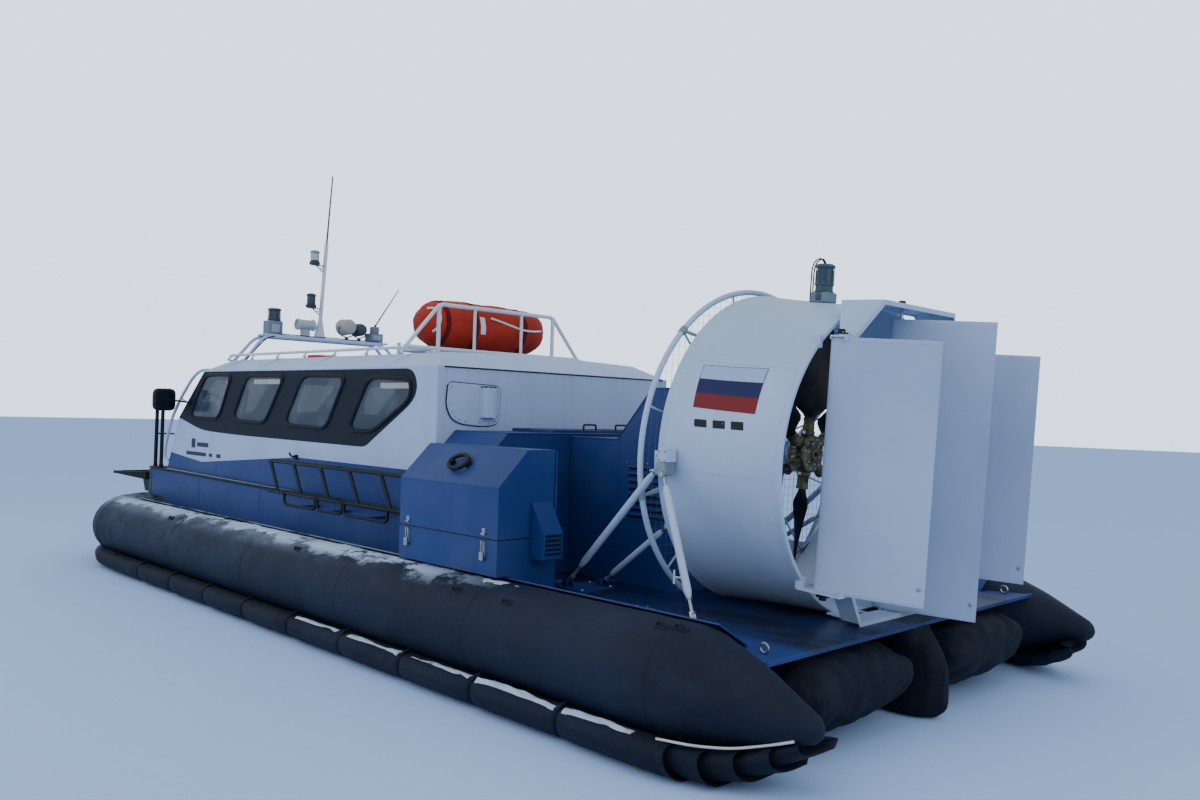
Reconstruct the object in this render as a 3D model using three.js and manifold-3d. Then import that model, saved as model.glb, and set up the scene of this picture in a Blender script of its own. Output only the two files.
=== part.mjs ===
// Amphibious passenger hovercraft, in millimetres, +Z up, +X towards the bow, +Y to port.
// Stations (x) are measured from the tips of the stern tubes; the whole group is shifted at the end
// so that the origin lies under the middle of the craft, on the ground.

import * as THREE from 'three';
import { mergeVertices } from 'three/addons/utils/BufferGeometryUtils.js';
import { ConvexGeometry } from 'three/addons/geometries/ConvexGeometry.js';
import Module from 'manifold-3d';

const wasm = await Module();
wasm.setup();

// Driving dimensions
const LENGTH = 8600;
const HALF_BEAM = 1860;
const GAP = 0.3;
const MOVING_GAP = 6;
const DECK_Z = 500;

const TUBE = { y: 1530, z: 357, r: 270, sides: 24, straightFrom: 640, straightTo: 7750 };
// Rings of the tubes' tail cones: x, radius, height of the centre
const TAIL = [[0, 20, 305], [35, 58, 308], [330, 178, 336]];
const BOW = { cornerR: 580, cornerSteps: 6 };
const SKIRT = { pitch: 665, first: 520, rows: 10, top: 158, inner: 1560, tubeGap: 0.5 };

const HULL = { aft: 350, transom: 665, bow: 8040, bowHalf: 900, fullTo: 7740, bottom: 280, deckUnder: 482 };
const BOX = { aft: 3270, foot: 7750, bow: 8120, half: 1200, wall: 45, chineAft: 850, chineBow: 900 };
const CABIN = {
  half: 1150, wall: 40, rear: 3270, roofTop: 1860, shoulderY: 930, shoulderZ: 1970, crown: 2000,
};
// The cabin's front in side view: head of the windshield, nose below it, foot of the front wall
const FRONT = { head: [7000, 1860], nose: [7560, 1410], foot: [7800, 902] };

const THRUST = { hub: [1130, 0, 1372], tiltDeg: 3 };
const DUCT = { aftX: -430, frontX: 350, aftR: 872, midR: 897, frontR: 935, inner: 850, sides: 48 };
const PROP = { blades: 6, tipR: 828, hubR: 112, hubHalf: 70, restDeg: 4 };
const RUDDER = { pivotX: -556, spacing: 596, chord: 554, lead: 50, halfThick: 24, yawDeg: 15.75 };
// Rudders: name, athwartships place in spacings, half height
const RUDDERS = [
  ['rudder_port', 1, 657],
  ['rudder_centre', 0, 801],
  ['rudder_starboard', -1, 657],
];
// The frames that hold the rudders: height of the flat middle above and below the shaft, its half width,
// and the clearance over the side rudders
const FRAME = { top: 871, bottom: 825, flatHalf: 400, sideGap: 10, thick: 9, aft: 119 };

const COLOURS = {
  blue: 0x34548f, white: 0xc9d2df, black: 0x14161b, tube: 0x2d343e, bag: 0x171a22, glass: 0x55616c,
  propeller: 0x111318, raft: 0xb4281c, steel: 0x8d949c, seat: 0x39414f, engine: 0x50555a,
};

// Solids from three.js geometry, joined and cut

function solid(geometry) {
  const plain = geometry.clone();
  plain.deleteAttribute('normal');
  plain.deleteAttribute('uv');
  const merged = mergeVertices(plain, 1e-3);
  const vertProperties = Float32Array.from(merged.attributes.position.array);
  const triVerts = Uint32Array.from(merged.index.array);
  const body = new wasm.Manifold(new wasm.Mesh({ numProp: 3, vertProperties, triVerts }));
  // An outline or profile may be listed either way round, so a body that is inside out is turned
  return body.volume() > 0 ? body : new wasm.Manifold(
    new wasm.Mesh({ numProp: 3, vertProperties, triVerts: triVerts.slice().reverse() }));
}

function geometryOf(body) {
  const mesh = body.getMesh();
  const geometry = new THREE.BufferGeometry();
  geometry.setAttribute('position', new THREE.BufferAttribute(mesh.vertProperties, 3));
  geometry.setIndex(new THREE.BufferAttribute(mesh.triVerts, 1));
  geometry.computeVertexNormals();
  return geometry;
}

function join(geometries) {
  return geometryOf(geometries.map(solid).reduce((all, one) => all.add(one)));
}

function cut(geometry, tools) {
  return geometryOf(tools.map(solid).reduce((left, tool) => left.subtract(tool), solid(geometry)));
}

function mirrored(geometry) {
  const copy = geometry.index ? geometry.clone() : mergeVertices(geometry.clone(), 1e-3);
  copy.applyMatrix4(new THREE.Matrix4().makeScale(1, -1, 1));
  const index = copy.index.array;
  for (let i = 0; i < index.length; i += 3) {
    [index[i], index[i + 1]] = [index[i + 1], index[i]];
  }
  copy.computeVertexNormals();
  return copy;
}

// Basic shapes, each given by its extent along x, y and z

function block([x0, x1], [y0, y1], [z0, z1]) {
  const box = new THREE.BoxGeometry(x1 - x0, y1 - y0, z1 - z0);
  return box.translate((x0 + x1) / 2, (y0 + y1) / 2, (z0 + z1) / 2);
}

function outline(points) {
  return new THREE.Shape(points.map(([a, b]) => new THREE.Vector2(a, b)));
}

function extruded(shape, depth) {
  return new THREE.ExtrudeGeometry(shape, { depth, bevelEnabled: false, curveSegments: 4 });
}

// An outline in (y, z), extruded from x0 to x1
function prismX(shape, x0, x1) {
  const geometry = extruded(shape, x1 - x0);
  const toX = new THREE.Matrix4().makeBasis(
    new THREE.Vector3(0, 1, 0), new THREE.Vector3(0, 0, 1), new THREE.Vector3(1, 0, 0));
  return geometry.applyMatrix4(toX).translate(x0, 0, 0);
}

// An outline in (x, z), extruded from y0 to y1
function prismY(shape, y0, y1) {
  const geometry = extruded(shape, y1 - y0);
  return geometry.rotateX(Math.PI / 2).translate(0, y1, 0);
}

// An outline in (x, y), extruded from z0 to z1
function prismZ(shape, z0, z1) {
  const geometry = extruded(shape, z1 - z0);
  return geometry.translate(0, 0, z0);
}

function rod(from, to, radius, sides = 6) {
  const a = new THREE.Vector3(...from);
  const b = new THREE.Vector3(...to);
  const along = b.clone().sub(a);
  const geometry = new THREE.CylinderGeometry(radius, radius, along.length(), sides);
  const turn = new THREE.Quaternion().setFromUnitVectors(new THREE.Vector3(0, 1, 0), along.normalize());
  return geometry.applyQuaternion(turn).translate(...a.add(b).multiplyScalar(0.5).toArray());
}

// A bent tube through the points, mitred at each bend
function pipe(points, radius, sides = 6) {
  const at = points.map((p) => new THREE.Vector3(...p));
  const heads = at.slice(1).map((p, i) => p.clone().sub(at[i]).normalize());
  const spare = Math.abs(heads[0].z) < 0.9 ? new THREE.Vector3(0, 0, 1) : new THREE.Vector3(1, 0, 0);
  const u = spare.cross(heads[0]).normalize();
  const v = heads[0].clone().cross(u);
  let ring = [];
  for (let k = 0; k < sides; k++) {
    const a = (k / sides) * 2 * Math.PI;
    const reach = u.clone().multiplyScalar(Math.cos(a)).addScaledVector(v, Math.sin(a));
    ring.push(at[0].clone().addScaledVector(reach, radius));
  }
  const rings = [ring];
  for (let i = 0; i < heads.length; i++) {
    const facing = heads[i].clone().add(heads[i + 1] ?? heads[i]);
    ring = ring.map((p) => p.clone().addScaledVector(
      heads[i], at[i + 1].clone().sub(p).dot(facing) / heads[i].dot(facing)));
    rings.push(ring);
  }
  return skin(rings.map((one) => one.map((p) => p.toArray())));
}

// Turns a profile of (x, r) pairs about the x axis
function turned(profile, sides) {
  const lathe = new THREE.LatheGeometry(profile.map(([x, r]) => new THREE.Vector2(r, x)), sides);
  return lathe.rotateZ(-Math.PI / 2);
}

// A closed body through rings of points, all rings with the same number of points
function skin(rings) {
  const sides = rings[0].length;
  const index = [];
  for (let r = 0; r + 1 < rings.length; r++) {
    for (let k = 0; k < sides; k++) {
      const [a, b] = [r * sides + k, r * sides + ((k + 1) % sides)];
      index.push(a, b, b + sides, a, b + sides, a + sides);
    }
  }
  const last = (rings.length - 1) * sides;
  for (let k = 1; k + 1 < sides; k++) {
    index.push(0, k + 1, k, last, last + k, last + k + 1);
  }
  const geometry = new THREE.BufferGeometry();
  geometry.setAttribute('position', new THREE.Float32BufferAttribute(rings.flat(2), 3));
  geometry.setIndex(index);
  return geometry;
}

// Elliptic rings; each has a centre, a half width across, a half height and a heading in plan
function loft(rings, sides) {
  return skin(rings.map(({ at, wide, high, heading = 0 }) => {
    const ring = [];
    for (let k = 0; k < sides; k++) {
      const a = (k / sides) * 2 * Math.PI;
      const across = Math.cos(a) * wide;
      ring.push([
        at[0] - Math.sin(heading) * across, at[1] + Math.cos(heading) * across, at[2] + Math.sin(a) * high]);
    }
    return ring;
  }));
}

function convex(points) {
  return new ConvexGeometry(points.map((p) => new THREE.Vector3(...p)));
}

// The craft and its moving or mirrored pieces

const craft = new THREE.Group();
craft.position.x = -LENGTH / 2;

function add(name, geometry, colour, parent = craft, roughness = 0.5, metalness = 0) {
  const material = new THREE.MeshStandardMaterial({ color: COLOURS[colour], roughness, metalness });
  const mesh = new THREE.Mesh(geometry, material);
  mesh.name = name;
  parent.add(mesh);
  return mesh;
}

function addPair(name, geometry, colour, parent = craft) {
  add(`${name}_port`, geometry, colour, parent);
  add(`${name}_starboard`, mirrored(geometry), colour, parent);
}

// Inflated tubes

// A side tube, from its tail to the given station, grown a little where it trims its neighbours
function tubeShape(to, grow) {
  const rings = [...TAIL, [TUBE.straightFrom, TUBE.r, TUBE.z], [to, TUBE.r, TUBE.z]];
  return loft(rings.map(([x, r, z]) => ({ at: [x, TUBE.y, z], wide: r + grow, high: r + grow })), TUBE.sides);
}

function bowTube() {
  const rings = [];
  const centreY = TUBE.y - BOW.cornerR;
  for (let i = 0; i <= BOW.cornerSteps; i++) {
    const turn = (i / BOW.cornerSteps) * (Math.PI / 2);
    const x = TUBE.straightTo + GAP + BOW.cornerR * Math.sin(turn);
    rings.push({ at: [x, centreY + BOW.cornerR * Math.cos(turn), TUBE.z], heading: -turn });
  }
  const starboard = rings.slice().reverse().map(({ at, heading }) => (
    { at: [at[0], -at[1], at[2]], heading: -Math.PI - heading }));
  const all = rings.concat(starboard).map((ring) => ({ ...ring, wide: TUBE.r, high: TUBE.r }));
  return loft(all, TUBE.sides);
}

// Skirt fingers under the tubes: each is a bellied pocket, cut off by the tube above it

function finger(x0, x1, belly) {
  const inset = (x1 - x0) * 0.06;
  const section = (shrink) => [
    [SKIRT.inner, 60], [SKIRT.inner + 40, 0], [HALF_BEAM - 120, 0], [HALF_BEAM - 20 - shrink, 45],
    [HALF_BEAM - shrink, 90], [HALF_BEAM - 28 - shrink, SKIRT.top], [HALF_BEAM - 130, SKIRT.top + 25],
  ];
  const ends = [[x0, belly], [x0 + inset, 0], [x1 - inset, 0], [x1, belly]];
  return convex(ends.flatMap(([x, shrink]) => section(shrink).map(([y, z]) => [x, y, z])));
}

function skirtRow() {
  const fingers = [];
  for (let i = 0; i < SKIRT.rows; i++) {
    const x0 = SKIRT.first + i * SKIRT.pitch;
    fingers.push(finger(x0 - 2, x0 + SKIRT.pitch + 2, 26));
  }
  fingers.push(...tailFingers());
  return cut(join(fingers), [tubeShape(LENGTH, SKIRT.tubeGap)]);
}

// The last fingers gather inboard and rise under the tail
function tailFingers() {
  // Stations: x, outer y, height of the lower edge
  const stations = [[530, 1850, 0], [350, 1795, 0], [200, 1705, 75], [45, 1590, 205]];
  const [inner, top] = [1440, 300];
  const section = ([x, y, z]) => [
    [x, inner, z + 70], [x, inner + 40, z], [x, y - 80, z], [x, y, z + 60], [x, y, Math.min(z + 150, top)],
    [x, y - 70, top], [x, inner + 10, top]];
  return stations.slice(1).map((aft, i) => {
    const front = [stations[i][0] + 15, ...stations[i].slice(1)];
    return convex([...section(front), ...section(aft)]);
  });
}

function bowSkirt() {
  // Half of the outline of the bow fingers in plan, from the port row round to the middle
  const outer = [[7174, 1858], [7760, 1830], [8120, 1690], [8380, 1420], [8500, 1050], [8520, 0]];
  const inner = [[7174, 1560], [7700, 1540], [7920, 1400], [8080, 1180], [8150, 900], [8160, 0]];
  const half = [];
  for (let i = 0; i + 1 < outer.length; i++) {
    const corner = (j, list, z, pull) => [
      list[j][0] - (j > 0 ? pull : 0), list[j][1] - (j < outer.length - 1 ? pull : 0), z];
    half.push(convex([i, i + 1].flatMap((j) => [
      corner(j, inner, 60, 0), corner(j, inner, 0, -30), corner(j, outer, 0, 80), corner(j, outer, 80, 0),
      corner(j, outer, SKIRT.top, 25), corner(j, inner, SKIRT.top, 0),
    ])));
  }
  const port = join(half);
  const grown = TUBE.r + SKIRT.tubeGap;
  const sideEnd = loft([7000, TUBE.straightTo + 1].map((x) => (
    { at: [x, TUBE.y, TUBE.z], wide: grown, high: grown })), TUBE.sides);
  const overhead = bowTube().translate(0, 0, -SKIRT.tubeGap - 0.1);
  return cut(join([port, mirrored(port)]), [sideEnd, mirrored(sideEnd), overhead]);
}

// Loose fabric at the stern, between the tubes

function rearBag() {
  const rings = [
    { at: [250, 690, 295], wide: 380, high: 60 },
    { at: [300, 690, 285], wide: 470, high: 140 },
    { at: [420, 700, 262], wide: 520, high: 205 },
    { at: [560, 700, 246.7], wide: 530, high: 235 },
    { at: [640, 700, 262], wide: 510, high: 40 },
  ];
  return loft(rings, 20);
}

function keelSkirt() {
  const halfWide = 135;
  const side = [[8000, 60], [8000, HULL.bottom - GAP], [662, HULL.bottom - GAP], [655, HULL.deckUnder - GAP],
    [352, HULL.deckUnder - GAP], [250, 330], [215, 140], [300, 20], [900, 0]];
  return prismY(outline(side), -halfWide, halfWide);
}

// Rigid hull: flat bottom, deck, and the sloping coaming strips that hold the tubes

function hull() {
  const strip = { slope: Math.tan(Math.PI / 6), thick: 7 };
  const touch = [TUBE.y - (TUBE.r + GAP) * 0.5, TUBE.z + (TUBE.r + GAP) * Math.cos(Math.PI / 6)];
  const under = (y) => touch[1] + (y - touch[0]) * strip.slope;
  const half = [[0, HULL.bottom], [1100, HULL.bottom], [1215, 330], [1238, 440], [1238, DECK_Z], [0, DECK_Z]];
  const core = prismX(outline(half), HULL.transom, HULL.fullTo);
  const deckFront = HULL.transom + 5;
  const deckEdge = outline([[HULL.aft, 0], [HULL.aft, 1440], [deckFront, 1300], [deckFront, 0]]);
  const sternDeck = cut(prismZ(deckEdge, HULL.deckUnder, DECK_Z), [tubeShape(LENGTH, GAP)]);
  const bow = block([HULL.fullTo - 5, HULL.bow], [0, HULL.bowHalf], [HULL.bottom, DECK_Z]);
  const coaming = prismX(outline([
    [1236, 440], [1255, under(1255)], [1460, under(1460)], [1456, under(1460) + strip.thick],
    [1251, under(1255) + strip.thick], [1236, DECK_Z],
  ]), 600, 7700);
  const port = join([core, sternDeck, bow, coaming]);
  return join([port, mirrored(port)]);
}

function chine(x) {
  return BOX.chineAft + (BOX.chineBow - BOX.chineAft) * (x - BOX.aft) / (BOX.bow - BOX.aft);
}

function hullBox() {
  const low = DECK_Z + GAP;
  const over = TUBE.z + TUBE.r + GAP;
  const side = outline([[BOX.aft, low], [BOX.foot, low], [BOX.foot, over], [BOX.bow, over],
    [BOX.bow, chine(BOX.bow)], [BOX.aft, chine(BOX.aft)]]);
  const shell = prismY(side, -BOX.half, BOX.half);
  const inside = block([BOX.aft + BOX.wall, BOX.foot - BOX.wall],
    [BOX.wall - BOX.half, BOX.half - BOX.wall], [low - 10, 2000]);
  const lugs = LADDER.loops.flatMap(([x0, x1]) => {
    const x = (x0 + x1) / 2;
    const lug = block([x - 30, x + 30], [BOX.half - 5, LADDER.y - LADDER.r - 0.4],
      [LADDER.hingeZ - 8, LADDER.hingeZ + 8]);
    return [lug, mirrored(lug)];
  });
  return join([cut(shell, [inside]), ...lugs]);
}

// Folding boarding ladder on the hull's side, hinged on the bottoms of its three loops
const LADDER = {
  y: 1360, r: 11, hingeZ: 800, lowZ: 885, highZ: 1120, from: 3290, to: 5250,
  loops: [[3500, 4060], [4090, 4440], [4470, 4950]], bars: [3460, 3870, 4275, 4680, 5055],
};

function ladder() {
  const { y, r, hingeZ, lowZ, highZ, from, to } = LADDER;
  const deep = 85;
  const rails = [
    [[from, y, lowZ], [to, y, lowZ]], [[from, y - deep, lowZ], [to, y - deep, lowZ]],
    [[from, y, highZ], [to, y, highZ]], [[from, y - deep, highZ], [to, y - deep, highZ]],
  ].map(([a, b]) => rod(a, b, r));
  const ties = [from + r, (from + to) / 2, to - r].flatMap((x) => [
    rod([x, y, lowZ], [x, y - deep, lowZ], r - 1), rod([x, y, highZ], [x, y - deep, highZ], r - 1)]);
  const bars = LADDER.bars.map((x) => convex([-6, 6].flatMap((t) => [
    [x - 20, y + t, lowZ - 4], [x + 20, y + t, lowZ - 4],
    [x + 120, y + t, highZ + 4], [x + 160, y + t, highZ + 4]])));
  const bend = 30;
  const loops = LADDER.loops.map(([x0, x1]) => pipe([
    [x0, y, lowZ], [x0, y, hingeZ + bend], [x0 + bend, y, hingeZ],
    [x1 - bend, y, hingeZ], [x1, y, hingeZ + bend], [x1, y, lowZ]], r));
  return join([...rails, ...ties, ...bars, ...loops]);
}

// Cabin

function cabinSide() {
  const base = (x) => chine(x) + GAP;
  const shape = outline([[CABIN.rear, base(CABIN.rear)], [FRONT.foot[0], base(FRONT.foot[0])], FRONT.nose,
    FRONT.head, [CABIN.rear, CABIN.roofTop]]);
  const wall = prismY(shape, CABIN.half - CABIN.wall, CABIN.half);
  return cut(wall, SIDE_WINDOWS.map((corners) => (
    prismY(outline(corners), CABIN.half - CABIN.wall - 5, CABIN.half + 5))));
}

// Side windows, from the bow aft: corners in (x, z)
const SIDE_WINDOWS = [
  [[7290, 1425], [6960, 1815], [6420, 1815], [6660, 1425]],
  [[6360, 1425], [6100, 1805], [5430, 1800], [5750, 1412]],
  [[5390, 1412], [5110, 1800], [4460, 1792], [4730, 1397]],
  [[4390, 1395], [4120, 1782], [3630, 1768], [3590, 1740], [3590, 1640], [4060, 1397]],
];

function sideGlass() {
  const shape = outline([[3500, 1375], [7330, 1375], [7330, 1400], [6960, 1840], [3500, 1840]]);
  return prismY(shape, CABIN.half - CABIN.wall - GAP - 6, CABIN.half - CABIN.wall - GAP);
}

function roofSolid(inset, lift) {
  const half = (y, z, x0, x1) => [[x0, y, z], [x1, y, z], [x0, -y, z], [x1, -y, z]];
  return convex([
    ...half(CABIN.half - inset, CABIN.roofTop + GAP + lift, CABIN.rear + inset, FRONT.head[0] - inset),
    ...half(CABIN.shoulderY - inset, CABIN.shoulderZ - inset + lift, CABIN.rear + 190 + inset,
      FRONT.head[0] - 110 - inset),
    ...half(1, CABIN.crown - inset + lift, CABIN.rear + 230 + inset, FRONT.head[0] - 150 - inset),
  ]);
}

function cabinRoof() {
  return cut(roofSolid(0, 0), [roofSolid(32, -GAP * 2)]);
}

// The front wall leans forward from head to nose, and less from nose to foot
function frontBand(inner, outer, halfWide) {
  const [head, nose, foot] = [FRONT.head, FRONT.nose, FRONT.foot];
  const lean = [0.63, 0.777];
  const shape = outline([
    [head[0] - lean[0] * outer, head[1] - lean[1] * outer], [nose[0] - 0.75 * outer, nose[1] - 0.55 * outer],
    [foot[0] - outer, foot[1] + GAP], [foot[0] - inner, foot[1] + GAP],
    [nose[0] - 0.75 * inner, nose[1] - 0.55 * inner], [head[0] - lean[0] * inner, head[1] - lean[1] * inner],
  ]);
  return prismY(shape, -halfWide, halfWide);
}

// A slab that lies along the line a to b of the side view: from and to are distances down from a, and the
// depths are measured inwards
function slab(a, b, [from, to], [y0, y1], [depth0, depth1]) {
  const along = new THREE.Vector2(b[0] - a[0], b[1] - a[1]).normalize();
  const inward = new THREE.Vector2(along.y, -along.x);
  const point = (s, d) => [a[0] + along.x * s + inward.x * d, a[1] + along.y * s + inward.y * d];
  const corners = [[from, depth1], [to, depth1], [to, depth0], [from, depth0]];
  return prismY(outline(corners.map(([s, d]) => point(s, d))), y0, y1);
}

const onWindshield = (...place) => slab(FRONT.head, FRONT.nose, ...place);
const onFrontWall = (...place) => slab(FRONT.nose, FRONT.foot, ...place);

const SCREEN = { length: 718, hatch: [40, 668], hatchHalf: 345, pane: [70, 640], paneY: [430, 1040] };
const DOOR = { span: [30, 500], half: 345 };

function cabinFront() {
  const wall = frontBand(0, 40, CABIN.half - CABIN.wall - GAP);
  const [p0, p1] = SCREEN.pane;
  const [y0, y1] = SCREEN.paneY;
  const [h0, h1] = SCREEN.hatch;
  const [d0, d1] = DOOR.span;
  const hatchHalf = SCREEN.hatchHalf;
  const through = [-10, 60];
  return cut(wall, [
    onWindshield([p0, p1], [y0, y1], through),
    onWindshield([p0, p1], [-y1, -y0], through),
    // Both openings fit closely at the hinged edge only: the hatch's head and the door's port edge
    onWindshield([h0 - GAP, h1 + MOVING_GAP], [-hatchHalf - MOVING_GAP, hatchHalf + MOVING_GAP], through),
    onFrontWall([d0 - MOVING_GAP, d1 + MOVING_GAP], [-DOOR.half - MOVING_GAP, DOOR.half + GAP], through),
  ]);
}

function windshieldPane() {
  const lap = 20;
  const [p0, p1] = SCREEN.pane;
  const [y0, y1] = SCREEN.paneY;
  return onWindshield([p0 - lap, p1 + lap], [y0 - lap, y1 + lap], [40 + GAP, 46]);
}

function bowHatch() {
  const [h0, h1] = SCREEN.hatch;
  const [half, frame] = [SCREEN.hatchHalf, 60];
  return cut(onWindshield([h0, h1], [-half, half], [2, 26]),
    [onWindshield([h0 + frame, h1 - frame], [frame - half, half - frame], [-10, 60])]);
}

function hatchGlass() {
  const [h0, h1] = SCREEN.hatch;
  const [half, lap] = [SCREEN.hatchHalf, 40];
  return onWindshield([h0 + lap, h1 - lap], [lap - half, half - lap], [26 + GAP, 32]);
}

function bowDoor() {
  return onFrontWall(DOOR.span, [-DOOR.half, DOOR.half], [2, 30]);
}

function rearWall() {
  const y = CABIN.half - CABIN.wall - GAP;
  const wall = block([CABIN.rear, CABIN.rear + CABIN.wall], [-y, y], [chine(CABIN.rear) + 1, CABIN.roofTop]);
  // Bolted oval cover and the half-round cowl on it, on the port half
  const cover = new THREE.Shape();
  cover.moveTo(620, 1740);
  cover.lineTo(1070, 1755);
  cover.quadraticCurveTo(1090, 1520, 960, 1475);
  cover.quadraticCurveTo(780, 1440, 640, 1475);
  cover.closePath();
  const plate = prismX(cover, CABIN.rear - 8, CABIN.rear + 2);
  const drum = (r, long, x, z) => (
    new THREE.CylinderGeometry(r, r, long, 12).rotateX(Math.PI / 2).translate(x, 735, z));
  const cowl = drum(66, 210, CABIN.rear - 8, 1625);
  const bore = drum(54, 190, CABIN.rear - 14, 1650);
  const inside = block([CABIN.rear - 2, CABIN.rear + 200], [600, 900], [1500, 1800]);
  return join([wall, plate, cut(cowl, [bore, inside])]);
}

// Rows of seats: stations of the seats' fronts
const SEAT_ROWS = [6500, 5700, 4900, 4100];

function seatRow() {
  const z = DECK_Z + GAP;
  const plinth = block([SEAT_ROWS[3] - 480, SEAT_ROWS[0]], [300, 1080], [z, z + 60]);
  const seats = SEAT_ROWS.flatMap((x) => [
    block([x - 420, x - 60], [320, 1070], [z + 55, z + 380]),
    convex([[320, 0], [1070, 0]].flatMap(([y]) => [
      [x - 430, y, z + 370], [x - 340, y, z + 370], [x - 500, y, z + 960], [x - 560, y, z + 960]])),
  ]);
  return join([plinth, ...seats]);
}

function dashboard() {
  const z = DECK_Z + GAP;
  const desk = prismY(outline([[7120, z], [7420, z], [7420, 1180], [7340, 1300], [7120, 1250]]), -1040, -400);
  const column = rod([7150, -720, 1180], [6990, -720, 1290], 14);
  const rim = new THREE.TorusGeometry(150, 13, 6, 16).rotateY(Math.PI / 2 + 0.6);
  const wheel = rim.translate(6985, -720, 1293);
  const spoke = rod([6985, -868, 1293], [6985, -572, 1293], 10);
  return join([desk, column, wheel, spoke]);
}

// Machinery spaces behind the cabin

const HOUSING = { half: 450, aft: 1700, top: 1740, brow: 1970, slopeFoot: 2260, low: 1410, front: 2694 };
const HOOD = { half: 1096, aft: 2700, front: 3262, top: 1430, wall: 20, shoulder: 95 };
const HOOD_HATCH = { half: 560, aft: 2760, front: 3190, thick: 22 };

function engineHousing() {
  const z = DECK_Z + GAP;
  const h = HOUSING;
  const outer = [[h.aft, z], [h.front, z], [h.front, h.low], [h.slopeFoot, h.low], [h.brow, h.top],
    [h.aft, h.top]];
  const t = 20;
  const inner = [[h.aft + t, z - 5], [h.front - t, z - 5], [h.front - t, h.low - t],
    [h.slopeFoot - 8, h.low - t], [h.brow - 8, h.top - t], [h.aft + t, h.top - t]];
  return cut(prismY(outline(outer), -h.half, h.half), [prismY(outline(inner), t - h.half, h.half - t)]);
}

function engineHood() {
  const z = DECK_Z + GAP;
  const { half, aft, front, top, wall, shoulder } = HOOD;
  const outer = [[-half, z], [half, z], [half, top - shoulder], [half - shoulder, top],
    [shoulder - half, top], [-half, top - shoulder]];
  const inner = [[wall - half, z - 5], [half - wall, z - 5], [half - wall, top - shoulder - 8],
    [half - shoulder - 8, top - wall], [shoulder + 8 - half, top - wall], [wall - half, top - shoulder - 8]];
  const opening = block([HOOD_HATCH.aft + 25, HOOD_HATCH.front - 25],
    [25 - HOOD_HATCH.half, HOOD_HATCH.half - 25], [top - 60, top + 10]);
  const passage = block([aft - 5, aft + wall + 5], [-350, 350], [z - 5, 1250]);
  const inside = prismX(outline(inner), aft + wall, front - wall);
  return cut(prismX(outline(outer), aft, front), [inside, opening, passage]);
}

function hoodHatch() {
  const { half, aft, front, thick } = HOOD_HATCH;
  return block([aft, front], [-half, half], [HOOD.top + GAP, HOOD.top + thick]);
}

function engineBlock() {
  return block([2020, 2640], [-260, 260], [DECK_Z + GAP, 1130]);
}

// Side locker, on the port deck only: a tub on the deck edge, and a shell that swings up about its inboard top edge

const LOCKER = {
  aft: 2110, front: 3080, inner: 1100, outer: 1540, seam: 850, lip: 1140, slantY: 1330, top: 1350, wall: 14,
};

function lockerTub() {
  const l = LOCKER;
  const z = DECK_Z + GAP;
  // The floor follows the coaming strip up and over the tube
  const floor = [[l.inner, z], [1228, z], [1230, 522], [1452, 641], [l.outer, 641], [l.outer, l.seam],
    [l.inner, l.seam]];
  const tub = prismX(outline(floor), l.aft, l.front);
  const well = block([l.aft + 20, l.front - 20], [l.inner + 20, l.outer - 20], [680, l.seam + 10]);
  const back = block([l.aft, l.front], [l.inner, l.inner + 16], [l.seam - 5, l.top - 12]);
  return join([cut(tub, [well]), back]);
}

function lockerLid() {
  const l = LOCKER;
  const innerY = l.inner + 24;
  const section = (t, low) => [[innerY, low], [l.outer - t, low], [l.outer - t, l.lip - t * 0.4],
    [l.slantY - t * 0.4, l.top - t], [innerY, l.top - t]];
  const outer = prismX(outline(section(0, l.seam + GAP)), l.aft, l.front);
  const inner = prismX(outline(section(l.wall, l.seam - 5)), l.aft + l.wall, l.front - l.wall);
  const scoop = convex([[1150, 0], [1300, 0]].flatMap(([y]) => [
    [l.aft - MOVING_GAP, y, 735], [1995, y, 730], [1995, y, 880], [l.aft - MOVING_GAP, y, 1050]]));
  const bridge = block([l.aft - 20, l.aft + 2], [1160, 1290], [880, 960]);
  return join([cut(outer, [inner]), scoop, bridge]);
}

// Thrust unit, in a frame of its own: origin at the propeller hub, x along the shaft

const thrust = new THREE.Group();
thrust.position.set(...THRUST.hub);
thrust.rotation.y = -THREE.MathUtils.degToRad(THRUST.tiltDeg);
craft.add(thrust);
craft.updateMatrixWorld(true);

const toThrust = new THREE.Matrix4().makeTranslation(...THRUST.hub)
  .multiply(new THREE.Matrix4().makeRotationY(thrust.rotation.y));

function ductOuter(grow) {
  return [[DUCT.aftX, DUCT.aftR + grow], [0, DUCT.midR + grow], [DUCT.frontX - 20, DUCT.frontR + grow],
    [DUCT.frontX, DUCT.frontR - 8 + grow]];
}

function ductEnvelope(grow) {
  const profile = [[DUCT.aftX - grow, 0], ...ductOuter(grow), [DUCT.frontX + grow, DUCT.frontR - 8 + grow],
    [DUCT.frontX + grow, 0]];
  return turned(profile, DUCT.sides);
}

function duct() {
  const profile = [...ductOuter(0), [DUCT.frontX, DUCT.frontR - 30], [DUCT.frontX - 60, DUCT.frontR - 58],
    [DUCT.frontX - 170, DUCT.inner + 4], [DUCT.aftX, DUCT.inner]];
  profile.push(profile[0]);
  return join([turned(profile, DUCT.sides), rudderFrame(1), rudderFrame(-1)]);
}

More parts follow.
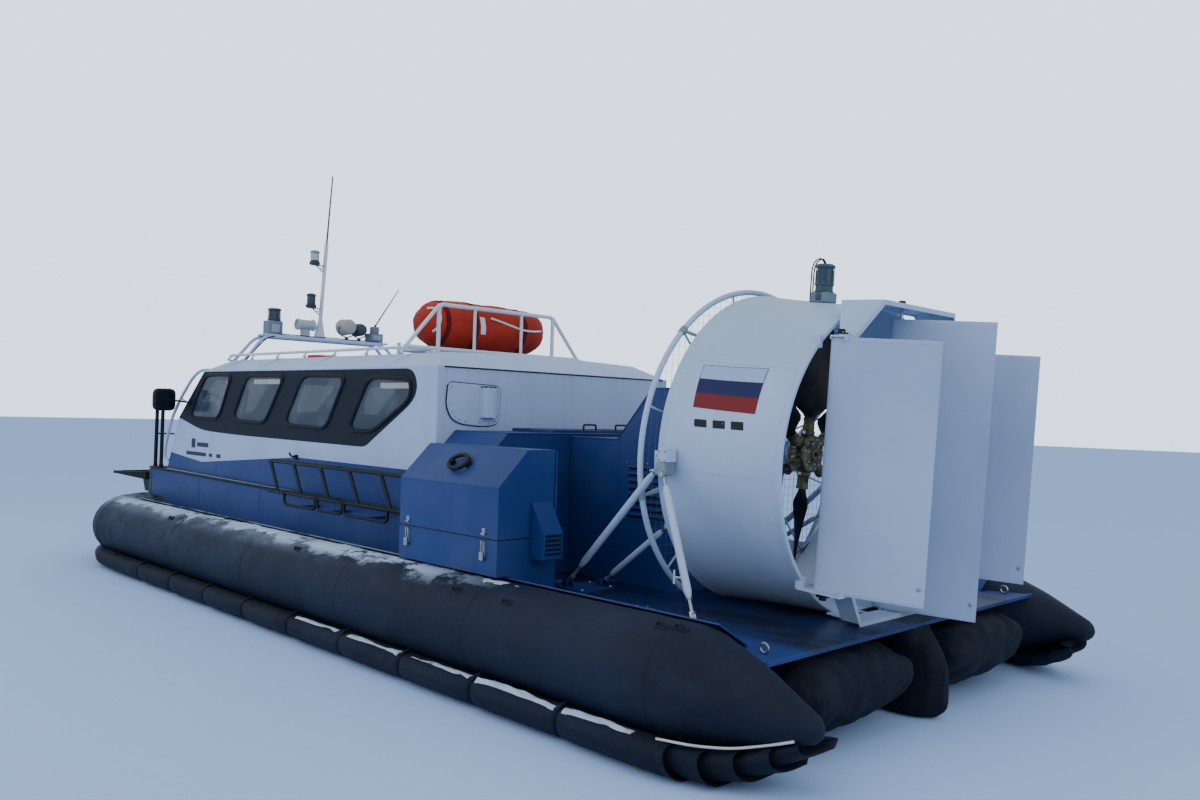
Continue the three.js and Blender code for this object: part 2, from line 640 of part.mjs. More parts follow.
// A frame on the duct's aft rim that carries the rudders' pivots: flat across the middle, and sloping to the
// side rudders. end is 1 for the frame on top and -1 for the one below.
function rudderFrame(end) {
  const { pivotX, spacing } = RUDDER;
  const { flatHalf, thick, sideGap } = FRAME;
  const side = RUDDERS[0][2] + sideGap;
  const middle = end > 0 ? FRAME.top : FRAME.bottom;
  const rim = DUCT.aftX + 10;
  const aft = pivotX - FRAME.aft;
  // Plates: y and height at one edge, y and height at the other
  const plates = [
    [-flatHalf, middle, flatHalf, middle],
    [flatHalf, middle, spacing * 0.92, side],
    [spacing * 0.92, side, spacing * 1.06, side],
    [-flatHalf, middle, -spacing * 0.92, side],
    [-spacing * 0.92, side, -spacing * 1.06, side],
  ].map(([y0, z0, y1, z1]) => convex([0, thick].flatMap((t) => [rim, aft].flatMap((x) => [
    [x, y0, end * (z0 + t)], [x, y1, end * (z1 + t)]]))));
  const gussets = [1, -1].map((s) => convex([-14, 14].flatMap((w) => [
    [rim, s * spacing + w, end * 600], [rim + 30, s * spacing + w, end * 600],
    [rim - 20, s * spacing + w, end * (side + 5)], [rim + 30, s * spacing + w, end * (side + 5)]])));
  const shoe = end > 0
    ? block([DUCT.aftX, rim + 40], [-40, 40], [855, middle + thick])
    : block([DUCT.aftX, rim + 20], [-40, 40], [-856, -middle]);
  const pins = RUDDERS.map(([, place, half]) => {
    const reach = place ? side + 8 : middle + 5;
    return rod([pivotX, place * spacing, end * (half + 1)], [pivotX, place * spacing, end * reach], 11);
  });
  return join([...plates, ...gussets, shoe, ...pins]);
}

function rudder(half) {
  const { lead, chord, halfThick } = RUDDER;
  const shape = outline([
    [lead, 0], [lead - 12, halfThick * 0.7], [lead - 60, halfThick], [-200, halfThick * 0.9],
    [lead - chord, 3], [lead - chord, -3],
    [-200, -halfThick * 0.9], [lead - 60, -halfThick], [lead - 12, -halfThick * 0.7],
  ]);
  return prismZ(shape, -half, half);
}

function addRudders() {
  for (const [name, place, half] of RUDDERS) {
    const group = new THREE.Group();
    group.position.set(RUDDER.pivotX, place * RUDDER.spacing, 0);
    group.rotation.z = THREE.MathUtils.degToRad(RUDDER.yawDeg);
    thrust.add(group);
    add(name, rudder(half), 'white', group);
  }
}

function propeller() {
  const hub = turned([[-PROP.hubHalf, 0], [-PROP.hubHalf, 48], [-52, PROP.hubR], [52, PROP.hubR],
    [PROP.hubHalf, 55], [PROP.hubHalf, 0]], 12);
  const shaft = rod([40, 0, 0], [230, 0, 0], 29, 12);
  const pieces = [hub, shaft];
  // Blade sections: radius, half chord, half thickness, pitch in degrees, of a left-handed propeller
  const sections = [[50, 30, 26, 64], [205, 34, 26, 62], [300, 116, 15, 56], [355, 120, 13, 50.5],
    [410, 122, 12, 46], [465, 122, 11, 42], [520, 120, 10, 39], [610, 114, 8, 36], [700, 104, 7, 34],
    [PROP.tipR, 62, 5, 32]];
  const blade = skin(sections.map(([r, chord, thick, pitch]) => {
    const p = -THREE.MathUtils.degToRad(pitch);
    return [[chord, 0], [0, thick], [-chord, 0], [0, -thick]].map(([c, t]) => [
      c * Math.sin(p) + t * Math.cos(p), -c * Math.cos(p) + t * Math.sin(p), r]);
  }));
  for (let b = 0; b < PROP.blades; b++) {
    const turn = (b / PROP.blades) * 2 * Math.PI + THREE.MathUtils.degToRad(PROP.restDeg);
    pieces.push(blade.clone().rotateX(turn));
  }
  return join(pieces);
}

// Bearing housing in front of the hub, on three arms in the duct, driven from the machinery ahead of it

// Places of the arms round the shaft, counted from port towards the top
const ARM_DEGREES = [30, 150, 270];

function shaftBearing() {
  const [start, r] = [84, 74];
  const tilt = THREE.MathUtils.degToRad(THRUST.tiltDeg);
  const reach = (HOUSING.aft - GAP - THRUST.hub[0] - r * Math.sin(tilt)) / Math.cos(tilt);
  const body = turned([[start, 0], [start, 60], [start + 30, r], [reach, r], [reach, 0]], 12);
  const bore = rod([start - 5, 0, 0], [236, 0, 0], 29 + GAP, 12);
  const arms = ARM_DEGREES.map((deg) => {
    const a = THREE.MathUtils.degToRad(deg);
    return rod([150, 0, 0], [230, Math.cos(a) * 870, Math.sin(a) * 870], 15);
  });
  const trimmed = solid(join(arms)).intersect(solid(turned(
    [[0, 0], [0, DUCT.inner - 8], [DUCT.frontX - 170, DUCT.inner - 6], [DUCT.frontX - 100, DUCT.inner + 6],
      [DUCT.frontX, DUCT.inner + 6], [DUCT.frontX, 0]], DUCT.sides)));
  return cut(join([body, geometryOf(trimmed)]), [bore]);
}

const GUARD = { x: 430, r: 980, tube: 15, innerR: 230, spokes: 12, z: -22 };

function guardRing() {
  const ring = (r, tube, sides, around) => (
    new THREE.TorusGeometry(r, tube, sides, around).rotateY(Math.PI / 2).translate(GUARD.x, 0, GUARD.z));
  const spokes = [];
  const feet = [];
  for (let i = 0; i < GUARD.spokes; i++) {
    const a = ((i + 0.5) / GUARD.spokes) * 2 * Math.PI;
    const at = (x, r) => [x, Math.cos(a) * r, Math.sin(a) * r + GUARD.z];
    spokes.push(rod(at(GUARD.x, GUARD.innerR), at(GUARD.x, GUARD.r), 7, 5));
    if (i % 2 === 1) {
      feet.push(rod(at(GUARD.x, GUARD.r), at(DUCT.frontX - 40, DUCT.frontR - 30), 10));
    }
  }
  const whole = join([ring(GUARD.r, GUARD.tube, 6, 36), ring(GUARD.innerR, 8, 5, 18), ...spokes, ...feet]);
  const floor = block([-700, 700], [-1200, 1200], [-1400, -862]).applyMatrix4(
    new THREE.Matrix4().makeRotationY(THREE.MathUtils.degToRad(THRUST.tiltDeg)));
  return cut(whole, [ductEnvelope(GAP), floor]);
}

// Side struts that steady the duct: white tubes with thinner ends, from a bracket on its side to the deck
function ductStruts() {
  const bracket = [1392, 1045, 1350];
  const feet = [[2220, 890, DECK_Z + 30], [950, 1190, DECK_Z + 30]];
  const low = [[1500, 790, 950], [2120, 690, DECK_Z + 30]];
  const strut = (a, b) => {
    const at = (t) => a.map((v, i) => v + (b[i] - v) * t);
    return [rod(a, b, 9), rod(at(0.08), at(0.88), 19)];
  };
  const plate = block([2050, 2280], [640, 930], [DECK_Z + GAP, DECK_Z + 12]);
  const ears = [feet[0], low[1]].map(([x, y]) => (
    block([x - 25, x + 25], [y - 12, y + 12], [DECK_Z + 5, DECK_Z + 55])));
  const aftFoot = block([905, 995], [1160, 1225], [DECK_Z + GAP, DECK_Z + 55]);
  const head = block([1335, 1450], [900, 1062], [1290, 1412]);
  const lowHead = block([1455, 1515], [765, 815], [920, 980]);
  const struts = [[bracket, feet[0]], [bracket, feet[1]], low].flatMap(([a, b]) => strut(a, b));
  const whole = join([plate, ...ears, aftFoot, head, lowHead, ...struts]);
  return cut(whole, [ductEnvelope(GAP).applyMatrix4(toThrust)]);
}

// Lantern on top of the duct, with a bent wire guard
function ductLantern() {
  const up = DUCT.midR;
  const base = block([-110, 20], [-60, 60], [up - 60, up + 62]);
  const drum = (top, foot, high, z) => (
    new THREE.CylinderGeometry(top, foot, high, 10).rotateX(Math.PI / 2).translate(-45, 0, up + z));
  const wire = pipe([
    [40, 0, up - 40], [40, 0, up + 210], [15, 0, up + 255], [-35, 0, up + 272], [-45, 0, up + 220]], 6);
  const tie = rod([0, 0, up + 40], [40, 0, up + 40], 6);
  return cut(join([base, drum(48, 52, 150, 130), drum(44, 58, 26, 216), wire, tie]), [ductEnvelope(GAP)]);
}

// Roof equipment

// The raft lies on two bars that run fore and aft between the rack's cross bars
const CRADLE = { y: 330, z: 2031, r: 10 };
const RAFT = { x: 4345, r: 205 };

function roofRack() {
  const r = 14;
  const [aft, front, y, low, high] = [4080, 4620, 585, 2035, 2375];
  const pieces = [];
  for (const s of [1, -1]) {
    pieces.push(
      rod([front + 9, s * y, low + 1], [aft - 9, s * y, low + 1], r),
      rod([aft, s * y, 1950], [aft, s * y, high + 6], r),
      rod([front + 5, s * CRADLE.y, CRADLE.z], [aft - 5, s * CRADLE.y, CRADLE.z], CRADLE.r),
      rod([aft + 1, s * (y - 4), high - 3], [aft + 1, s * 893, low - 18], r - 1),
      rod([front, s * (y - 2), 1950], [front, s * (y - 2), low + 60], r),
      ...roofRail(s));
  }
  pieces.push(
    rod([aft + 2, 893, low - 3], [aft + 2, -893, low - 3], r),
    rod([aft + 1, y + 8, high], [aft + 1, -y - 8, high], r),
    rod([front + 1, y + 7, low - 2], [front + 1, -y - 7, low - 2], r),
    rod([aft + 3, 240, low - 7], [aft + 3, 240, high + 2], r - 3),
    rod([aft + 3, -240, low - 7], [aft + 3, -240, high + 2], r - 3));
  return cut(join(pieces), [roofKeepOut()]);
}

function roofKeepOut() {
  return roofSolid(0, GAP);
}

// Rail along one edge of the roof, on posts every half metre
function roofRail(side) {
  const [aft, front, y, z] = [4050, 7020, 900, 2022];
  const posts = [];
  for (let x = aft + 20; x <= front; x += 490) {
    posts.push(rod([x, side * y, z + 3], [x, side * (y + 15), 1940], 9));
  }
  return [rod([aft - 10, side * y, z], [front, side * y, z], 12), ...posts];
}

// The raft's packed case, lying athwartships in the rack
function lifeRaft() {
  // Rings along y: y, radius
  const rings = [[-640, 60], [-600, 140], [-500, 192], [-CRADLE.y, RAFT.r], [CRADLE.y, RAFT.r], [450, 192],
    [550, 135], [595, 60]];
  const body = loft(rings.map(([x, r]) => ({ at: [x, 0, 0], wide: r * 1.08, high: r })), 20);
  return body.rotateZ(Math.PI / 2).translate(RAFT.x, 0, CRADLE.z + CRADLE.r + GAP + RAFT.r);
}

const ARCH = { x: 7000, back: 170, z: 2222, half: 660, footY: 880, plateZ: 2246 };

function equipmentArch() {
  const { x, back, z, half, footY, plateZ } = ARCH;
  const frames = [x, x - back].map((at, i) => pipe(
    [[at - i * 60, footY, 1930], [at, half, z], [at, -half, z], [at - i * 60, -footY, 1930]], 15));
  const plate = block([x - back - 10, x + 25], [-720, 640], [z + 8, plateZ]);
  const foot = plateZ - 4;
  const upright = (top, low, high, at) => (
    new THREE.CylinderGeometry(top, low, high, 10).rotateX(Math.PI / 2).translate(...at));
  const lampBox = [
    block([x - 110, x + 20], [430, 590], [foot, 2385]), upright(62, 66, 130, [x - 45, 500, 2447])];
  const pod = [new THREE.CylinderGeometry(58, 58, 190, 10).translate(x - 40, 165, 2375),
    block([x - 70, x - 10], [120, 210], [foot, 2330])];
  const drum = (r, long, at) => (
    new THREE.CylinderGeometry(r, r, long, 12).rotateZ(Math.PI / 2).translate(...at));
  const lights = [drum(86, 170, [x - 40, -300, 2390]), drum(70, 150, [x - 50, -440, 2372]),
    block([x - 75, x - 5], [-340, -260], [foot, 2320]), block([x - 75, x - 5], [-470, -410], [foot, 2320])];
  const radio = [block([x - 120, x + 10], [-700, -540], [foot, 2345]),
    block([x - 100, x - 20], [-660, -580], [2340, 2420]), rod([x - 60, -620, 2400], [x - 60, -900, 2840], 6)];
  const whole = join([...frames, plate, ...lampBox, ...pod, ...lights, ...radio]);
  return cut(whole, [roofKeepOut()]);
}

const MAST = { x: 6990, baseTop: 2440, poleTop: [6890, 0, 3190], tip: [6812, 0, 3880] };

function mast() {
  const z = ARCH.plateZ + GAP;
  // Corners of the tapered base: x from, x to, half width, height
  const base = convex([[-55, 30, 55, z], [-42, -10, 16, MAST.baseTop]].flatMap(([x0, x1, half, height]) => (
    [-half, half].flatMap((y) => [[MAST.x + x0, y, height], [MAST.x + x1, y, height]]))));
  const pole = rod([MAST.x - 22, 0, MAST.baseTop - 60], MAST.poleTop, 17);
  const whip = rod([MAST.poleTop[0] + 5, 0, MAST.poleTop[2] - 60], MAST.tip, 6);
  const lights = [[6915, 2990], [6960, 2560]].flatMap(([x, lz]) => [
    new THREE.CylinderGeometry(38, 38, 110, 10).rotateX(Math.PI / 2).translate(x, 110, lz + 60),
    block([x - 22, x + 22], [-4, 140], [lz - 14, lz + 8])]);
  return join([base, pole, whip, ...lights]);
}

// Mirror on a bent arm at each front corner of the cabin
function mirrorArm() {
  const housing = block([7470, 7540], [1215, 1425], [1475, 1690]);
  const arm = pipe([[7300, 1140, 1560], [7330, 1230, 1570], [7500, 1260, 1580]], 9);
  return cut(join([housing, arm]), [block([6900, 7700], [1000, 1150 + GAP], [1000, 1900])]);
}

// Black hand hoop and boarding pad at each side of the bow
function bowFrame() {
  const top = chine(BOX.bow) + GAP;
  const hoop = pipe([[8040, 1178, top], [8040, 1178, 1570], [7985, 1143, 1590], [7985, 1143, top]], 18);
  const tie = rod([8040, 1178, 1240], [7985, 1143, 1240], 8);
  const foot = block([7940, 8115], [1060, 1199], [top, top + 10]);
  const lip = block([8100, 8120 + GAP + 25], [1040, 1195], [top, top + 8]);
  const hang = block([8120 + GAP, 8120 + GAP + 25], [1040, 1195], [770, top + 8]);
  const pad = convex([
    ...[770, 845].flatMap((z) => [[8140, 900, z], [8140, 1235, z]]),
    ...[812, 838].flatMap((z) => [
      [8480, 1385, z], [8580, 1395, z], [8590, 1330, z], [8590, 1000, z], [8480, 900, z]]),
  ]);
  const stay = convex([1130, 1190].flatMap((y) => [
    [8140, y, 650], [8250, y, 650], [8140, y, 800], [8330, y, 800]]));
  return join([hoop, tie, foot, lip, hang, pad, stay]);
}

// Build

addPair('side_tube', tubeShape(TUBE.straightTo, 0), 'tube');
add('bow_tube', bowTube(), 'tube');
addPair('skirt', skirtRow(), 'bag');
add('bow_skirt', bowSkirt(), 'bag');
addPair('rear_bag', rearBag(), 'bag');
add('keel_skirt', keelSkirt(), 'bag');
const trough = ductEnvelope(GAP).applyMatrix4(toThrust);
add('hull', cut(hull(), [trough]), 'blue');
add('hull_box', hullBox(), 'blue');
addPair('cabin_side', cabinSide(), 'white');
addPair('side_glass', sideGlass(), 'glass');
add('cabin_roof', cabinRoof(), 'white');
add('cabin_front', cabinFront(), 'white');
addPair('windshield', windshieldPane(), 'glass');
add('bow_hatch', bowHatch(), 'white');
add('hatch_glass', hatchGlass(), 'glass');
add('bow_door', bowDoor(), 'blue');
add('cabin_rear_wall', rearWall(), 'white');
addPair('seats', seatRow(), 'seat');
add('helm_console', dashboard(), 'black');
add('engine_hood', engineHood(), 'blue');
add('hood_hatch', hoodHatch(), 'blue');
add('engine_housing', engineHousing(), 'blue');
add('engine_block', engineBlock(), 'engine');
add('locker_port', lockerTub(), 'blue');
add('locker_lid_port', lockerLid(), 'blue');
add('duct', duct(), 'white', thrust);
add('guard_ring', guardRing(), 'white', thrust);
addPair('duct_struts', ductStruts(), 'white');
add('shaft_bearing', shaftBearing(), 'steel', thrust);
add('propeller', propeller(), 'propeller', thrust);
addRudders();
add('duct_lantern', ductLantern(), 'steel', thrust);
add('roof_rack', roofRack(), 'white');
add('life_raft', lifeRaft(), 'raft');
add('equipment_arch', equipmentArch(), 'white');
add('mast', mast(), 'white');
addPair('mirror', mirrorArm(), 'black');
addPair('bow_frame', bowFrame(), 'black');
addPair('boarding_ladder', ladder(), 'black');

export default craft;
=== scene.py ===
"""The visual model of the passenger hovercraft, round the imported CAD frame. Metres; +X bow, +Y port."""

import math

import bpy
from mathutils import Matrix, Vector, noise
from mathutils.geometry import tessellate_polygon


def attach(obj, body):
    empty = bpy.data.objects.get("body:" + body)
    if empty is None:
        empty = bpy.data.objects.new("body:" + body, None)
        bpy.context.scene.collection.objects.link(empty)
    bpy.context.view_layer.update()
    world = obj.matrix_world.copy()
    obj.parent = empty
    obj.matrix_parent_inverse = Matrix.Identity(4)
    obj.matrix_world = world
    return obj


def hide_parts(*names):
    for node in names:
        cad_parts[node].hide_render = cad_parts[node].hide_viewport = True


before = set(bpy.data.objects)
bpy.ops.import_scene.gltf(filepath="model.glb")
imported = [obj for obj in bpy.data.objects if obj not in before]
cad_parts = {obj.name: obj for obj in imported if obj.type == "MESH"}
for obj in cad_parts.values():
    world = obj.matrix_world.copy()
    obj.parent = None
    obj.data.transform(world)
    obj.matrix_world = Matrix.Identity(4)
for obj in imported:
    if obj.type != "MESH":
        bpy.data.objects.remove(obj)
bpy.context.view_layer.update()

STERN = 4.3  # from the origin back to the tips of the stern tubes; stations count forward from there
BODY = "craft"
SKIN_GAP = 0.0003  # keeps thin plates clear of the sheet below them
FLOOR_TOP = 0.5005
RIVET = 0.0042
SIDES = ((1, "port"), (-1, "starboard"))


def at(station, y, z):
    return Vector((station - STERN, y, z))


def sided(side, *points):
    """Points given for the port side, on that side or mirrored to starboard."""
    return [at(x, side * y, z) for x, y, z in points]


def axes(x, y, z):
    """A rotation whose axes are these three directions."""
    return Matrix((x, y, z)).transposed().to_4x4()


def shift(x, y, z):
    return Matrix.Translation(Vector((x, y, z)))


def posed(place, angle, axis):
    """A frame at a place, turned about one axis."""
    return Matrix.Translation(place) @ Matrix.Rotation(angle, 4, axis)


def rect(x0, x1, y0, y1):
    return [(x0, y0), (x1, y0), (x1, y1), (x0, y1)]


def circle(radius, count, tall=None, middle=(0, 0)):
    """Points of a circle, or of an ellipse that is tall the second way."""
    turns = [math.tau * k / count for k in range(count)]
    return [(middle[0] + radius * math.cos(t), middle[1] + (tall or radius) * math.sin(t)) for t in turns]


# Camera and light

EYE = Vector((-6.5, 5.03, 1.57))
VIEW_AHEAD = Vector((0.711, -0.703, 0.014))
VIEW_RIGHT = Vector((-0.703, -0.710, 0.030))
LENS_MM = 29.7
SENSOR_MM = 36
SKY_LIGHT = 1.0
SKY_SEEN = 2.45


def add_camera():
    data = bpy.data.cameras.new("camera")
    data.lens = LENS_MM
    data.sensor_width = SENSOR_MM
    data.clip_end = 500
    camera = bpy.data.objects.new("camera", data)
    ahead = VIEW_AHEAD.normalized()
    right = (VIEW_RIGHT - ahead * VIEW_RIGHT.dot(ahead)).normalized()
    up = right.cross(ahead)
    turn = axes(right, up, -ahead)
    camera.matrix_world = Matrix.Translation(EYE) @ turn
    bpy.context.collection.objects.link(camera)
    bpy.context.scene.camera = camera


def add_studio():
    world = bpy.data.worlds.new("studio")
    bpy.context.scene.world = world
    world.use_nodes = True
    nodes, links = world.node_tree.nodes, world.node_tree.links
    background = nodes["Background"]
    path = nodes.new("ShaderNodeLightPath")
    strength = nodes.new("ShaderNodeMapRange")
    strength.inputs["To Min"].default_value = SKY_LIGHT
    strength.inputs["To Max"].default_value = SKY_SEEN
    links.new(path.outputs["Is Camera Ray"], strength.inputs["Value"])
    links.new(strength.outputs["Result"], background.inputs["Strength"])
    where = nodes.new("ShaderNodeTexCoord")
    split = nodes.new("ShaderNodeSeparateXYZ")
    ramp = nodes.new("ShaderNodeValToRGB")
    ramp.color_ramp.elements[0].position = 0.0
    ramp.color_ramp.elements[0].color = (0.67, 0.77, 0.92, 1)
    ramp.color_ramp.elements[1].position = 0.75
    ramp.color_ramp.elements[1].color = (0.72, 0.80, 0.92, 1)
    links.new(where.outputs["Generated"], split.inputs[0])
    links.new(split.outputs["Z"], ramp.inputs["Fac"])
    links.new(ramp.outputs["Color"], background.inputs["Color"])
    # Name, place, size, watts
    lamps = [
        ("overcast_key", (2.0, 10.0, 6.5), 9.0, 330),
        ("stern_fill", (-12.0, 2.0, 5.0), 7.0, 200),
    ]
    for name, place, size, watts in lamps:
        data = bpy.data.lights.new(name, "AREA")
        data.size = size
        data.energy = watts
        data.color = (0.95, 0.97, 1.0)
        lamp = bpy.data.objects.new(name, data)
        lamp.location = place
        lamp.rotation_euler = (-Vector(place)).to_track_quat("-Z", "Y").to_euler()
        bpy.context.collection.objects.link(lamp)


add_camera()
add_studio()


# Materials. Colours are given as sRGB bytes.


def rgb(red, green, blue):
    def linear(v):
        v /= 255
        return v / 12.92 if v <= 0.04045 else ((v + 0.055) / 1.055) ** 2.4

    return (linear(red), linear(green), linear(blue), 1.0)


SNOW = rgb(186, 202, 226)
# Frost starts at the first of these stations and is full from the second one forward
FROST_AFT = 2.000
FROST_FULL = 2.900
DUSTING_AFT = 2.900
DUSTING_FULL = 4.400


class Shader:
    """A Principled material: colour, roughness and bump built up in layers from object coordinates."""

    def __init__(self, name, colour, roughness=0.5, metallic=0.0, **sockets):
        self.material = bpy.data.materials.new(name)
        self.material.use_nodes = True
        self.tree = self.material.node_tree
        self.shader = self.tree.nodes["Principled BSDF"]
        self.shader.inputs["Metallic"].default_value = metallic
        for socket, value in sockets.items():
            self.shader.inputs[socket.replace("_", " ")].default_value = value
        self.where = self.node("ShaderNodeTexCoord").outputs["Object"]
        self.facing = self.node("ShaderNodeTexCoord").outputs["Normal"]
        self.colour = colour
        self.roughness = roughness
        self.normal = None

    def node(self, kind, **settings):
        node = self.tree.nodes.new(kind)
        for key, value in settings.items():
            setattr(node, key, value)
        return node

    def wire(self, value, socket):
        if isinstance(value, bpy.types.NodeSocket):
            self.tree.links.new(value, socket)
        else:
            socket.default_value = value

    def math(self, operation, a, b=0.0, c=0.0):
        node = self.node("ShaderNodeMath", operation=operation)
        for value, socket in zip((a, b, c), node.inputs):
            self.wire(value, socket)
        return node.outputs[0]

    def times(self, *values):
        product = values[0]
        for value in values[1:]:
            product = self.math("MULTIPLY", product, value)
        return product

    def ramp(self, value, low, high, start=0.0, end=1.0):
        """Maps low..high to start..end, clamped."""
        node = self.node("ShaderNodeMapRange", clamp=True)
        for given, socket in zip((value, low, high, start, end), node.inputs):
            self.wire(given, socket)
        return node.outputs["Result"]

    def noise(self, scale, detail=3.0, stretch=(1, 1, 1), rough=0.55):
        place = self.where
        if stretch != (1, 1, 1):
            mapping = self.node("ShaderNodeMapping")
            mapping.inputs["Scale"].default_value = stretch
            self.tree.links.new(place, mapping.inputs["Vector"])
            place = mapping.outputs["Vector"]
        node = self.node("ShaderNodeTexNoise")
        node.inputs["Scale"].default_value = scale
        node.inputs["Detail"].default_value = detail
        node.inputs["Roughness"].default_value = rough
        self.tree.links.new(place, node.inputs["Vector"])
        return node.outputs["Fac"]

    def axis(self, letter, source=None):
        split = self.node("ShaderNodeSeparateXYZ")
        self.tree.links.new(source or self.where, split.inputs[0])
        return split.outputs[letter]

    def mix(self, factor, a, b):
        node = self.node("ShaderNodeMix", data_type="RGBA")
        self.wire(factor, node.inputs["Factor"])
        self.wire(a, node.inputs["A"])
        self.wire(b, node.inputs["B"])
        return node.outputs["Result"]

    def tint(self, factor, colour, roughness=None):
        self.colour = self.mix(factor, self.colour, colour)
        if roughness is not None:
            node = self.node("ShaderNodeMix", data_type="FLOAT")
            self.wire(factor, node.inputs["Factor"])
            self.wire(self.roughness, node.inputs["A"])
            self.wire(roughness, node.inputs["B"])
            self.roughness = node.outputs["Result"]
        return self

    def vary(self, scale, light, dark, low=0.35, high=0.65, stretch=(1, 1, 1)):
        """Large soft patches, lighter and darker than the base colour."""
        base = self.colour
        soft = self.noise(scale, 4, stretch)
        lighter = tuple(min(1, v * light) for v in base[:3]) + (1,)
        darker = tuple(v * dark for v in base[:3]) + (1,)
        self.colour = self.mix(self.ramp(soft, low, high), darker, lighter)
        return self

    def bump(self, height, distance, strength=1.0):
        node = self.node("ShaderNodeBump")
        node.inputs["Distance"].default_value = distance
        node.inputs["Strength"].default_value = strength
        self.tree.links.new(height, node.inputs["Height"])
        if self.normal is not None:
            self.tree.links.new(self.normal, node.inputs["Normal"])
        self.normal = node.outputs["Normal"]
        return self

    def weave(self, pitch, distance):
        """Crossed threads, the given number of metres apart."""
        turns = math.tau / pitch
        threads = None
        for letter in "XYZ":
            wave = self.math("SINE", self.times(self.axis(letter), turns))
            threads = wave if threads is None else self.math("ADD", threads, wave)
        return self.bump(threads, distance)

    def finish(self):
        self.wire(self.colour, self.shader.inputs["Base Color"])
        self.wire(self.roughness, self.shader.inputs["Roughness"])
        if self.normal is not None:
            self.tree.links.new(self.normal, self.shader.inputs["Normal"])
        return self.material


def paint(name, colour, roughness=0.42, dust=0.06, streak=0.12, wear_and_painted_light=0.0):
    """Sheet-metal paint: faint waviness, dust in patches, streaks that run down and worn dark patches."""
    s = Shader(name, colour, roughness, Specular_IOR_Level=0.3)
    s.vary(0.9, 1.06, 0.92)
    grime = s.noise(5.0, 5, (1, 1, 0.12))
    s.tint(s.ramp(grime, 0.52, 0.75, 0.0, streak), rgb(96, 104, 118), 0.6)
    dusty = s.noise(2.2, 6)
    s.tint(s.ramp(dusty, 0.5, 0.72, 0.0, dust), SNOW, 0.7)
    # With wear, the deck also gets painted shade along its outer edge and a painted lighter band along its
    # edges aft, besides worn patches and frost flakes
    if wear_and_painted_light:
        up = s.ramp(s.axis("Z", s.facing), 0.7, 0.95)
        patches = s.ramp(s.noise(2.4, 9, (0.6, 1, 1), 0.7), 0.47, 0.56, 0.0, wear_and_painted_light)
        s.tint(s.times(up, patches), rgb(9, 15, 30), 0.5)
        along = s.ramp(s.axis("X"), FROST_AFT - STERN, FROST_FULL - STERN)
        edge = s.ramp(s.math("ABSOLUTE", s.axis("Y")), 1.22, 1.25)
        lying = s.ramp(s.axis("Z", s.facing), 0.4, 0.7)
        # Painted shade: darker towards the foot of the tube, in the gully beside the hull box
        s.tint(s.times(edge, along, 0.9), rgb(20, 26, 36), 0.6)
        # Painted light: a lighter blue band along the deck's edges aft, where the outward-sloping coaming
        # catches more sky
        near_edge = s.ramp(s.math("ABSOLUTE", s.axis("Y")), 1.02, 1.14)
        painted_light_aft_edge = s.times(near_edge, s.math("SUBTRACT", 1.0, along))
        s.tint(s.times(painted_light_aft_edge, 0.85), rgb(32, 58, 118), 0.5)
        held = s.math("ADD", s.noise(5.0, 9, (0.5, 1, 1), 0.72), s.times(edge, 0.12))
        flakes = s.ramp(held, 0.56, 0.64)
        s.tint(s.times(lying, flakes, along), SNOW, 0.9)
    s.bump(s.noise(2.5, 2), 0.004)
    s.bump(s.noise(260, 2), 0.0002)
    return s.finish()


def rubber_fabric(name, colour, roughness=0.62, frost=0.0, wrinkle=0.01, bow=0.0):
    """Coated fabric: fine weave, soft dents, chalky scuffs, and frost on top where the craft carries it."""
    s = Shader(name, colour, roughness, Specular_IOR_Level=0.22)
    s.vary(1.3, 1.3, 0.75)
    scuff = s.noise(3.2, 8, (0.4, 1, 1), 0.7)
    s.tint(s.ramp(scuff, 0.52, 0.8, 0.0, 0.12), rgb(96, 108, 126), 0.8)
    if frost:
        up = s.ramp(s.axis("Z", s.facing), 0.25, 0.80)
        across = s.math("ABSOLUTE", s.axis("Y"))
        # A grey dusting over the inboard half of the top
        ahead = s.ramp(s.axis("X"), DUSTING_AFT - STERN, DUSTING_FULL - STERN)
        inboard = s.ramp(across, 1.50, 1.74, 1.0, 0.0)
        spread = s.times(inboard, s.ramp(s.noise(2.6, 10, (0.5, 1, 1), 0.72), 0.40, 0.56))
        s.tint(s.times(s.times(up, spread), s.times(ahead, 0.72 * frost)), SNOW, 0.9)
        # White crust along the crest
        crest = s.times(s.ramp(across, 1.44, 1.52), s.ramp(across, 1.62, 1.72, 1.0, 0.0))
        along = s.ramp(s.axis("X"), FROST_AFT - STERN, FROST_FULL - STERN)
        lumps = s.noise(3.4, 10, (0.6, 1, 1), 0.72)
        crust = s.ramp(s.math("ADD", lumps, s.times(crest, 0.10)), 0.56, 0.62)
        held = s.times(s.times(up, crust), s.times(crest, along))
        s.tint(s.times(held, frost), SNOW, 0.92)
        # A thin grey bloom on the forward part of the tube's top
        forward = s.ramp(s.axis("X"), 3.2 - STERN, 6.5 - STERN)
        outer = s.ramp(s.axis("Z", s.facing), -0.4, 0.6)
        bloom = s.times(outer, s.ramp(s.noise(5.0, 9, rough=0.7), 0.35, 0.7))
        s.tint(s.times(bloom, forward, 0.42), rgb(80, 96, 124), 0.8)
    if bow:
        # Rime on the face of the bow corner
        front = s.ramp(s.axis("X"), 7.7 - STERN, 8.4 - STERN)
        s.tint(s.times(s.times(front, s.ramp(s.noise(4.0, 9, rough=0.7), 0.42, 0.62)), 0.6 * bow), SNOW, 0.9)
    s.bump(s.noise(4.5, 5), wrinkle)
    s.weave(0.0035, 0.00015)
    return s.finish()


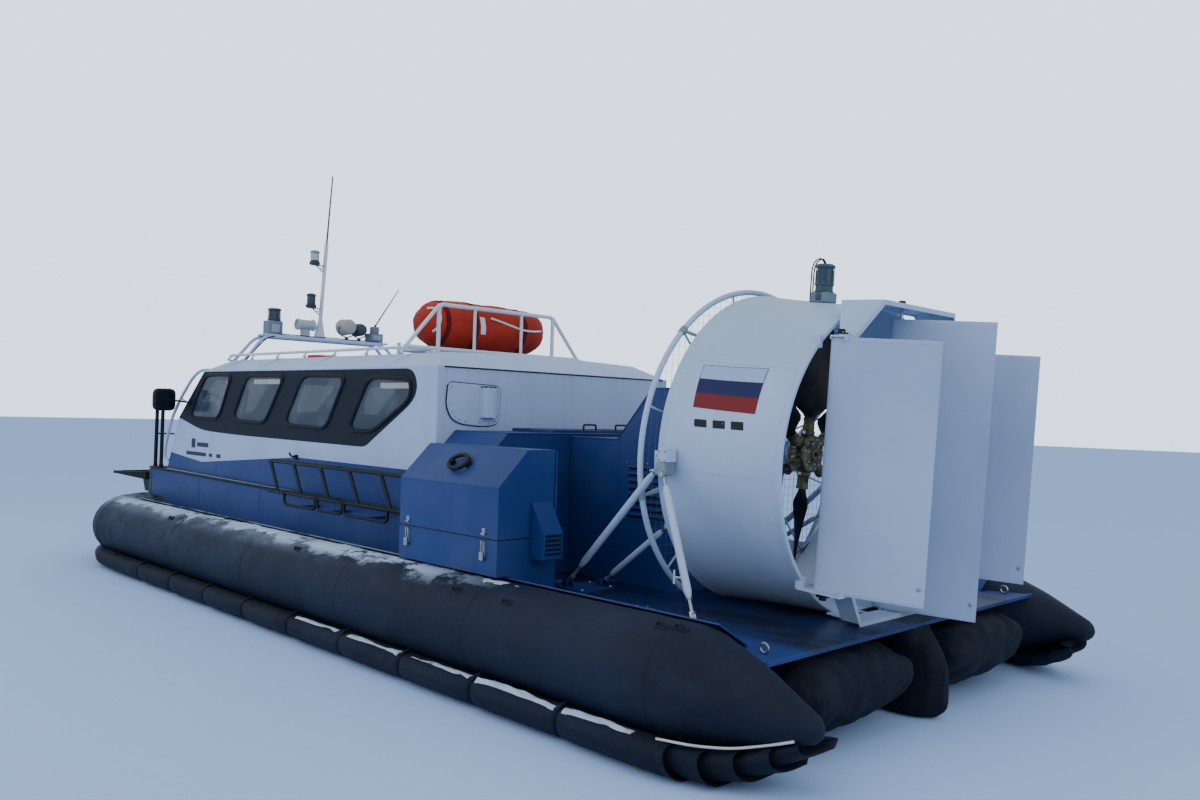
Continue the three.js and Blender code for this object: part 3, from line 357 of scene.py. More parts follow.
def metal(name, colour, roughness=0.35, metallic=1.0, patina=None):
    s = Shader(name, colour, roughness, metallic)
    s.vary(30, 1.12, 0.8)
    if patina:
        s.tint(s.ramp(s.noise(18, 6), 0.48, 0.6), patina, 0.7)
    s.bump(s.noise(120, 3), 0.0004)
    return s.finish()


def plastic(name, colour, roughness=0.5, grain=300, depth=0.0003, scuff=0.15):
    s = Shader(name, colour, roughness, Specular_IOR_Level=0.3)
    s.vary(3, 1.15, 0.85)
    s.tint(s.ramp(s.noise(14, 7), 0.56, 0.72, 0.0, scuff), rgb(110, 118, 130), 0.75)
    s.bump(s.noise(grain, 2), depth)
    return s.finish()


BLUE = paint("hull_blue_paint", rgb(32, 56, 112), dust=0.03, streak=0.06)
WHITE = paint("cabin_white_paint", rgb(172, 190, 220), dust=0.03, streak=0.10)
RAIL_WHITE = paint("rail_white_paint", rgb(206, 212, 222), roughness=0.45, dust=0.0, streak=0.04)
NAVY = paint("window_band_paint", rgb(5, 12, 28), roughness=0.6, dust=0.0, streak=0.03)
TUBE = rubber_fabric("tube_fabric", rgb(21, 29, 46), frost=1.0)
SKIRT = rubber_fabric("skirt_fabric", rgb(18, 26, 42), roughness=0.7, wrinkle=0.02, bow=1.0)
BAG = rubber_fabric("stern_bag_fabric", rgb(14, 19, 33), roughness=0.75, wrinkle=0.04)
BLACK = plastic("black_steel_paint", rgb(9, 11, 17), 0.5, scuff=0.04)
GASKET = plastic("window_gasket_rubber", rgb(14, 15, 18), 0.55)
STEEL = metal("zinc_steel", rgb(170, 174, 178), 0.38)
DECK = paint("deck_blue_paint", rgb(17, 36, 80), roughness=0.4, dust=0.03, streak=0.0, wear_and_painted_light=0.85)
BRONZE = metal("hub_bronze", rgb(104, 98, 66), 0.5, 0.55, rgb(50, 58, 50))
BLADE = plastic("blade_composite", rgb(8, 10, 14), 0.4, scuff=0.05)
GREY = paint("grey_fitting_paint", rgb(98, 108, 116), roughness=0.5)
ROPE = plastic("white_rope", rgb(214, 216, 214), 0.85, 420, 0.001, 0.05)
DUCT_WHITE = paint("duct_white_paint", rgb(176, 194, 218), roughness=0.42, dust=0.03, streak=0.08)
RUDDER_WHITE = paint("rudder_white_paint", rgb(168, 184, 210), roughness=0.45, dust=0.03, streak=0.06)
WHITE_MARK = paint("panel_white", rgb(160, 178, 214), roughness=0.4, dust=0.0, streak=0.0)
BLUE_MARK = paint("panel_blue", rgb(6, 18, 74), roughness=0.5, dust=0.0, streak=0.0)
RED_MARK = paint("panel_red", rgb(120, 8, 16), roughness=0.5, dust=0.0, streak=0.0)
NAVY_MARK = paint("panel_black", rgb(10, 13, 24), roughness=0.5, dust=0.0, streak=0.0)
GUARD_GREEN = paint("guard_clamp_paint", rgb(120, 142, 140), roughness=0.5)
ZINC_PLATE = metal("zinc_plate", rgb(140, 152, 158), 0.5, 0.6)
LANTERN = paint("lantern_grey_paint", rgb(58, 78, 88), roughness=0.45, dust=0.03)
LANTERN_BASE = paint("lantern_base_paint", rgb(104, 124, 134), roughness=0.45, dust=0.03)
MESH_WIRE = metal("guard_mesh_wire", rgb(92, 108, 134), 0.5, 0.4)
LENS = plastic("lantern_lens", rgb(46, 66, 84), 0.2)
NAME_GREY = paint("name_bar_grey", rgb(38, 44, 64), roughness=0.5, dust=0.0, streak=0.0)
RAFT_RED = rubber_fabric("raft_red_cover", rgb(172, 44, 24), roughness=0.55, wrinkle=0.012)
RAFT_STRAP = rubber_fabric("raft_strap_webbing", rgb(96, 18, 14), roughness=0.8, wrinkle=0.002)
GEAR_GREY = paint("gear_grey_paint", rgb(112, 126, 138), roughness=0.5)
GEAR_LIGHT = paint("gear_plate_paint", rgb(150, 162, 176), roughness=0.5)
GEAR_DARK = paint("gear_dark_paint", rgb(48, 56, 62), roughness=0.5)
HORN_WHITE = plastic("horn_white_plastic", rgb(178, 188, 200), 0.4, 200, 0.0002)
BEIGE = paint("searchlight_beige_paint", rgb(168, 168, 158), roughness=0.5)
MAST_GREY = metal("whip_aerial_grey", rgb(86, 92, 100), 0.5, 0.2)
LENS_CLEAR = plastic("clear_lamp_lens", rgb(176, 184, 190), 0.15)
BLACK_PLASTIC = plastic("black_moulded_plastic", rgb(12, 13, 16), 0.5)
MIRROR_GLASS = metal("mirror_silvering", rgb(62, 74, 86), 0.2)
SEAT = rubber_fabric("seat_cloth", rgb(44, 52, 64), roughness=0.85, wrinkle=0.004)
SEAT_DARK = rubber_fabric("seat_base_vinyl", rgb(26, 28, 34), roughness=0.7, wrinkle=0.002)
PINK_CLOTH = rubber_fabric("folded_red_cloth", rgb(176, 84, 84), roughness=0.9, wrinkle=0.01)
CONSOLE = plastic("console_grey_plastic", rgb(40, 44, 50), 0.55)
ENGINE = metal("engine_grey_iron", rgb(70, 74, 78), 0.6, 0.5, rgb(52, 44, 36))
# The panes' grey base colour is partly the glass's own tint and partly a painted reflection of the sky; a
# faint pale mottling of frost over it
GLASS = Shader("glass_tint_and_painted_reflection", rgb(56, 72, 86), 0.10, Alpha=0.62)
GLASS.vary(1.5, 1.1, 0.85)
GLASS = GLASS.tint(GLASS.ramp(GLASS.noise(3.0, 5), 0.5, 0.7, 0.0, 0.12), SNOW, 0.3).finish()
LAMP_GLOW = Shader("ceiling_light_diffuser", rgb(214, 220, 226), 0.5, Emission_Strength=2.2)
LAMP_GLOW.shader.inputs["Emission Color"].default_value = rgb(226, 232, 240)
LAMP_GLOW = LAMP_GLOW.finish()
FROST = Shader("frost", SNOW, 0.85, Subsurface_Weight=0.1)
FROST = FROST.vary(9, 1.05, 0.86).bump(FROST.noise(60, 4), 0.006).finish()


class Piece:
    """One object made of many shapes, each with its own material."""

    def __init__(self, name):
        self.name = name
        self.verts = []
        self.faces = []
        self.slots = []
        self.indices = []

    def add(self, verts, faces, material, place=None):
        base = len(self.verts)
        self.verts += [place @ Vector(v) for v in verts] if place else [Vector(v) for v in verts]
        self.faces += [tuple(base + i for i in face) for face in faces]
        if material not in self.slots:
            self.slots.append(material)
        self.indices += [self.slots.index(material)] * len(faces)

    def skin(self, rings, material, ends=True, loop=False, closed=True, place=None):
        """Faces through rings that run the same way; closed joins a ring's last point to its first."""
        count = len(rings[0])
        faces = []
        span = len(rings) if loop else len(rings) - 1
        for i in range(span):
            low, high = i * count, ((i + 1) % len(rings)) * count
            for k in range(count if closed else count - 1):
                after = (k + 1) % count
                faces.append((low + k, low + after, high + after, high + k))
        if ends and not loop:
            faces.append(tuple(range(count))[::-1])
            last = (len(rings) - 1) * count
            faces.append(tuple(last + k for k in range(count)))
        self.add([p for ring in rings for p in ring], faces, material, place)

    def tube(self, points, radius, material, sides=10, bend=0.0, loop=False, place=None, radii=None):
        path = rounded_path([Vector(p) for p in points], bend) if bend else [Vector(p) for p in points]
        self.skin(swept(path, radii or radius, sides, loop), material, ends=not loop, loop=loop, place=place)

    def box(self, low, high, material, edge=0.003, place=None):
        low, high = Vector(low), Vector(high)
        half = (high - low) / 2
        middle = (high + low) / 2
        edge = min(edge, 0.45 * min(half))
        verts, index = [], {}
        for sx in (-1, 1):
            for sy in (-1, 1):
                for sz in (-1, 1):
                    signs = (sx, sy, sz)
                    for flat in range(3):
                        index[signs, flat] = len(verts)
                        out = [h - (0 if k == flat else edge) for k, h in enumerate(half)]
                        verts.append(middle + Vector(s * h for s, h in zip(signs, out)))
        faces = []
        for flat in range(3):
            a, b = [k for k in range(3) if k != flat]
            for s in (-1, 1):
                quad = []
                for u, v in rect(-1, 1, -1, 1):
                    signs = [0, 0, 0]
                    signs[flat], signs[a], signs[b] = s, u, v
                    quad.append(index[tuple(signs), flat])
                turned = (flat != 1) == (s > 0)
                faces.append(tuple(quad if turned else quad[::-1]))
        for along in range(3):
            a, b = [k for k in range(3) if k != along]
            for u in (-1, 1):
                for v in (-1, 1):
                    def corner(end, flat):
                        signs = [0, 0, 0]
                        signs[along], signs[a], signs[b] = end, u, v
                        return index[tuple(signs), flat]
                    faces.append((corner(-1, a), corner(1, a), corner(1, b), corner(-1, b)))
        for signs in [(x, y, z) for x in (-1, 1) for y in (-1, 1) for z in (-1, 1)]:
            faces.append(tuple(index[signs, k] for k in range(3)))
        self.add(verts, outward(verts, faces, middle), material, place)

    def block(self, x0, x1, y, half, z0, z1, material, edge=0.003):
        """A box between two stations and two heights, with y in its middle."""
        self.box(at(x0, y - half, z0), at(x1, y + half, z1), material, edge)

    def slab(self, a, b, material, edge=0.003):
        """A box between two opposite corners, given in any order."""
        self.box(map(min, a, b), map(max, a, b), material, edge)

    def bolts(self, places, normal, material, radius, height, sides=6):
        for place in places:
            self.dome(place, normal, radius, material, height, sides)

    def lathe(self, profile, material, sides=48, place=None):
        """Turns (x, r) points about the x axis. A closed profile gives a hollow body."""
        rings = []
        for i in range(sides):
            turn = math.tau * i / sides
            rings.append([(x, r * math.cos(turn), r * math.sin(turn)) for x, r in profile])
        self.skin(rings, material, loop=True, place=place)

    def dome(self, centre, normal, radius, material, height=0.5, sides=6):
        """A rivet or bolt head."""
        normal = Vector(normal).normalized()
        side = normal.orthogonal().normalized()
        other = normal.cross(side)
        verts = []
        for r, h in ((1, -0.1), (0.75, 0.62)):
            for k in range(sides):
                turn = math.tau * k / sides
                verts.append(Vector(centre) + radius * (
                    r * (side * math.cos(turn) + other * math.sin(turn)) + normal * h * height))
        verts.append(Vector(centre) + normal * radius * height)
        faces = [(k, (k + 1) % sides, sides + (k + 1) % sides, sides + k) for k in range(sides)]
        faces += [(sides + k, sides + (k + 1) % sides, 2 * sides) for k in range(sides)]
        self.add(verts, faces, material)

    def plate(self, loops, low, high, material, place=None, edge=0.0):
        """A flat plate from z = low to high. The first loop is its outline, the rest are holes."""
        verts, faces = [], []
        loops = [loop if (area(loop) > 0) == (i == 0) else loop[::-1] for i, loop in enumerate(loops)]
        levels = [(low, 0.0), (high - edge, 0.0), (high, edge)] if edge else [(low, 0.0), (high, 0.0)]
        starts = []
        for z, inset in levels:
            starts.append(len(verts))
            for loop in loops:
                verts += [(x, y, z) for x, y in inset_loop(loop, inset)]
        offset = 0
        for loop in loops:
            n = len(loop)
            for base, above in zip(starts, starts[1:]):
                for k in range(n):
                    after = (k + 1) % n
                    faces.append((base + offset + k, base + offset + after, above + offset + after,
                                  above + offset + k))
            offset += n
        flat = tessellate_polygon([[Vector((x, y, 0)) for x, y in loop] for loop in loops])
        for start, up in ((starts[0], False), (starts[-1], True)):
            for tri in flat:
                a, b, c = (Vector(verts[start + i]) for i in tri)
                facing_up = (b - a).cross(c - a).z > 0
                tri = tuple(start + i for i in tri)
                faces.append(tri if facing_up == up else tri[::-1])
        self.add(verts, faces, material, place)

    def done(self, body=BODY, replaces=(), sharp=35):
        mesh = bpy.data.meshes.new(self.name)
        mesh.from_pydata(self.verts, [], self.faces)
        for material in self.slots:
            mesh.materials.append(material)
        mesh.polygons.foreach_set("material_index", self.indices)
        mesh.polygons.foreach_set("use_smooth", [True] * len(self.faces))
        mesh.update()
        mesh.set_sharp_from_angle(angle=math.radians(sharp))
        piece = bpy.data.objects.new(self.name, mesh)
        bpy.context.collection.objects.link(piece)
        if replaces:
            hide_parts(*replaces)
        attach(piece, body)
        return piece


def area(loop):
    return sum(x0 * y1 - x1 * y0 for (x0, y0), (x1, y1) in zip(loop, loop[1:] + loop[:1])) / 2


def inset_loop(loop, distance):
    """Moves an anticlockwise outline inwards, and a clockwise hole outwards into the material."""
    if not distance:
        return loop
    moved = []
    for i, here in enumerate(loop):
        before, after = Vector(loop[i - 1]), Vector(loop[(i + 1) % len(loop)])
        a = (Vector(here) - before).normalized()
        b = (after - Vector(here)).normalized()
        inward = Vector((-a.y - b.y, a.x + b.x))
        inward /= max(0.4, 1 + a.dot(b))
        moved.append((here[0] + inward.x * distance, here[1] + inward.y * distance))
    return moved


def outward(verts, faces, middle):
    turned = []
    for face in faces:
        a, b, c = (verts[i] for i in face[:3])
        away = (b - a).cross(c - a).dot((a + b + c) / 3 - middle) > 0
        turned.append(face if away else face[::-1])
    return turned


def rounded_path(points, radius, steps=5):
    """Replaces each inner corner by a curve that starts at most radius before it."""
    path = [points[0]]
    for before, corner, after in zip(points, points[1:], points[2:]):
        back = min(radius, (before - corner).length * 0.48)
        on = min(radius, (after - corner).length * 0.48)
        start = corner + (before - corner).normalized() * back
        end = corner + (after - corner).normalized() * on
        for k in range(steps + 1):
            t = k / steps
            path.append(start * (1 - t) ** 2 + corner * 2 * t * (1 - t) + end * t ** 2)
    path.append(points[-1])
    return path


def rounded_loop(points, radius, steps=4):
    """Rounds the corners of a closed 2D outline. radius may be one number or one for each corner."""
    radii = radius if isinstance(radius, (list, tuple)) else [radius] * len(points)
    path = []
    for i, corner in enumerate(points):
        corner = Vector(corner)
        before, after = Vector(points[i - 1]), Vector(points[(i + 1) % len(points)])
        back = min(radii[i], (before - corner).length * 0.48)
        on = min(radii[i], (after - corner).length * 0.48)
        start = corner + (before - corner).normalized() * back
        end = corner + (after - corner).normalized() * on
        for k in range(steps + 1):
            t = k / steps
            p = start * (1 - t) ** 2 + corner * 2 * t * (1 - t) + end * t ** 2
            path.append((p.x, p.y))
    return path


def swept(path, radius, sides, loop=False):
    """Rings round a path; radius may be a list with one value a point."""
    count = len(path)
    radii = radius if isinstance(radius, list) else [radius] * count
    heads = []
    for i in range(count):
        before = path[i - 1] if i or loop else path[0]
        after = path[(i + 1) % count] if i + 1 < count or loop else path[-1]
        heads.append((after - before).normalized())
    side = heads[0].orthogonal().normalized()
    rings = []
    for point, head, r in zip(path, heads, radii):
        side = (side - head * side.dot(head)).normalized()
        other = head.cross(side)
        rings.append([point + r * (side * c + other * s) for c, s in circle(1, sides)])
    return rings


def finish_cad(material, *names):
    """Gives CAD nodes that stay in view their finish."""
    for name in names:
        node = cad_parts[name]
        node.data.materials.clear()
        node.data.materials.append(material)


# Floor


def add_floor():
    mesh = bpy.data.meshes.new("studio_floor")
    wide = 80
    mesh.from_pydata([(-wide, -wide, 0), (wide, -wide, 0), (wide, wide, 0), (-wide, wide, 0)], [],
                     [(0, 1, 2, 3)])
    floor = bpy.data.objects.new("studio_floor", mesh)
    s = Shader("floor_matt", rgb(177, 205, 248), 0.9, Specular_IOR_Level=0.1)
    s.bump(s.noise(3, 4), 0.01)
    mesh.materials.append(s.finish())
    bpy.context.collection.objects.link(floor)


add_floor()


# Inflated tubes

TUBE_Y = 1.530
TUBE_Z = 0.357
TUBE_R = 0.270
TUBE_END = 7.750
CORNER_R = 0.580
# Rings of a side tube: station, radius, height of the centre
TAIL = (
    (0.000, 0.014, 0.305),
    (0.012, 0.038, 0.306),
    (0.035, 0.060, 0.308),
    (0.330, 0.178, 0.336),
    (0.640, TUBE_R, TUBE_Z),
    (TUBE_END, TUBE_R, TUBE_Z),
)
SEAM_PITCH = 1.330
SEAM_FIRST = 0.780
SEAM_HALF = 0.030
TUBE_SIDES = 56


def table(rows, s, column, blur=0.0):
    """Looks a value up between the rows of a table, with its corners rounded over the blur."""
    def at_one(x):
        for low, high in zip(rows, rows[1:]):
            if x <= high[0]:
                t = max(0.0, (x - low[0]) / (high[0] - low[0]))
                return low[column] * (1 - t) + high[column] * t
        return rows[-1][column]

    if not blur:
        return at_one(s)
    return sum(at_one(s + blur * k / 2) for k in (-2, -1, 0, 1, 2)) / 5


def steps(start, end, pitch):
    count = max(1, round((end - start) / pitch))
    return [start + (end - start) * k / count for k in range(count + 1)]


def hoop(centre, heading, radius, sides, swell=0.012):
    """A ring round a tube that runs along the heading in plan, uneven as filled fabric is."""
    across = Vector((-math.sin(heading), math.cos(heading), 0))
    ring = []
    for k in range(sides):
        turn = math.tau * k / sides
        spoke = across * math.cos(turn) + Vector((0, 0, math.sin(turn)))
        point = centre + spoke * radius
        uneven = 1 + swell * noise.noise(point * 1.6) + swell * 0.35 * noise.noise(point * 6.5)
        ring.append(centre + spoke * radius * uneven)
    return ring


def seam_bands(start, end):
    bands = []
    s = SEAM_FIRST
    while s < end:
        if s > start + 0.1:
            bands.append(s)
        s += SEAM_PITCH
    return bands


def add_side_tube(side, name):
    piece = Piece(f"{name}_tube_fabric")
    bands = seam_bands(0.2, TUBE_END - 0.1)
    edges = [b + k for b in bands for k in (-SEAM_HALF - 0.0015, -SEAM_HALF, SEAM_HALF, SEAM_HALF + 0.0015)]
    stations = sorted(set(steps(0.05, TUBE_END, 0.05) + edges + [0.0, 0.006, 0.012, 0.022, 0.035]))
    rings = []
    for s in stations:
        radius = table(TAIL, s, 1, 0.05 if s > 0.1 else 0)
        height = table(TAIL, s, 2, 0.05 if s > 0.1 else 0)
        if any(abs(s - b) < SEAM_HALF + 0.001 for b in bands):
            radius += 0.002
        near = min([abs(s - b) for b in bands] + [9])
        radius -= 0.003 * math.exp(-(near / 0.12) ** 2)
        rings.append(hoop(at(s, side * TUBE_Y, height), 0, radius, TUBE_SIDES))
    piece.skin(rings, TUBE)
    # Lacing pads on the shoulder: station, turn from level
    for s, turn in ((0.70, 73), (0.80, 70), (1.82, 52), (2.26, 52), (4.1, 55), (6.3, 55)):
        a = math.radians(turn)
        spoke = Vector((0, side * math.cos(a), math.sin(a)))
        foot = at(s, side * TUBE_Y, TUBE_Z) + spoke * TUBE_R
        down = Vector((0, side * math.sin(a), -math.cos(a)))
        turn_to = axes((1, 0, 0), down, spoke)
        place = Matrix.Translation(foot) @ turn_to
        pad = rounded_loop(rect(-0.045, 0.045, -0.02, 0.02), 0.018)
        piece.plate([pad], -0.008, 0.004, SKIRT, place, edge=0.002)
        piece.tube([(-0.03, 0, 0.0), (-0.018, 0, 0.022), (0.018, 0, 0.022), (0.03, 0, 0.0)], 0.0045, BLACK, 8,
                   bend=0.012, place=place)
    return piece.done(replaces=[f"side_tube_{name}"], sharp=50)


def bow_path(radius_out, pitch):
    """Stations, sides and headings round the bow from port, on a line radius_out outside the tube's."""
    middle = Vector((TUBE_END, TUBE_Y - CORNER_R))
    reach = CORNER_R + radius_out
    points = []
    turns = steps(0, math.pi / 2, pitch / reach)
    for turn in turns:
        points.append((middle.x + reach * math.sin(turn), middle.y + reach * math.cos(turn), turn))
    for y in steps(-middle.y, middle.y, pitch)[::-1][1:-1]:
        points.append((middle.x + reach, y, math.pi / 2))
    for turn in turns[::-1]:
        points.append((middle.x + reach * math.sin(turn), -middle.y - reach * math.cos(turn), math.pi - turn))
    return points


def add_bow_tube():
    piece = Piece("bow_tube_fabric")
    rings = []
    for x, y, turn in bow_path(0, 0.045):
        rings.append(hoop(at(x + 0.0003, y, TUBE_Z), -turn, TUBE_R, TUBE_SIDES, 0.008))
    piece.skin(rings, TUBE)
    for s_y in (1, -1):
        rings = [hoop(at(TUBE_END + 0.002 + k * 0.05, s_y * TUBE_Y, TUBE_Z), 0, TUBE_R + h, TUBE_SIDES, 0.004)
                 for k, h in ((0, 0.0005), (0.05, 0.003), (0.95, 0.003), (1, 0.0005))]
        piece.skin(rings, TUBE, ends=False)
    return piece.done(replaces=["bow_tube"], sharp=50)


# Skirt fingers. The face is listed from the inner foot outwards, over the ledge and back under the tube:
# distance inwards from the outermost point, height.
FACE = ((0.300, 0.060), (0.262, 0.002), (0.160, 0.000), (0.105, 0.004), (0.062, 0.018), (0.030, 0.038),
        (0.010, 0.062), (0.002, 0.080), (0.005, 0.086), (0.001, 0.093), (0.000, 0.106), (0.003, 0.124),
        (0.012, 0.142), (0.028, 0.155), (0.050, 0.162), (0.078, 0.166), (0.108, 0.166), (0.150, 0.148),
        (0.200, 0.114), (0.250, 0.094), (0.300, 0.084))
FACE_TOP = 0.166
FINGER_PITCH = 0.665
PINCH = 0.024
# The side rows of fingers: distance out from the middle, aft and forward end, first seam
SKIRT_Y = 1.859
SKIRT_AFT = 0.610
SKIRT_FRONT = 7.174
SKIRT_SEAM = 0.610


def pinched(d):
    """How far the face is drawn in, at a distance d from the nearest seam between fingers."""
    return PINCH * math.exp(-(d / 0.011) ** 2) + 0.012 * math.exp(-(d / 0.075) ** 2)


def finger_ring(foot, outward, inset, low=0.0, top=FACE_TOP, uneven=0.004):
    """A section through the skirt; foot is its outermost point on the ground, outward leads away."""
    ring = []
    for back, height in FACE:
        free = min(1.0, max(0.0, 1 - back / 0.13))
        z = low + height * (top - low) / FACE_TOP
        point = foot - outward * (back + inset * free)
        point = Vector((point.x, point.y, z))
        wrinkle = noise.noise(Vector((point.x * 4, point.y * 4, z * 9))) * uneven
        ring.append(point + outward * (wrinkle - uneven) * free)
    return ring


def add_side_skirt(side, name):
    piece = Piece(f"{name}_skirt_fingers")
    outward = Vector((0, side, 0))
    seams = [SKIRT_SEAM + k * FINGER_PITCH for k in range(11)]
    stations = set(steps(SKIRT_AFT, SKIRT_FRONT, 0.035))
    for seam in seams:
        stations |= {seam + k for k in (-0.03, -0.018, -0.010, -0.004, 0.0, 0.004, 0.010, 0.018, 0.03)}
    rings = []
    for s in sorted(x for x in stations if SKIRT_AFT <= x <= SKIRT_FRONT):
        near = min(abs(s - seam) for seam in seams)
        rings.append(finger_ring(at(s, side * SKIRT_Y, 0), outward, pinched(near)))
    piece.skin(rings, SKIRT)
    # Tabs that hold each seam up to the tube
    for seam in seams[1:]:
        place = at(seam, side * 1.80, 0.165)
        piece.tube([place + Vector((0, side * 0.012, -0.012)), place + Vector((0.006, -side * 0.01, 0.01)),
                    place + Vector((0, -side * 0.035, 0.012))], 0.011, SKIRT, 8, bend=0.02)
    # Open fingers under the tail, each tucked behind the one before it: front and aft station, outer y there,
    # lower edge there, ledge height there
    leaves = (
        (0.700, 0.545, 1.846, 1.852, 0.000, 0.004, 0.166, 0.162),
        (0.620, 0.395, 1.815, 1.800, 0.000, 0.012, 0.150, 0.165),
        (0.470, 0.270, 1.770, 1.725, 0.006, 0.050, 0.150, 0.185),
        (0.330, 0.150, 1.690, 1.655, 0.045, 0.110, 0.165, 0.220),
        (0.200, 0.055, 1.630, 1.595, 0.110, 0.190, 0.210, 0.262),
    )
    for front, aft, y0, y1, low0, low1, top0, top1 in leaves:
        rings = []
        for t in steps(0, 1, 0.1):
            flare = 0.014 * t ** 3
            s = front + (aft - front) * t
            y = y0 + (y1 - y0) * t + flare
            low = low0 + (low1 - low0) * t
            top = top0 + (top1 - top0) * t
            lean = 0.05 * t
            ring = finger_ring(at(s, side * min(y, 1.858), 0), outward, 0.0, low, top, 0.008)
            # The free edge sweeps aft towards its foot
            rings.append([p + Vector((lean * (p.z - low) / 0.17, 0, 0)) for p in ring])
        middle = sum(rings[-1], Vector()) / len(rings[-1])
        for inset, deep in ((0.94, 0.002), (0.90, 0.03), (0.55, 0.09)):
            rings.append([middle + (p - middle) * inset + Vector((deep, 0, 0)) for p in rings[10]])
        piece.skin(rings, SKIRT)
    # The white edging along the ledge of the tail
    edge = sided(side, (0.66, 1.80, 0.172), (0.48, 1.76, 0.178), (0.33, 1.70, 0.192), (0.20, 1.615, 0.222),
                 (0.09, 1.60, 0.262))
    piece.tube(edge, 0.006, ROPE, 8, bend=0.06)
    return piece.done(replaces=[f"skirt_{name}"], sharp=60)


def add_bow_skirt():
    piece = Piece("bow_skirt_fingers")
    # Half of the outer line in plan, from the port row round to the middle: station, y
    outer = [Vector((7.174, 1.856)), Vector((7.50, 1.848)), Vector((7.76, 1.826)), Vector((8.12, 1.682)),
             Vector((8.375, 1.410)), Vector((8.492, 1.045)), Vector((8.512, 0.5)), Vector((8.512, 0.0))]
    whole = outer + [Vector((p.x, -p.y)) for p in outer[-2::-1]]
    path = []
    flat = [Vector((p.x, p.y, 0)) for p in whole]
    curve = rounded_path(flat, 0.14, 4)
    for a, b in zip(curve, curve[1:]):
        count = max(1, round((b - a).length / 0.03))
        path += [a + (b - a) * k / count for k in range(count)]
    path.append(curve[-1])
    total = sum((b - a).length for a, b in zip(path, path[1:]))
    pitch = total / round(total / 0.62)
    rings, run = [], 0.0
    for i, p in enumerate(path):
        before, after = path[max(0, i - 1)], path[min(len(path) - 1, i + 1)]
        heading = (after - before).normalized()
        outward = Vector((-heading.y, heading.x, 0))
        if outward.dot(p - Vector((STERN, 0, 0))) < 0:
            outward = -outward
        if i:
            run += (p - path[i - 1]).length
        near = abs((run / pitch) % 1 - 0.5)
        d = (0.5 - near) * pitch
        ends = min(run, total - run)
        inset = pinched(d) if ends > 0.1 else 0.0
        rings.append(finger_ring(at(p.x, p.y, 0), outward, inset, uneven=0.003))
    piece.skin(rings, SKIRT)
    return piece.done(replaces=["bow_skirt"], sharp=60)


def lumpy_strip(piece, stations, section, deep, seed, gap, material):
    """A closed strip that follows section(s, t) with t from 0 to 1 across, and swells out of it in lumps."""
    count = 9
    rings = []
    for s in stations:
        upper, lower = [], []
        for k in range(count):
            t = k / (count - 1)
            point, up = section(s, t)
            lump = noise.noise(Vector((s * 2.6, t * 1.5, seed))) * 0.6 + noise.noise(
                Vector((s * 11, t * 4, seed + 5))) * 0.5
            edge = min(1.0, 3.2 * min(t, 1 - t))
            height = deep * edge * (lump + 0.35) - gap
            upper.append(point + up * height)
            lower.append(point - up * (0.012 + gap))
        rings.append(upper + lower[::-1])
    piece.skin(rings, material)


def add_frost(side, name):
    """Frost on the skirt's ledge, along the coaming and on top of the tube."""
    piece = Piece(f"{name}_frost")

    def ledge(s, t):
        back = 0.034 + 0.062 * t
        return at(s, side * (SKIRT_Y - back), 0.155 + 0.011 * min(1, t * 2.5)), Vector((0, 0, 1))

    def coaming(s, t):
        y = 1.270 + 0.20 * t
        return at(s, side * y, 0.504 + (y - 1.270) * 0.577), Vector((0, -side * 0.5, 0.866))

    def tube_top(s, t):
        turn = math.radians(112 - 42 * t)
        up = Vector((0, side * math.cos(turn), math.sin(turn)))
        return at(s, side * TUBE_Y, TUBE_Z) + up * TUBE_R, up

    # One broken strip a finger: aft and forward station, height, sunk by
    for aft, front, deep, sunk in ((0.80, 1.24, 0.020, 0.002), (1.30, 1.91, 0.024, 0.002),
                                   (1.98, 2.52, 0.015, 0.005), (2.64, 3.20, 0.020, 0.003),
                                   (3.34, 3.86, 0.014, 0.005)):
        lumpy_strip(piece, steps(aft, front, 0.02), ledge, deep, aft + side, sunk, FROST)
    lumpy_strip(piece, steps(3.12, 7.68, 0.025), coaming, 0.012, 3.0 + side, 0.0015, FROST)
    for aft, front, sunk in ((1.90, 2.34, 0.0078), (2.36, 3.60, 0.0062), (3.62, 5.20, 0.0046),
                             (5.22, 7.72, 0.0064)):
        lumpy_strip(piece, steps(aft, front, 0.02), tube_top, 0.013, 6.0 + side, sunk, FROST)
    return piece.done(sharp=70)


# Loose fabric at the stern


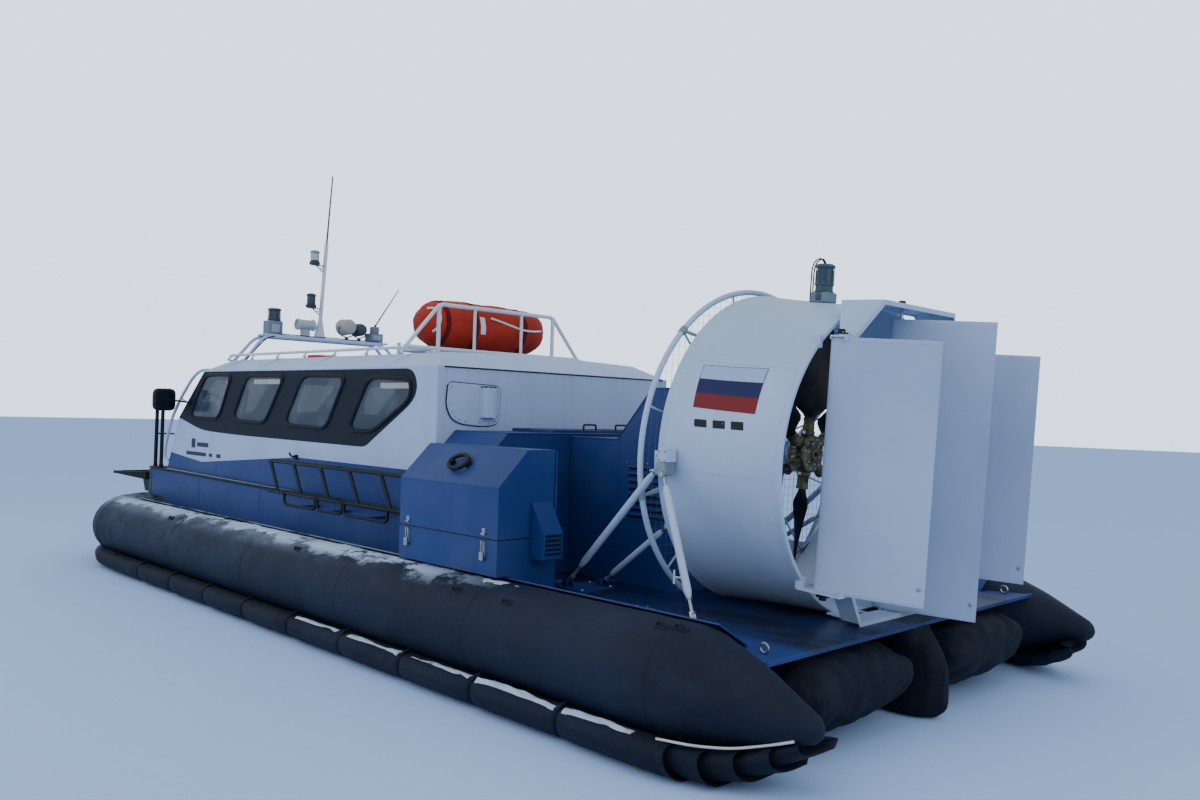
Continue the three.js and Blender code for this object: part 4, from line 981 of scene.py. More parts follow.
def add_rear_bag(side, name):
    piece = Piece(f"{name}_stern_bag")
    # Rings from the stern forwards: station, centre height, half height, half width, centre y
    rows = (
        (0.246, 0.300, 0.040, 0.330, 0.690),
        (0.252, 0.298, 0.085, 0.390, 0.690),
        (0.275, 0.292, 0.125, 0.440, 0.690),
        (0.320, 0.282, 0.158, 0.480, 0.692),
        (0.420, 0.262, 0.203, 0.518, 0.700),
        (0.500, 0.250, 0.222, 0.526, 0.700),
        (0.560, 0.246, 0.233, 0.528, 0.700),
        (0.610, 0.250, 0.180, 0.524, 0.700),
        (0.640, 0.262, 0.050, 0.505, 0.700),
    )
    sides = 112
    rings = []
    for s in steps(rows[0][0], rows[-1][0], 0.010):
        centre = at(s, side * table(rows, s, 4), table(rows, s, 1))
        high, wide = table(rows, s, 2), table(rows, s, 3)
        ring = []
        for c, sn in circle(1, sides):
            across, up = math.copysign(abs(c) ** 0.8, c), math.copysign(abs(sn) ** 0.85, sn)
            point = centre + Vector((0, side * wide * across, high * up))
            local = Vector((point.x * 5, point.y * 7.5, point.z * 3.2))
            fold = 1 - 2 * abs(noise.noise(local + Vector((0, 0, 3 * side))))
            fine = noise.noise(point * 26)
            drag = math.sin(point.y * 21 + 3.2 * math.sin(point.z * 8)) * 0.5
            amount = 0.022 * (fold - 0.55) + 0.003 * fine + 0.006 * drag
            away = Vector((-0.6, side * c, sn)).normalized()
            moved = point + away * (min(amount, 0.008) - 0.008)
            moved.z = max(moved.z, 0.012)
            ring.append(moved)
        rings.append(ring)
    piece.skin(rings, BAG)
    obj = piece.done(replaces=[f"rear_bag_{name}"], sharp=70)
    return obj


def add_keel_skirt():
    piece = Piece("keel_fabric")
    half = 0.133
    # Long keel under the hull: station, foot
    rings = []
    for s in steps(0.66, 8.0, 0.05):
        foot = table(((0.66, 0.012), (0.90, 0.0), (8.0, 0.055)), s, 1)
        waves = 0.008 * noise.noise(Vector((s * 3, 0, 8)))
        ring = []
        for y, z in ((1, 0.2795), (1, 0.20), (0.97, 0.09), (0.8, 0.03), (0.45, 0.0), (-0.45, 0.0),
                     (-0.8, 0.03), (-0.97, 0.09), (-1, 0.20), (-1, 0.2795)):
            height = max(z, foot + z * 0.5) if z < 0.1 else z
            ring.append(at(s, y * (half - abs(waves)), height))
        rings.append(ring)
    piece.skin(rings, BAG)
    # The fold from the deck's edge to a nose on the ground: height, aft and front station, half width
    rows = (
        (0.481, 0.352, 0.640, 0.128),
        (0.440, 0.325, 0.645, 0.118),
        (0.360, 0.270, 0.650, 0.100),
        (0.270, 0.232, 0.650, 0.098),
        (0.180, 0.221, 0.650, 0.108),
        (0.110, 0.224, 0.650, 0.120),
        (0.060, 0.240, 0.645, 0.124),
        (0.025, 0.268, 0.635, 0.112),
        (0.010, 0.310, 0.600, 0.080),
    )
    rings = []
    heights = steps(-0.481, -0.010, 0.012)
    flipped = tuple((-z, aft, front, wide) for z, aft, front, wide in rows)
    for h in heights:
        aft, front, wide = (table(flipped, h, k, 0.02) for k in (1, 2, 3))
        ring = []
        for c, sn in circle(1, 64):
            # A ridge down the middle of the fold
            ridge = 0.025 * math.exp(-(sn / 0.28) ** 2) if c < 0 else 0.0
            x = (aft + front) / 2 + (front - aft) / 2 * math.copysign(abs(c) ** 0.8, c)
            x = max(x - ridge, 0.216)
            y = wide * math.copysign(abs(sn) ** 0.9, sn)
            crease = 1 - 2 * abs(noise.noise(Vector((x * 6, y * 11, h * 4))))
            ring.append(at(x, y * (1 - 0.10 * max(0, crease)), -h))
        rings.append(ring)
    piece.skin(rings[::-1], BAG)
    return piece.done(replaces=["keel_skirt"], sharp=70)


for turn_side, turn_name in SIDES:
    add_side_tube(turn_side, turn_name)
    add_side_skirt(turn_side, turn_name)
    add_frost(turn_side, turn_name)
    add_rear_bag(turn_side, turn_name)
add_bow_tube()
add_bow_skirt()
add_keel_skirt()


def add_tail_patch():
    """A blank white patch on the inner side of the starboard tail."""
    piece = Piece("starboard_tail_patch")
    tail = TAIL[3:5]
    rings = []
    for s in steps(0.515, 0.590, 0.015):
        r, z = table(tail, s, 1), table(tail, s, 2)
        ring = []
        for lift in (0.0022, -0.004):
            angles = [-3 - 2 * k for k in range(9)]
            for degrees in angles if lift > 0 else angles[::-1]:
                turn = math.radians(degrees)
                ring.append(at(s, -TUBE_Y + (r + lift) * math.cos(turn), z + (r + lift) * math.sin(turn)))
        rings.append(ring)
    piece.skin(rings, WHITE_MARK)
    return piece.done()


add_tail_patch()


# Thrust unit: duct, rudders, propeller

HUB = at(1.130, 0, 1.372)
TO_THRUST = Matrix.Translation(HUB) @ Matrix.Rotation(math.radians(-3), 4, "Y")
RUDDER_X = -0.556
RUDDER_SPACING = 0.596
RUDDER_YAW = math.radians(15.75)
RUDDER_LEAD = 0.050
RUDDER_CHORD = 0.554
# Rudders: name, place in spacings, half height
RUDDERS = (("rudder_port", 1, 0.657), ("rudder_centre", 0, 0.801), ("rudder_starboard", -1, 0.657))
# The duct's outer wall: x in the thrust frame, radius
DUCT_WALL = ((-0.430, 0.872), (0.000, 0.897), (0.330, 0.935), (0.350, 0.927))


def duct_radius(x):
    return table(DUCT_WALL, x, 1)


def on_duct(x, degrees, lift=0.0):
    """A point on the duct's outside; the angle counts from port towards the top."""
    turn = math.radians(degrees)
    r = duct_radius(x) + lift
    return TO_THRUST @ Vector((x, r * math.cos(turn), r * math.sin(turn)))


def duct_normal(x, degrees):
    return (on_duct(x, degrees, 0.1) - on_duct(x, degrees)).normalized()


def duct_frame(x, degrees):
    """A frame on the duct's skin: x along the duct, y round it, z outwards."""
    turn = math.radians(degrees)
    slope = math.atan2(duct_radius(x + 0.02) - duct_radius(x - 0.02), 0.04)
    out = Vector((-math.sin(slope), math.cos(turn) * math.cos(slope), math.sin(turn) * math.cos(slope)))
    around = Vector((0, -math.sin(turn), math.cos(turn)))
    forward = around.cross(out)
    turned = axes(forward, around, out)
    return TO_THRUST @ shift(x, duct_radius(x) * math.cos(turn), duct_radius(x) * math.sin(turn)) @ turned


def duct_patch(piece, corners, lift, material, columns=8, rows=10):
    """A thin painted patch that follows the duct's skin. Corners: x, angle; they run round the patch."""
    a, b, c, d = corners
    grid = []
    for i in range(rows + 1):
        v = i / rows
        line = []
        for k in range(columns + 1):
            u = k / columns
            x = (a[0] * (1 - u) + b[0] * u) * (1 - v) + (d[0] * (1 - u) + c[0] * u) * v
            angle = (a[1] * (1 - u) + b[1] * u) * (1 - v) + (d[1] * (1 - u) + c[1] * u) * v
            line.append((x, angle))
        grid.append(line)
    top = [on_duct(x, angle, lift) for line in grid for x, angle in line]
    under = [on_duct(x, angle, -0.002) for line in grid for x, angle in line]
    wide = columns + 1
    faces = []
    count = len(top)
    for i in range(rows):
        for k in range(columns):
            p = i * wide + k
            faces.append((p, p + 1, p + wide + 1, p + wide))
            faces.append((count + p, count + p + wide, count + p + wide + 1, count + p + 1))
    rim = [k for k in range(wide)] + [i * wide + columns for i in range(1, rows + 1)]
    rim += [rows * wide + k for k in range(columns - 1, -1, -1)] + [i * wide for i in range(rows - 1, 0, -1)]
    for p, q in zip(rim, rim[1:] + rim[:1]):
        faces.append((q, p, count + p, count + q))
    piece.add(top + under, faces, material)


def between(corners, low, high, left=0.0, right=1.0):
    """Part of a four-cornered patch, from low to high down its height and from left to right across."""
    a, b, c, d = corners

    def spot(u, v):
        return tuple((a[k] * (1 - u) + b[k] * u) * (1 - v) + (d[k] * (1 - u) + c[k] * u) * v for k in (0, 1))

    return (spot(left, low), spot(right, low), spot(right, high), spot(left, high))


def add_duct():
    piece = Piece("thrust_duct_shell")
    wall = [(-0.430, 0.852), (-0.4315, 0.860), (-0.430, 0.869), (-0.426, 0.8725), (-0.392, 0.8745),
            (-0.390, 0.8735)]
    wall += [(x, duct_radius(x)) for x in (-0.35, -0.25, -0.05, 0.0, 0.06, 0.2, 0.300)]
    wall += [(0.302, 0.934), (0.330, 0.936), (0.342, 0.9345), (0.350, 0.925), (0.350, 0.912), (0.338, 0.900),
             (0.300, 0.884), (0.240, 0.864), (0.180, 0.854), (0.10, 0.850), (-0.2, 0.850)]
    piece.lathe(wall, DUCT_WHITE, 128, TO_THRUST)
    # Sheet laps run along the duct at these angles
    for degrees in (-86, -5.6, 34, 92, 174, 214, 262):
        strip = rect(0.295, -0.385, degrees + 0.9, degrees - 0.9)
        duct_patch(piece, strip, 0.0012, DUCT_WHITE, 14, 1)
        for x in steps(-0.37, 0.28, 0.042):
            for off in (-0.55, 0.55):
                spot = on_duct(x, degrees + off)
                out = duct_normal(x, degrees)
                piece.dome(spot + out * 0.001, out, RIVET, DUCT_WHITE, 0.4, 6)
    # Rivet rings where the skin is fixed to its frames: x, rivets round the ring
    for x, count in ((-0.408, 130), (-0.050, 110), (0.313, 130)):
        for k in range(count):
            degrees = 360 * (k + 0.3) / count
            piece.dome(on_duct(x, degrees), duct_normal(x, degrees), 0.0038, DUCT_WHITE, 0.4, 6)
    # Angle bracket for the side struts, on both sides
    for side in (1, -1):
        base = duct_frame(0.305, -4.5 if side > 0 else 184.5)
        piece.box((-0.055, -0.045, -0.003), (0.052, 0.060, 0.006), DUCT_WHITE, 0.002, base)
        fin = -side * 0.045
        piece.box((-0.050, fin - 0.004, -0.002), (0.045, fin + 0.004, 0.060), DUCT_WHITE, 0.002, base)
        heads = [base @ Vector((bx, by, 0.006)) for bx in (-0.035, 0.0, 0.032) for by in (-0.02, 0.035)]
        piece.bolts(heads, base.to_3x3() @ Vector((0, 0, 1)), STEEL, 0.008, 0.6)
    add_rudder_frames(piece)
    return piece.done(replaces=["duct"], sharp=30)


def add_duct_marks():
    piece = Piece("duct_panel_marks")
    # The tricolour panel: corners as x in the thrust frame and degrees above port
    flag = ((0.177, 31.2), (-0.226, 32.3), (-0.234, 15.3), (0.153, 15.4))
    duct_patch(piece, between(flag, -0.012, 1.0, -0.008, 1.008), 0.0010, NAVY_MARK, 10, 12)
    duct_patch(piece, between(flag, 0.0, 0.33), 0.0015, WHITE_MARK, 10, 4)
    duct_patch(piece, between(flag, 0.33, 0.67, -0.008, 1.008), 0.0015, BLUE_MARK, 10, 4)
    duct_patch(piece, between(flag, 0.67, 1.0, -0.008, 1.008), 0.0015, RED_MARK, 10, 4)
    # Three plain slanted bars
    bars = ((0.145, 13.3), (-0.177, 14.3), (-0.200, 7.2), (0.123, 6.8))
    for left, right in ((0.02, 0.26), (0.38, 0.62), (0.74, 0.98)):
        duct_patch(piece, between(bars, 0.30, 0.70, left, right), 0.0012, NAVY_MARK, 3, 2)
    # A small plain plate under the lantern
    duct_patch(piece, rect(0.10, 0.02, 88.5, 86.4), 0.0015, GREY, 2, 2)
    return piece.done(sharp=30)


def rudder_place(place):
    return TO_THRUST @ shift(RUDDER_X, place * RUDDER_SPACING, 0) @ Matrix.Rotation(RUDDER_YAW, 4, "Z")


def foil(x, thick=0.024):
    """Half thickness of a rudder at x ahead of its pivot."""
    t = (RUDDER_LEAD - x) / RUDDER_CHORD
    if t <= 0:
        return 0.0
    nose = 5 * (0.2969 * math.sqrt(t) - 0.1260 * t - 0.3516 * t * t + 0.2843 * t ** 3 - 0.1015 * t ** 4)
    return max(0.0016, thick * nose / 0.50)


def add_rudder(name, place, half):
    piece = Piece(f"{name}_skin")
    spot = rudder_place(place)
    tail = RUDDER_LEAD - RUDDER_CHORD
    xs = [RUDDER_LEAD - RUDDER_CHORD * (k / 22) ** 1.6 for k in range(23)]
    outline = [(x, foil(x)) for x in xs] + [(x, -foil(x)) for x in xs[::-1][:-1]]
    rings = []
    for z, grow in ((-half, 0.0), (-half + 0.002, 0.0008), (-half + 0.022, 0.0008), (-half + 0.0225, 0.0),
                    (half - 0.0225, 0.0), (half - 0.022, 0.0008), (half - 0.002, 0.0008), (half, 0.0)):
        rings.append([(x, y + math.copysign(grow, y), z) for x, y in outline])
    piece.skin(rings, RUDDER_WHITE, place=spot)
    # Lines of rivets on the ribs, the spar and the trailing edge
    for side in (1, -1):
        direction = spot.to_3x3() @ Vector((0.03, side, 0)).normalized()
        ribs = [(x, z) for z in steps(-half + 0.012, half - 0.012, half / 3.5)
                for x in steps(RUDDER_LEAD - 0.03, tail + 0.02, 0.032)]
        spars = [(x, z) for x in (-0.075, tail + 0.012) for z in steps(-half + 0.03, half - 0.03, 0.03)]
        heads = [spot @ Vector((x, side * (foil(x) + 0.0002), z)) for x, z in ribs + spars]
        piece.bolts(heads, direction, RUDDER_WHITE, 0.0028, 0.35, 5)
    # Bolts low on the trailing edge where a tie rod's lug goes
    for side in (1, -1):
        lug = spot @ Vector((-0.475, side * 0.006, -half + 0.09))
        piece.dome(lug, spot.to_3x3() @ Vector((0, side, 0)), 0.011, STEEL, 0.5, 6)
    return piece.done(body=name, replaces=[name], sharp=30)


FRAME_FRONT = -0.420
FRAME_AFT = -0.675
FRAME_THICK = 0.009


def bent_plate(piece, line, end):
    """A plate bent along a line, its edge lips turned away from the shaft or towards it.

    Each point of the line: y, z, front and aft edge, lip towards the shaft, lip away from it."""
    rings = []
    points = [Vector(p[:2]) for p in line]
    for i, (here, (front, aft, inner, outer)) in enumerate(zip(points, [p[2:] for p in line])):
        sides = []
        for a, b in ((i - 1, i), (i, i + 1)):
            if 0 <= a and b < len(points):
                run = (points[b] - points[a]).normalized()
                sides.append(Vector((-run.y, run.x)))
        out = sum(sides, Vector((0, 0))).normalized()
        out /= max(0.5, out.dot(sides[0]))
        section = [(front, 0), (aft + 0.005, 0), (aft + 0.005, -inner), (aft, -inner), (aft, outer),
                   (aft + 0.005, outer), (aft + 0.005, FRAME_THICK), (front - 0.005, FRAME_THICK),
                   (front - 0.005, outer * 0.7 + 0.003), (front, outer * 0.7 + 0.003)]
        rings.append([(x, here.x + out.x * t, end * (here.y + out.y * t)) for x, t in section])
    piece.skin(rings, DUCT_WHITE, place=TO_THRUST)


def add_rudder_frames(piece):
    """The two frames behind the duct: bent plates with lips, gussets, and the rudders' flanged bearings."""
    flat, side_z = 0.400, 0.667
    y0, y1 = RUDDER_SPACING * 0.92, RUDDER_SPACING * 1.06
    wide, slim_top, slim_low = (FRAME_FRONT, FRAME_AFT), (-0.512, -0.602), (-0.560, FRAME_AFT)
    lip, turned_in = (0.0, 0.026), (0.013, FRAME_THICK)
    for end, middle in ((1, 0.871), (-1, 0.825)):
        # Half of the bent line, from the side inwards
        if end > 0:
            half = [(y1, side_z, *slim_top, *lip), (y0, side_z, *slim_top, *lip), (flat, middle, *wide, *lip)]
        else:
            half = [(y1, side_z, *wide, *lip), (y0 - 0.030, side_z, *wide, *lip),
                    (y0 - 0.034, side_z + 0.004, *slim_low, *lip), (flat, middle, *slim_low, *turned_in)]
        bent_plate(piece, half + [(-p[0], *p[1:]) for p in half[::-1]], end)
        if end < 0:
            # The middle of the lower frame is open: a bar in front, cross pieces and the levers' brackets
            piece.box((FRAME_FRONT - 0.045, -0.330, -middle - FRAME_THICK), (FRAME_FRONT, 0.330, -middle),
                      DUCT_WHITE, 0.002, TO_THRUST)
            for y in (-0.320, -0.110, 0.110, 0.320):
                piece.box((-0.565, y - 0.018, -middle - FRAME_THICK),
                          (FRAME_FRONT - 0.040, y + 0.018, -middle), DUCT_WHITE, 0.002, TO_THRUST)
            for y in (-0.215, 0.215):
                piece.box((-0.640, y - 0.020, -middle - 0.034), (-0.600, y + 0.020, -middle - 0.008), BLACK,
                          0.004, TO_THRUST)
            piece.tube([(-0.620, -0.420, -middle - 0.040), (-0.620, 0.420, -middle - 0.040)], 0.010, STEEL,
                       12, place=TO_THRUST)
        shoe_front = -0.380 if end > 0 else -0.400
        low, high = sorted((end * 0.856, end * middle))
        piece.box((-0.436, -0.040, low), (shoe_front, 0.040, high), DUCT_WHITE, 0.003, TO_THRUST)
        for s in (1, -1):
            low, high = sorted((end * 0.600, end * (side_z + 0.004)))
            piece.box((-0.440, s * RUDDER_SPACING - 0.014, low), (-0.392, s * RUDDER_SPACING + 0.014, high),
                      DUCT_WHITE, 0.003, TO_THRUST)
        for _, place, half in RUDDERS:
            z = middle if place == 0 else side_z
            spot = Vector((RUDDER_X, place * RUDDER_SPACING, 0))
            piece.tube([spot + Vector((0, 0, end * (half + 0.0012))),
                        spot + Vector((0, 0, end * (z + 0.001)))], 0.011, STEEL, 16, place=TO_THRUST)
            if end < 0 and place == 0:
                continue
            # Flanged bearing: radius, from, to
            turn = Matrix.Translation(spot + Vector((0, 0, end * (z + FRAME_THICK)))) @ (
                Matrix() if end > 0 else Matrix.Rotation(math.pi, 4, "X"))
            for r, low, high in ((0.036, 0.0, 0.006), (0.019, 0.005, 0.024)):
                piece.plate([circle(r, 24)], low, high, BLACK, TO_THRUST @ turn, edge=0.0015)
            for k in range(4):
                angle = math.pi / 4 + k * math.pi / 2
                bolt = TO_THRUST @ turn @ Vector((0.027 * math.cos(angle), 0.027 * math.sin(angle), 0.006))
                piece.dome(bolt, TO_THRUST.to_3x3() @ Vector((0, 0, end)), 0.0055, STEEL, 0.9, 6)


def add_propeller():
    piece = Piece("thrust_propeller")
    place = TO_THRUST
    # Hub: a bolted disc behind and in front of the blade sockets
    piece.lathe([(-0.070, 0.0), (-0.070, 0.030), (-0.066, 0.034), (-0.058, 0.036), (-0.054, 0.046),
                 (-0.052, 0.105), (-0.046, 0.111), (-0.036, 0.111), (-0.032, 0.104), (0.032, 0.104),
                 (0.036, 0.111), (0.048, 0.111), (0.052, 0.104), (0.055, 0.056), (0.070, 0.054),
                 (0.070, 0.0)], BRONZE, 48, place)
    piece.tube([(0.040, 0, 0), (0.235, 0, 0)], 0.029, STEEL, 32, place=place)
    piece.lathe([(-0.0702, 0.0), (-0.0702, 0.014), (-0.078, 0.013), (-0.079, 0.0)], BLACK, 20, place)
    for k in range(12):
        turn = math.tau * (k + 0.5) / 12
        for r, x in ((0.089, -0.052), (0.062, -0.0535)):
            if r < 0.07 and k % 2:
                continue
            spot = place @ Vector((x, r * math.cos(turn), r * math.sin(turn)))
            piece.dome(spot, place.to_3x3() @ Vector((-1, 0, 0)), 0.0085, STEEL, 0.9, 6)
    # Blade sections: radius, half chord, half thickness, pitch in degrees, of a left-handed propeller
    sections = ((0.185, 0.026, 0.024, 62), (0.212, 0.030, 0.024, 62), (0.235, 0.044, 0.021, 61),
                (0.260, 0.074, 0.016, 59), (0.285, 0.104, 0.013, 57), (0.315, 0.119, 0.0115, 55),
                (0.400, 0.1215, 0.0105, 47), (0.520, 0.1195, 0.0095, 39), (0.620, 0.113, 0.0075, 35.5),
                (0.700, 0.104, 0.006, 34), (0.770, 0.087, 0.005, 33), (0.806, 0.070, 0.004, 32.5),
                (0.822, 0.052, 0.0034, 32), (0.827, 0.034, 0.0024, 32))
    for b in range(6):
        spin = place @ Matrix.Rotation(math.tau * b / 6 + math.radians(4), 4, "X")
        rings = []
        for r, chord, thick, pitch in sections:
            p = -math.radians(pitch)
            ring = []
            for cos, sin in circle(1, 24):
                c = chord * cos
                t = thick * sin * (0.75 + 0.25 * cos)
                ring.append((c * math.sin(p) + t * math.cos(p), -c * math.cos(p) + t * math.sin(p), r))
            rings.append(ring)
        piece.skin(rings, BLADE, place=spin)
        # Bronze socket with its clamp ring and bolts
        socket = spin @ Matrix.Rotation(-math.pi / 2, 4, "Y")
        profile = [(0.060, 0.0), (0.060, 0.036), (0.105, 0.036), (0.112, 0.040), (0.132, 0.040),
                   (0.138, 0.034), (0.185, 0.033), (0.205, 0.036), (0.212, 0.036), (0.214, 0.0)]
        piece.lathe(profile, BRONZE, 24, socket)
        for across in (1, -1):
            piece.box((0.112, across * 0.039 - 0.007, -0.012), (0.132, across * 0.039 + 0.007, 0.012), STEEL,
                      0.002, socket)
    return piece.done(body="propeller", replaces=["propeller"], sharp=32)


GUARD_X = 0.430
GUARD_R = 0.980
GUARD_Z = -0.022


def add_guard():
    """The round guard in front of the duct: a thick tube, stays to the duct, and fine wire mesh."""
    piece = Piece("intake_guard")

    def rim(r, degrees, x=GUARD_X):
        turn = math.radians(degrees)
        return Vector((x, r * math.cos(turn), r * math.sin(turn) + GUARD_Z))

    lowest = -0.845
    limit = math.degrees(math.asin((lowest - GUARD_Z) / GUARD_R))
    arc = [rim(GUARD_R, d) for d in steps(limit, 180 - limit, 2.5)]
    piece.tube(arc, 0.017, DUCT_WHITE, 14, place=TO_THRUST)
    piece.tube([rim(0.230, 360 * k / 40) for k in range(40)], 0.007, DUCT_WHITE, 8, loop=True,
               place=TO_THRUST)
    for k in range(12):
        degrees = 360 * (k + 0.5) / 12
        reach = GUARD_R
        if math.sin(math.radians(degrees)) * GUARD_R + GUARD_Z < lowest:
            reach = (lowest - GUARD_Z) / math.sin(math.radians(degrees))
        piece.tube([rim(0.230, degrees), rim(reach, degrees)], 0.0065, DUCT_WHITE, 8, place=TO_THRUST)
        if k % 2 and reach == GUARD_R:
            end = rim(0.902, degrees, 0.335)
            end.z -= GUARD_Z
            piece.tube([rim(GUARD_R, degrees), end], 0.010, GUARD_GREEN, 8, place=TO_THRUST)
            piece.tube([rim(GUARD_R, degrees - 1.3), rim(GUARD_R, degrees + 1.3)], 0.0215, GUARD_GREEN, 12,
                       place=TO_THRUST)
    # Square mesh
    for k in range(-19, 20):
        y = k * 0.050
        half = math.sqrt(GUARD_R ** 2 - y ** 2)
        low = max(-half + GUARD_Z, lowest)
        piece.tube([(GUARD_X + 0.012, y, low), (GUARD_X + 0.012, y, half + GUARD_Z)], 0.0010, MESH_WIRE, 4,
                   place=TO_THRUST)
        z = k * 0.050
        if z + GUARD_Z < lowest:
            continue
        piece.tube([(GUARD_X + 0.0145, -half, z + GUARD_Z), (GUARD_X + 0.0145, half, z + GUARD_Z)], 0.0010,
                   MESH_WIRE, 4, place=TO_THRUST)
    return piece.done(replaces=["guard_ring"], sharp=40)


def add_struts(side, name):
    piece = Piece(f"{name}_duct_struts")
    # Struts: upper end, foot, radius of the wide part
    struts = (((1.392, 0.985, 1.320), (2.220, 0.890, 0.535), 0.021),
              ((1.345, 1.030, 1.255), (0.965, 1.195, 0.545), 0.021),
              ((1.500, 0.800, 0.950), (2.120, 0.690, 0.535), 0.017))
    for top, foot, r in struts:
        ends = sided(side, top, foot)
        run = ends[1] - ends[0]

        def part(t):
            return ends[0] + run * t

        piece.tube([part(0.02), part(0.10)], 0.009, STEEL, 12)
        piece.tube([part(0.085), part(0.095), part(0.13), part(0.80), part(0.835), part(0.845)], r,
                   DUCT_WHITE, 20, radii=[r * 0.5, r * 0.72, r, r, r * 0.72, r * 0.5])
        piece.tube([part(0.84), part(0.985)], 0.0085, STEEL, 12)
        # Threads and lock nuts on the adjusting end
        for t in steps(0.85, 0.93, 0.009):
            piece.tube([part(t), part(t + 0.004)], 0.0105, STEEL, 12)
        for t in (0.845, 0.935):
            piece.tube([part(t), part(t + 0.012)], 0.016, STEEL, 6)
        # Fork and pin at the foot, eye at the top
        across = Vector((0, 1, 0))
        for off in (-0.014, 0.014):
            tip = ends[1] + across * off
            piece.tube([tip - run.normalized() * 0.055, tip], 0.007, STEEL, 8)
        piece.tube([ends[1] - across * 0.032, ends[1] + across * 0.032], 0.008, BLACK, 10)
        piece.tube([ends[0] - across * 0.02, ends[0] + across * 0.02], 0.016, STEEL, 12)
    # T-handle that turns the aft strut's adjuster
    top, foot = sided(side, *struts[1][:2])
    grip = top + (foot - top) * 0.72
    for low, high in (((0, 0, 0), (0.03, side * 0.05, 0.01)),
                      ((0.03, side * 0.05, -0.025), (0.03, side * 0.05, 0.045))):
        piece.tube([grip + Vector(low), grip + Vector(high)], 0.005, DUCT_WHITE, 8)
    # Deck plate with ears, and the aft foot's block
    piece.plate([rounded_loop(rect(2.050 - STERN, 2.280 - STERN, side * 0.640, side * 0.930), 0.012)],
                FLOOR_TOP, 0.512, BLUE, edge=0.002)
    for x, y in ((2.220, 0.890), (2.120, 0.690)):
        for off in (-0.024, 0.024):
            ear = [(-0.030, 0.0), (0.030, 0.0), (0.022, 0.050), (-0.022, 0.050)]
            flat = posed(at(x, side * y + off, 0.511), math.pi / 2, "X")
            piece.plate([rounded_loop(ear, [0.001, 0.001, 0.016, 0.016])], -0.003, 0.003, BLUE, flat,
                        edge=0.001)
    corners = [(x, y, 0.512) for y in (0.665, 0.905) for x in (2.075, 2.255)]
    piece.bolts(sided(side, *corners), (0, 0, 1), STEEL, 0.010, 0.8)
    piece.block(0.905, 0.995, side * 1.1925, 0.0325, FLOOR_TOP, 0.552, BLUE, 0.004)
    # The duct's bracket: a white box with a grey tab that carries the struts' upper ends
    piece.block(1.340, 1.408, side * 0.970, 0.040, 1.318, 1.392, DUCT_WHITE)
    piece.block(1.338, 1.412, side * 0.985, 0.040, 1.248, 1.316, ZINC_PLATE)
    corners = [(x, 1.011, z) for z in (1.332, 1.378) for x in (1.352, 1.396)]
    piece.bolts(sided(side, *corners, (1.350, 1.026, 1.282), (1.398, 1.026, 1.282)), (0, side, 0), STEEL,
                0.008, 0.7)
    return piece.done(replaces=[f"duct_struts_{name}"])


def add_bearing():
    piece = Piece("shaft_bearing_housing")
    piece.lathe([(0.084, 0.031), (0.084, 0.054), (0.090, 0.060), (0.108, 0.062), (0.112, 0.074),
                 (0.300, 0.074), (0.306, 0.080), (0.326, 0.080), (0.330, 0.074), (0.556, 0.074), (0.556, 0.0),
                 (0.240, 0.0), (0.240, 0.031)], DUCT_WHITE, 48, TO_THRUST)
    heads = [TO_THRUST @ Vector((0.0845, y, z)) for y, z in circle(0.046, 8)]
    piece.bolts(heads, TO_THRUST.to_3x3() @ Vector((-1, 0, 0)), STEEL, 0.006, 0.9)
    for degrees in (30, 150, 270):
        turn = math.radians(degrees)
        reach = 0.842
        start = Vector((0.156, 0.068 * math.cos(turn), 0.068 * math.sin(turn)))
        end = Vector((0.226, reach * math.cos(turn), reach * math.sin(turn)))
        piece.tube([start, end], 0.016, DUCT_WHITE, 16, place=TO_THRUST)
        piece.tube([start, start + (end - start) * 0.05], 0.024, DUCT_WHITE, 16, place=TO_THRUST)
        piece.tube([end - (end - start) * 0.02, end], 0.030, DUCT_WHITE, 16, place=TO_THRUST)
    return piece.done(replaces=["shaft_bearing"])


def add_lantern():
    piece = Piece("duct_lantern_caged")
    up = 0.897
    place = TO_THRUST @ shift(0, 0, up)
    piece.box((-0.105, -0.055, -0.004), (0.015, 0.055, 0.060), LANTERN_BASE, 0.008, place)
    piece.box((-0.062, -0.066, 0.012), (-0.028, 0.066, 0.050), LANTERN, 0.006, place)
    standing = place @ shift(-0.045, 0, 0) @ Matrix.Rotation(-math.pi / 2, 4, "Y")
    # Height above the duct, radius
    piece.lathe([(0.056, 0.0), (0.056, 0.056), (0.064, 0.058), (0.070, 0.052), (0.098, 0.051), (0.102, 0.056),
                 (0.110, 0.056), (0.114, 0.051), (0.205, 0.047), (0.206, 0.058), (0.218, 0.058),
                 (0.226, 0.047), (0.228, 0.0)], LANTERN, 40, standing)
    piece.lathe([(0.132, 0.0), (0.132, 0.0522), (0.190, 0.0500), (0.190, 0.0)], LENS, 40, standing)
    for k in range(8):
        turn = math.tau * k / 8
        rod = [Vector((-0.045 + r * math.cos(turn), r * math.sin(turn), z))
               for r, z in ((0.055, 0.10), (0.053, 0.21))]
        piece.tube(rod, 0.0025, LANTERN, 6, place=place)
    for off in (-0.012, 0.012):
        wire = [(0.040, off, -0.012), (0.041, off, 0.205), (0.022, off, 0.250), (-0.020, off, 0.266),
                (-0.045, off * 0.5, 0.226)]
        piece.tube(wire, 0.0042, BLACK, 8, bend=0.04, place=place)
    piece.tube([(0.000, 0, 0.040), (0.041, 0, 0.040)], 0.0045, BLACK, 8, place=place)
    return piece.done(replaces=["duct_lantern"])


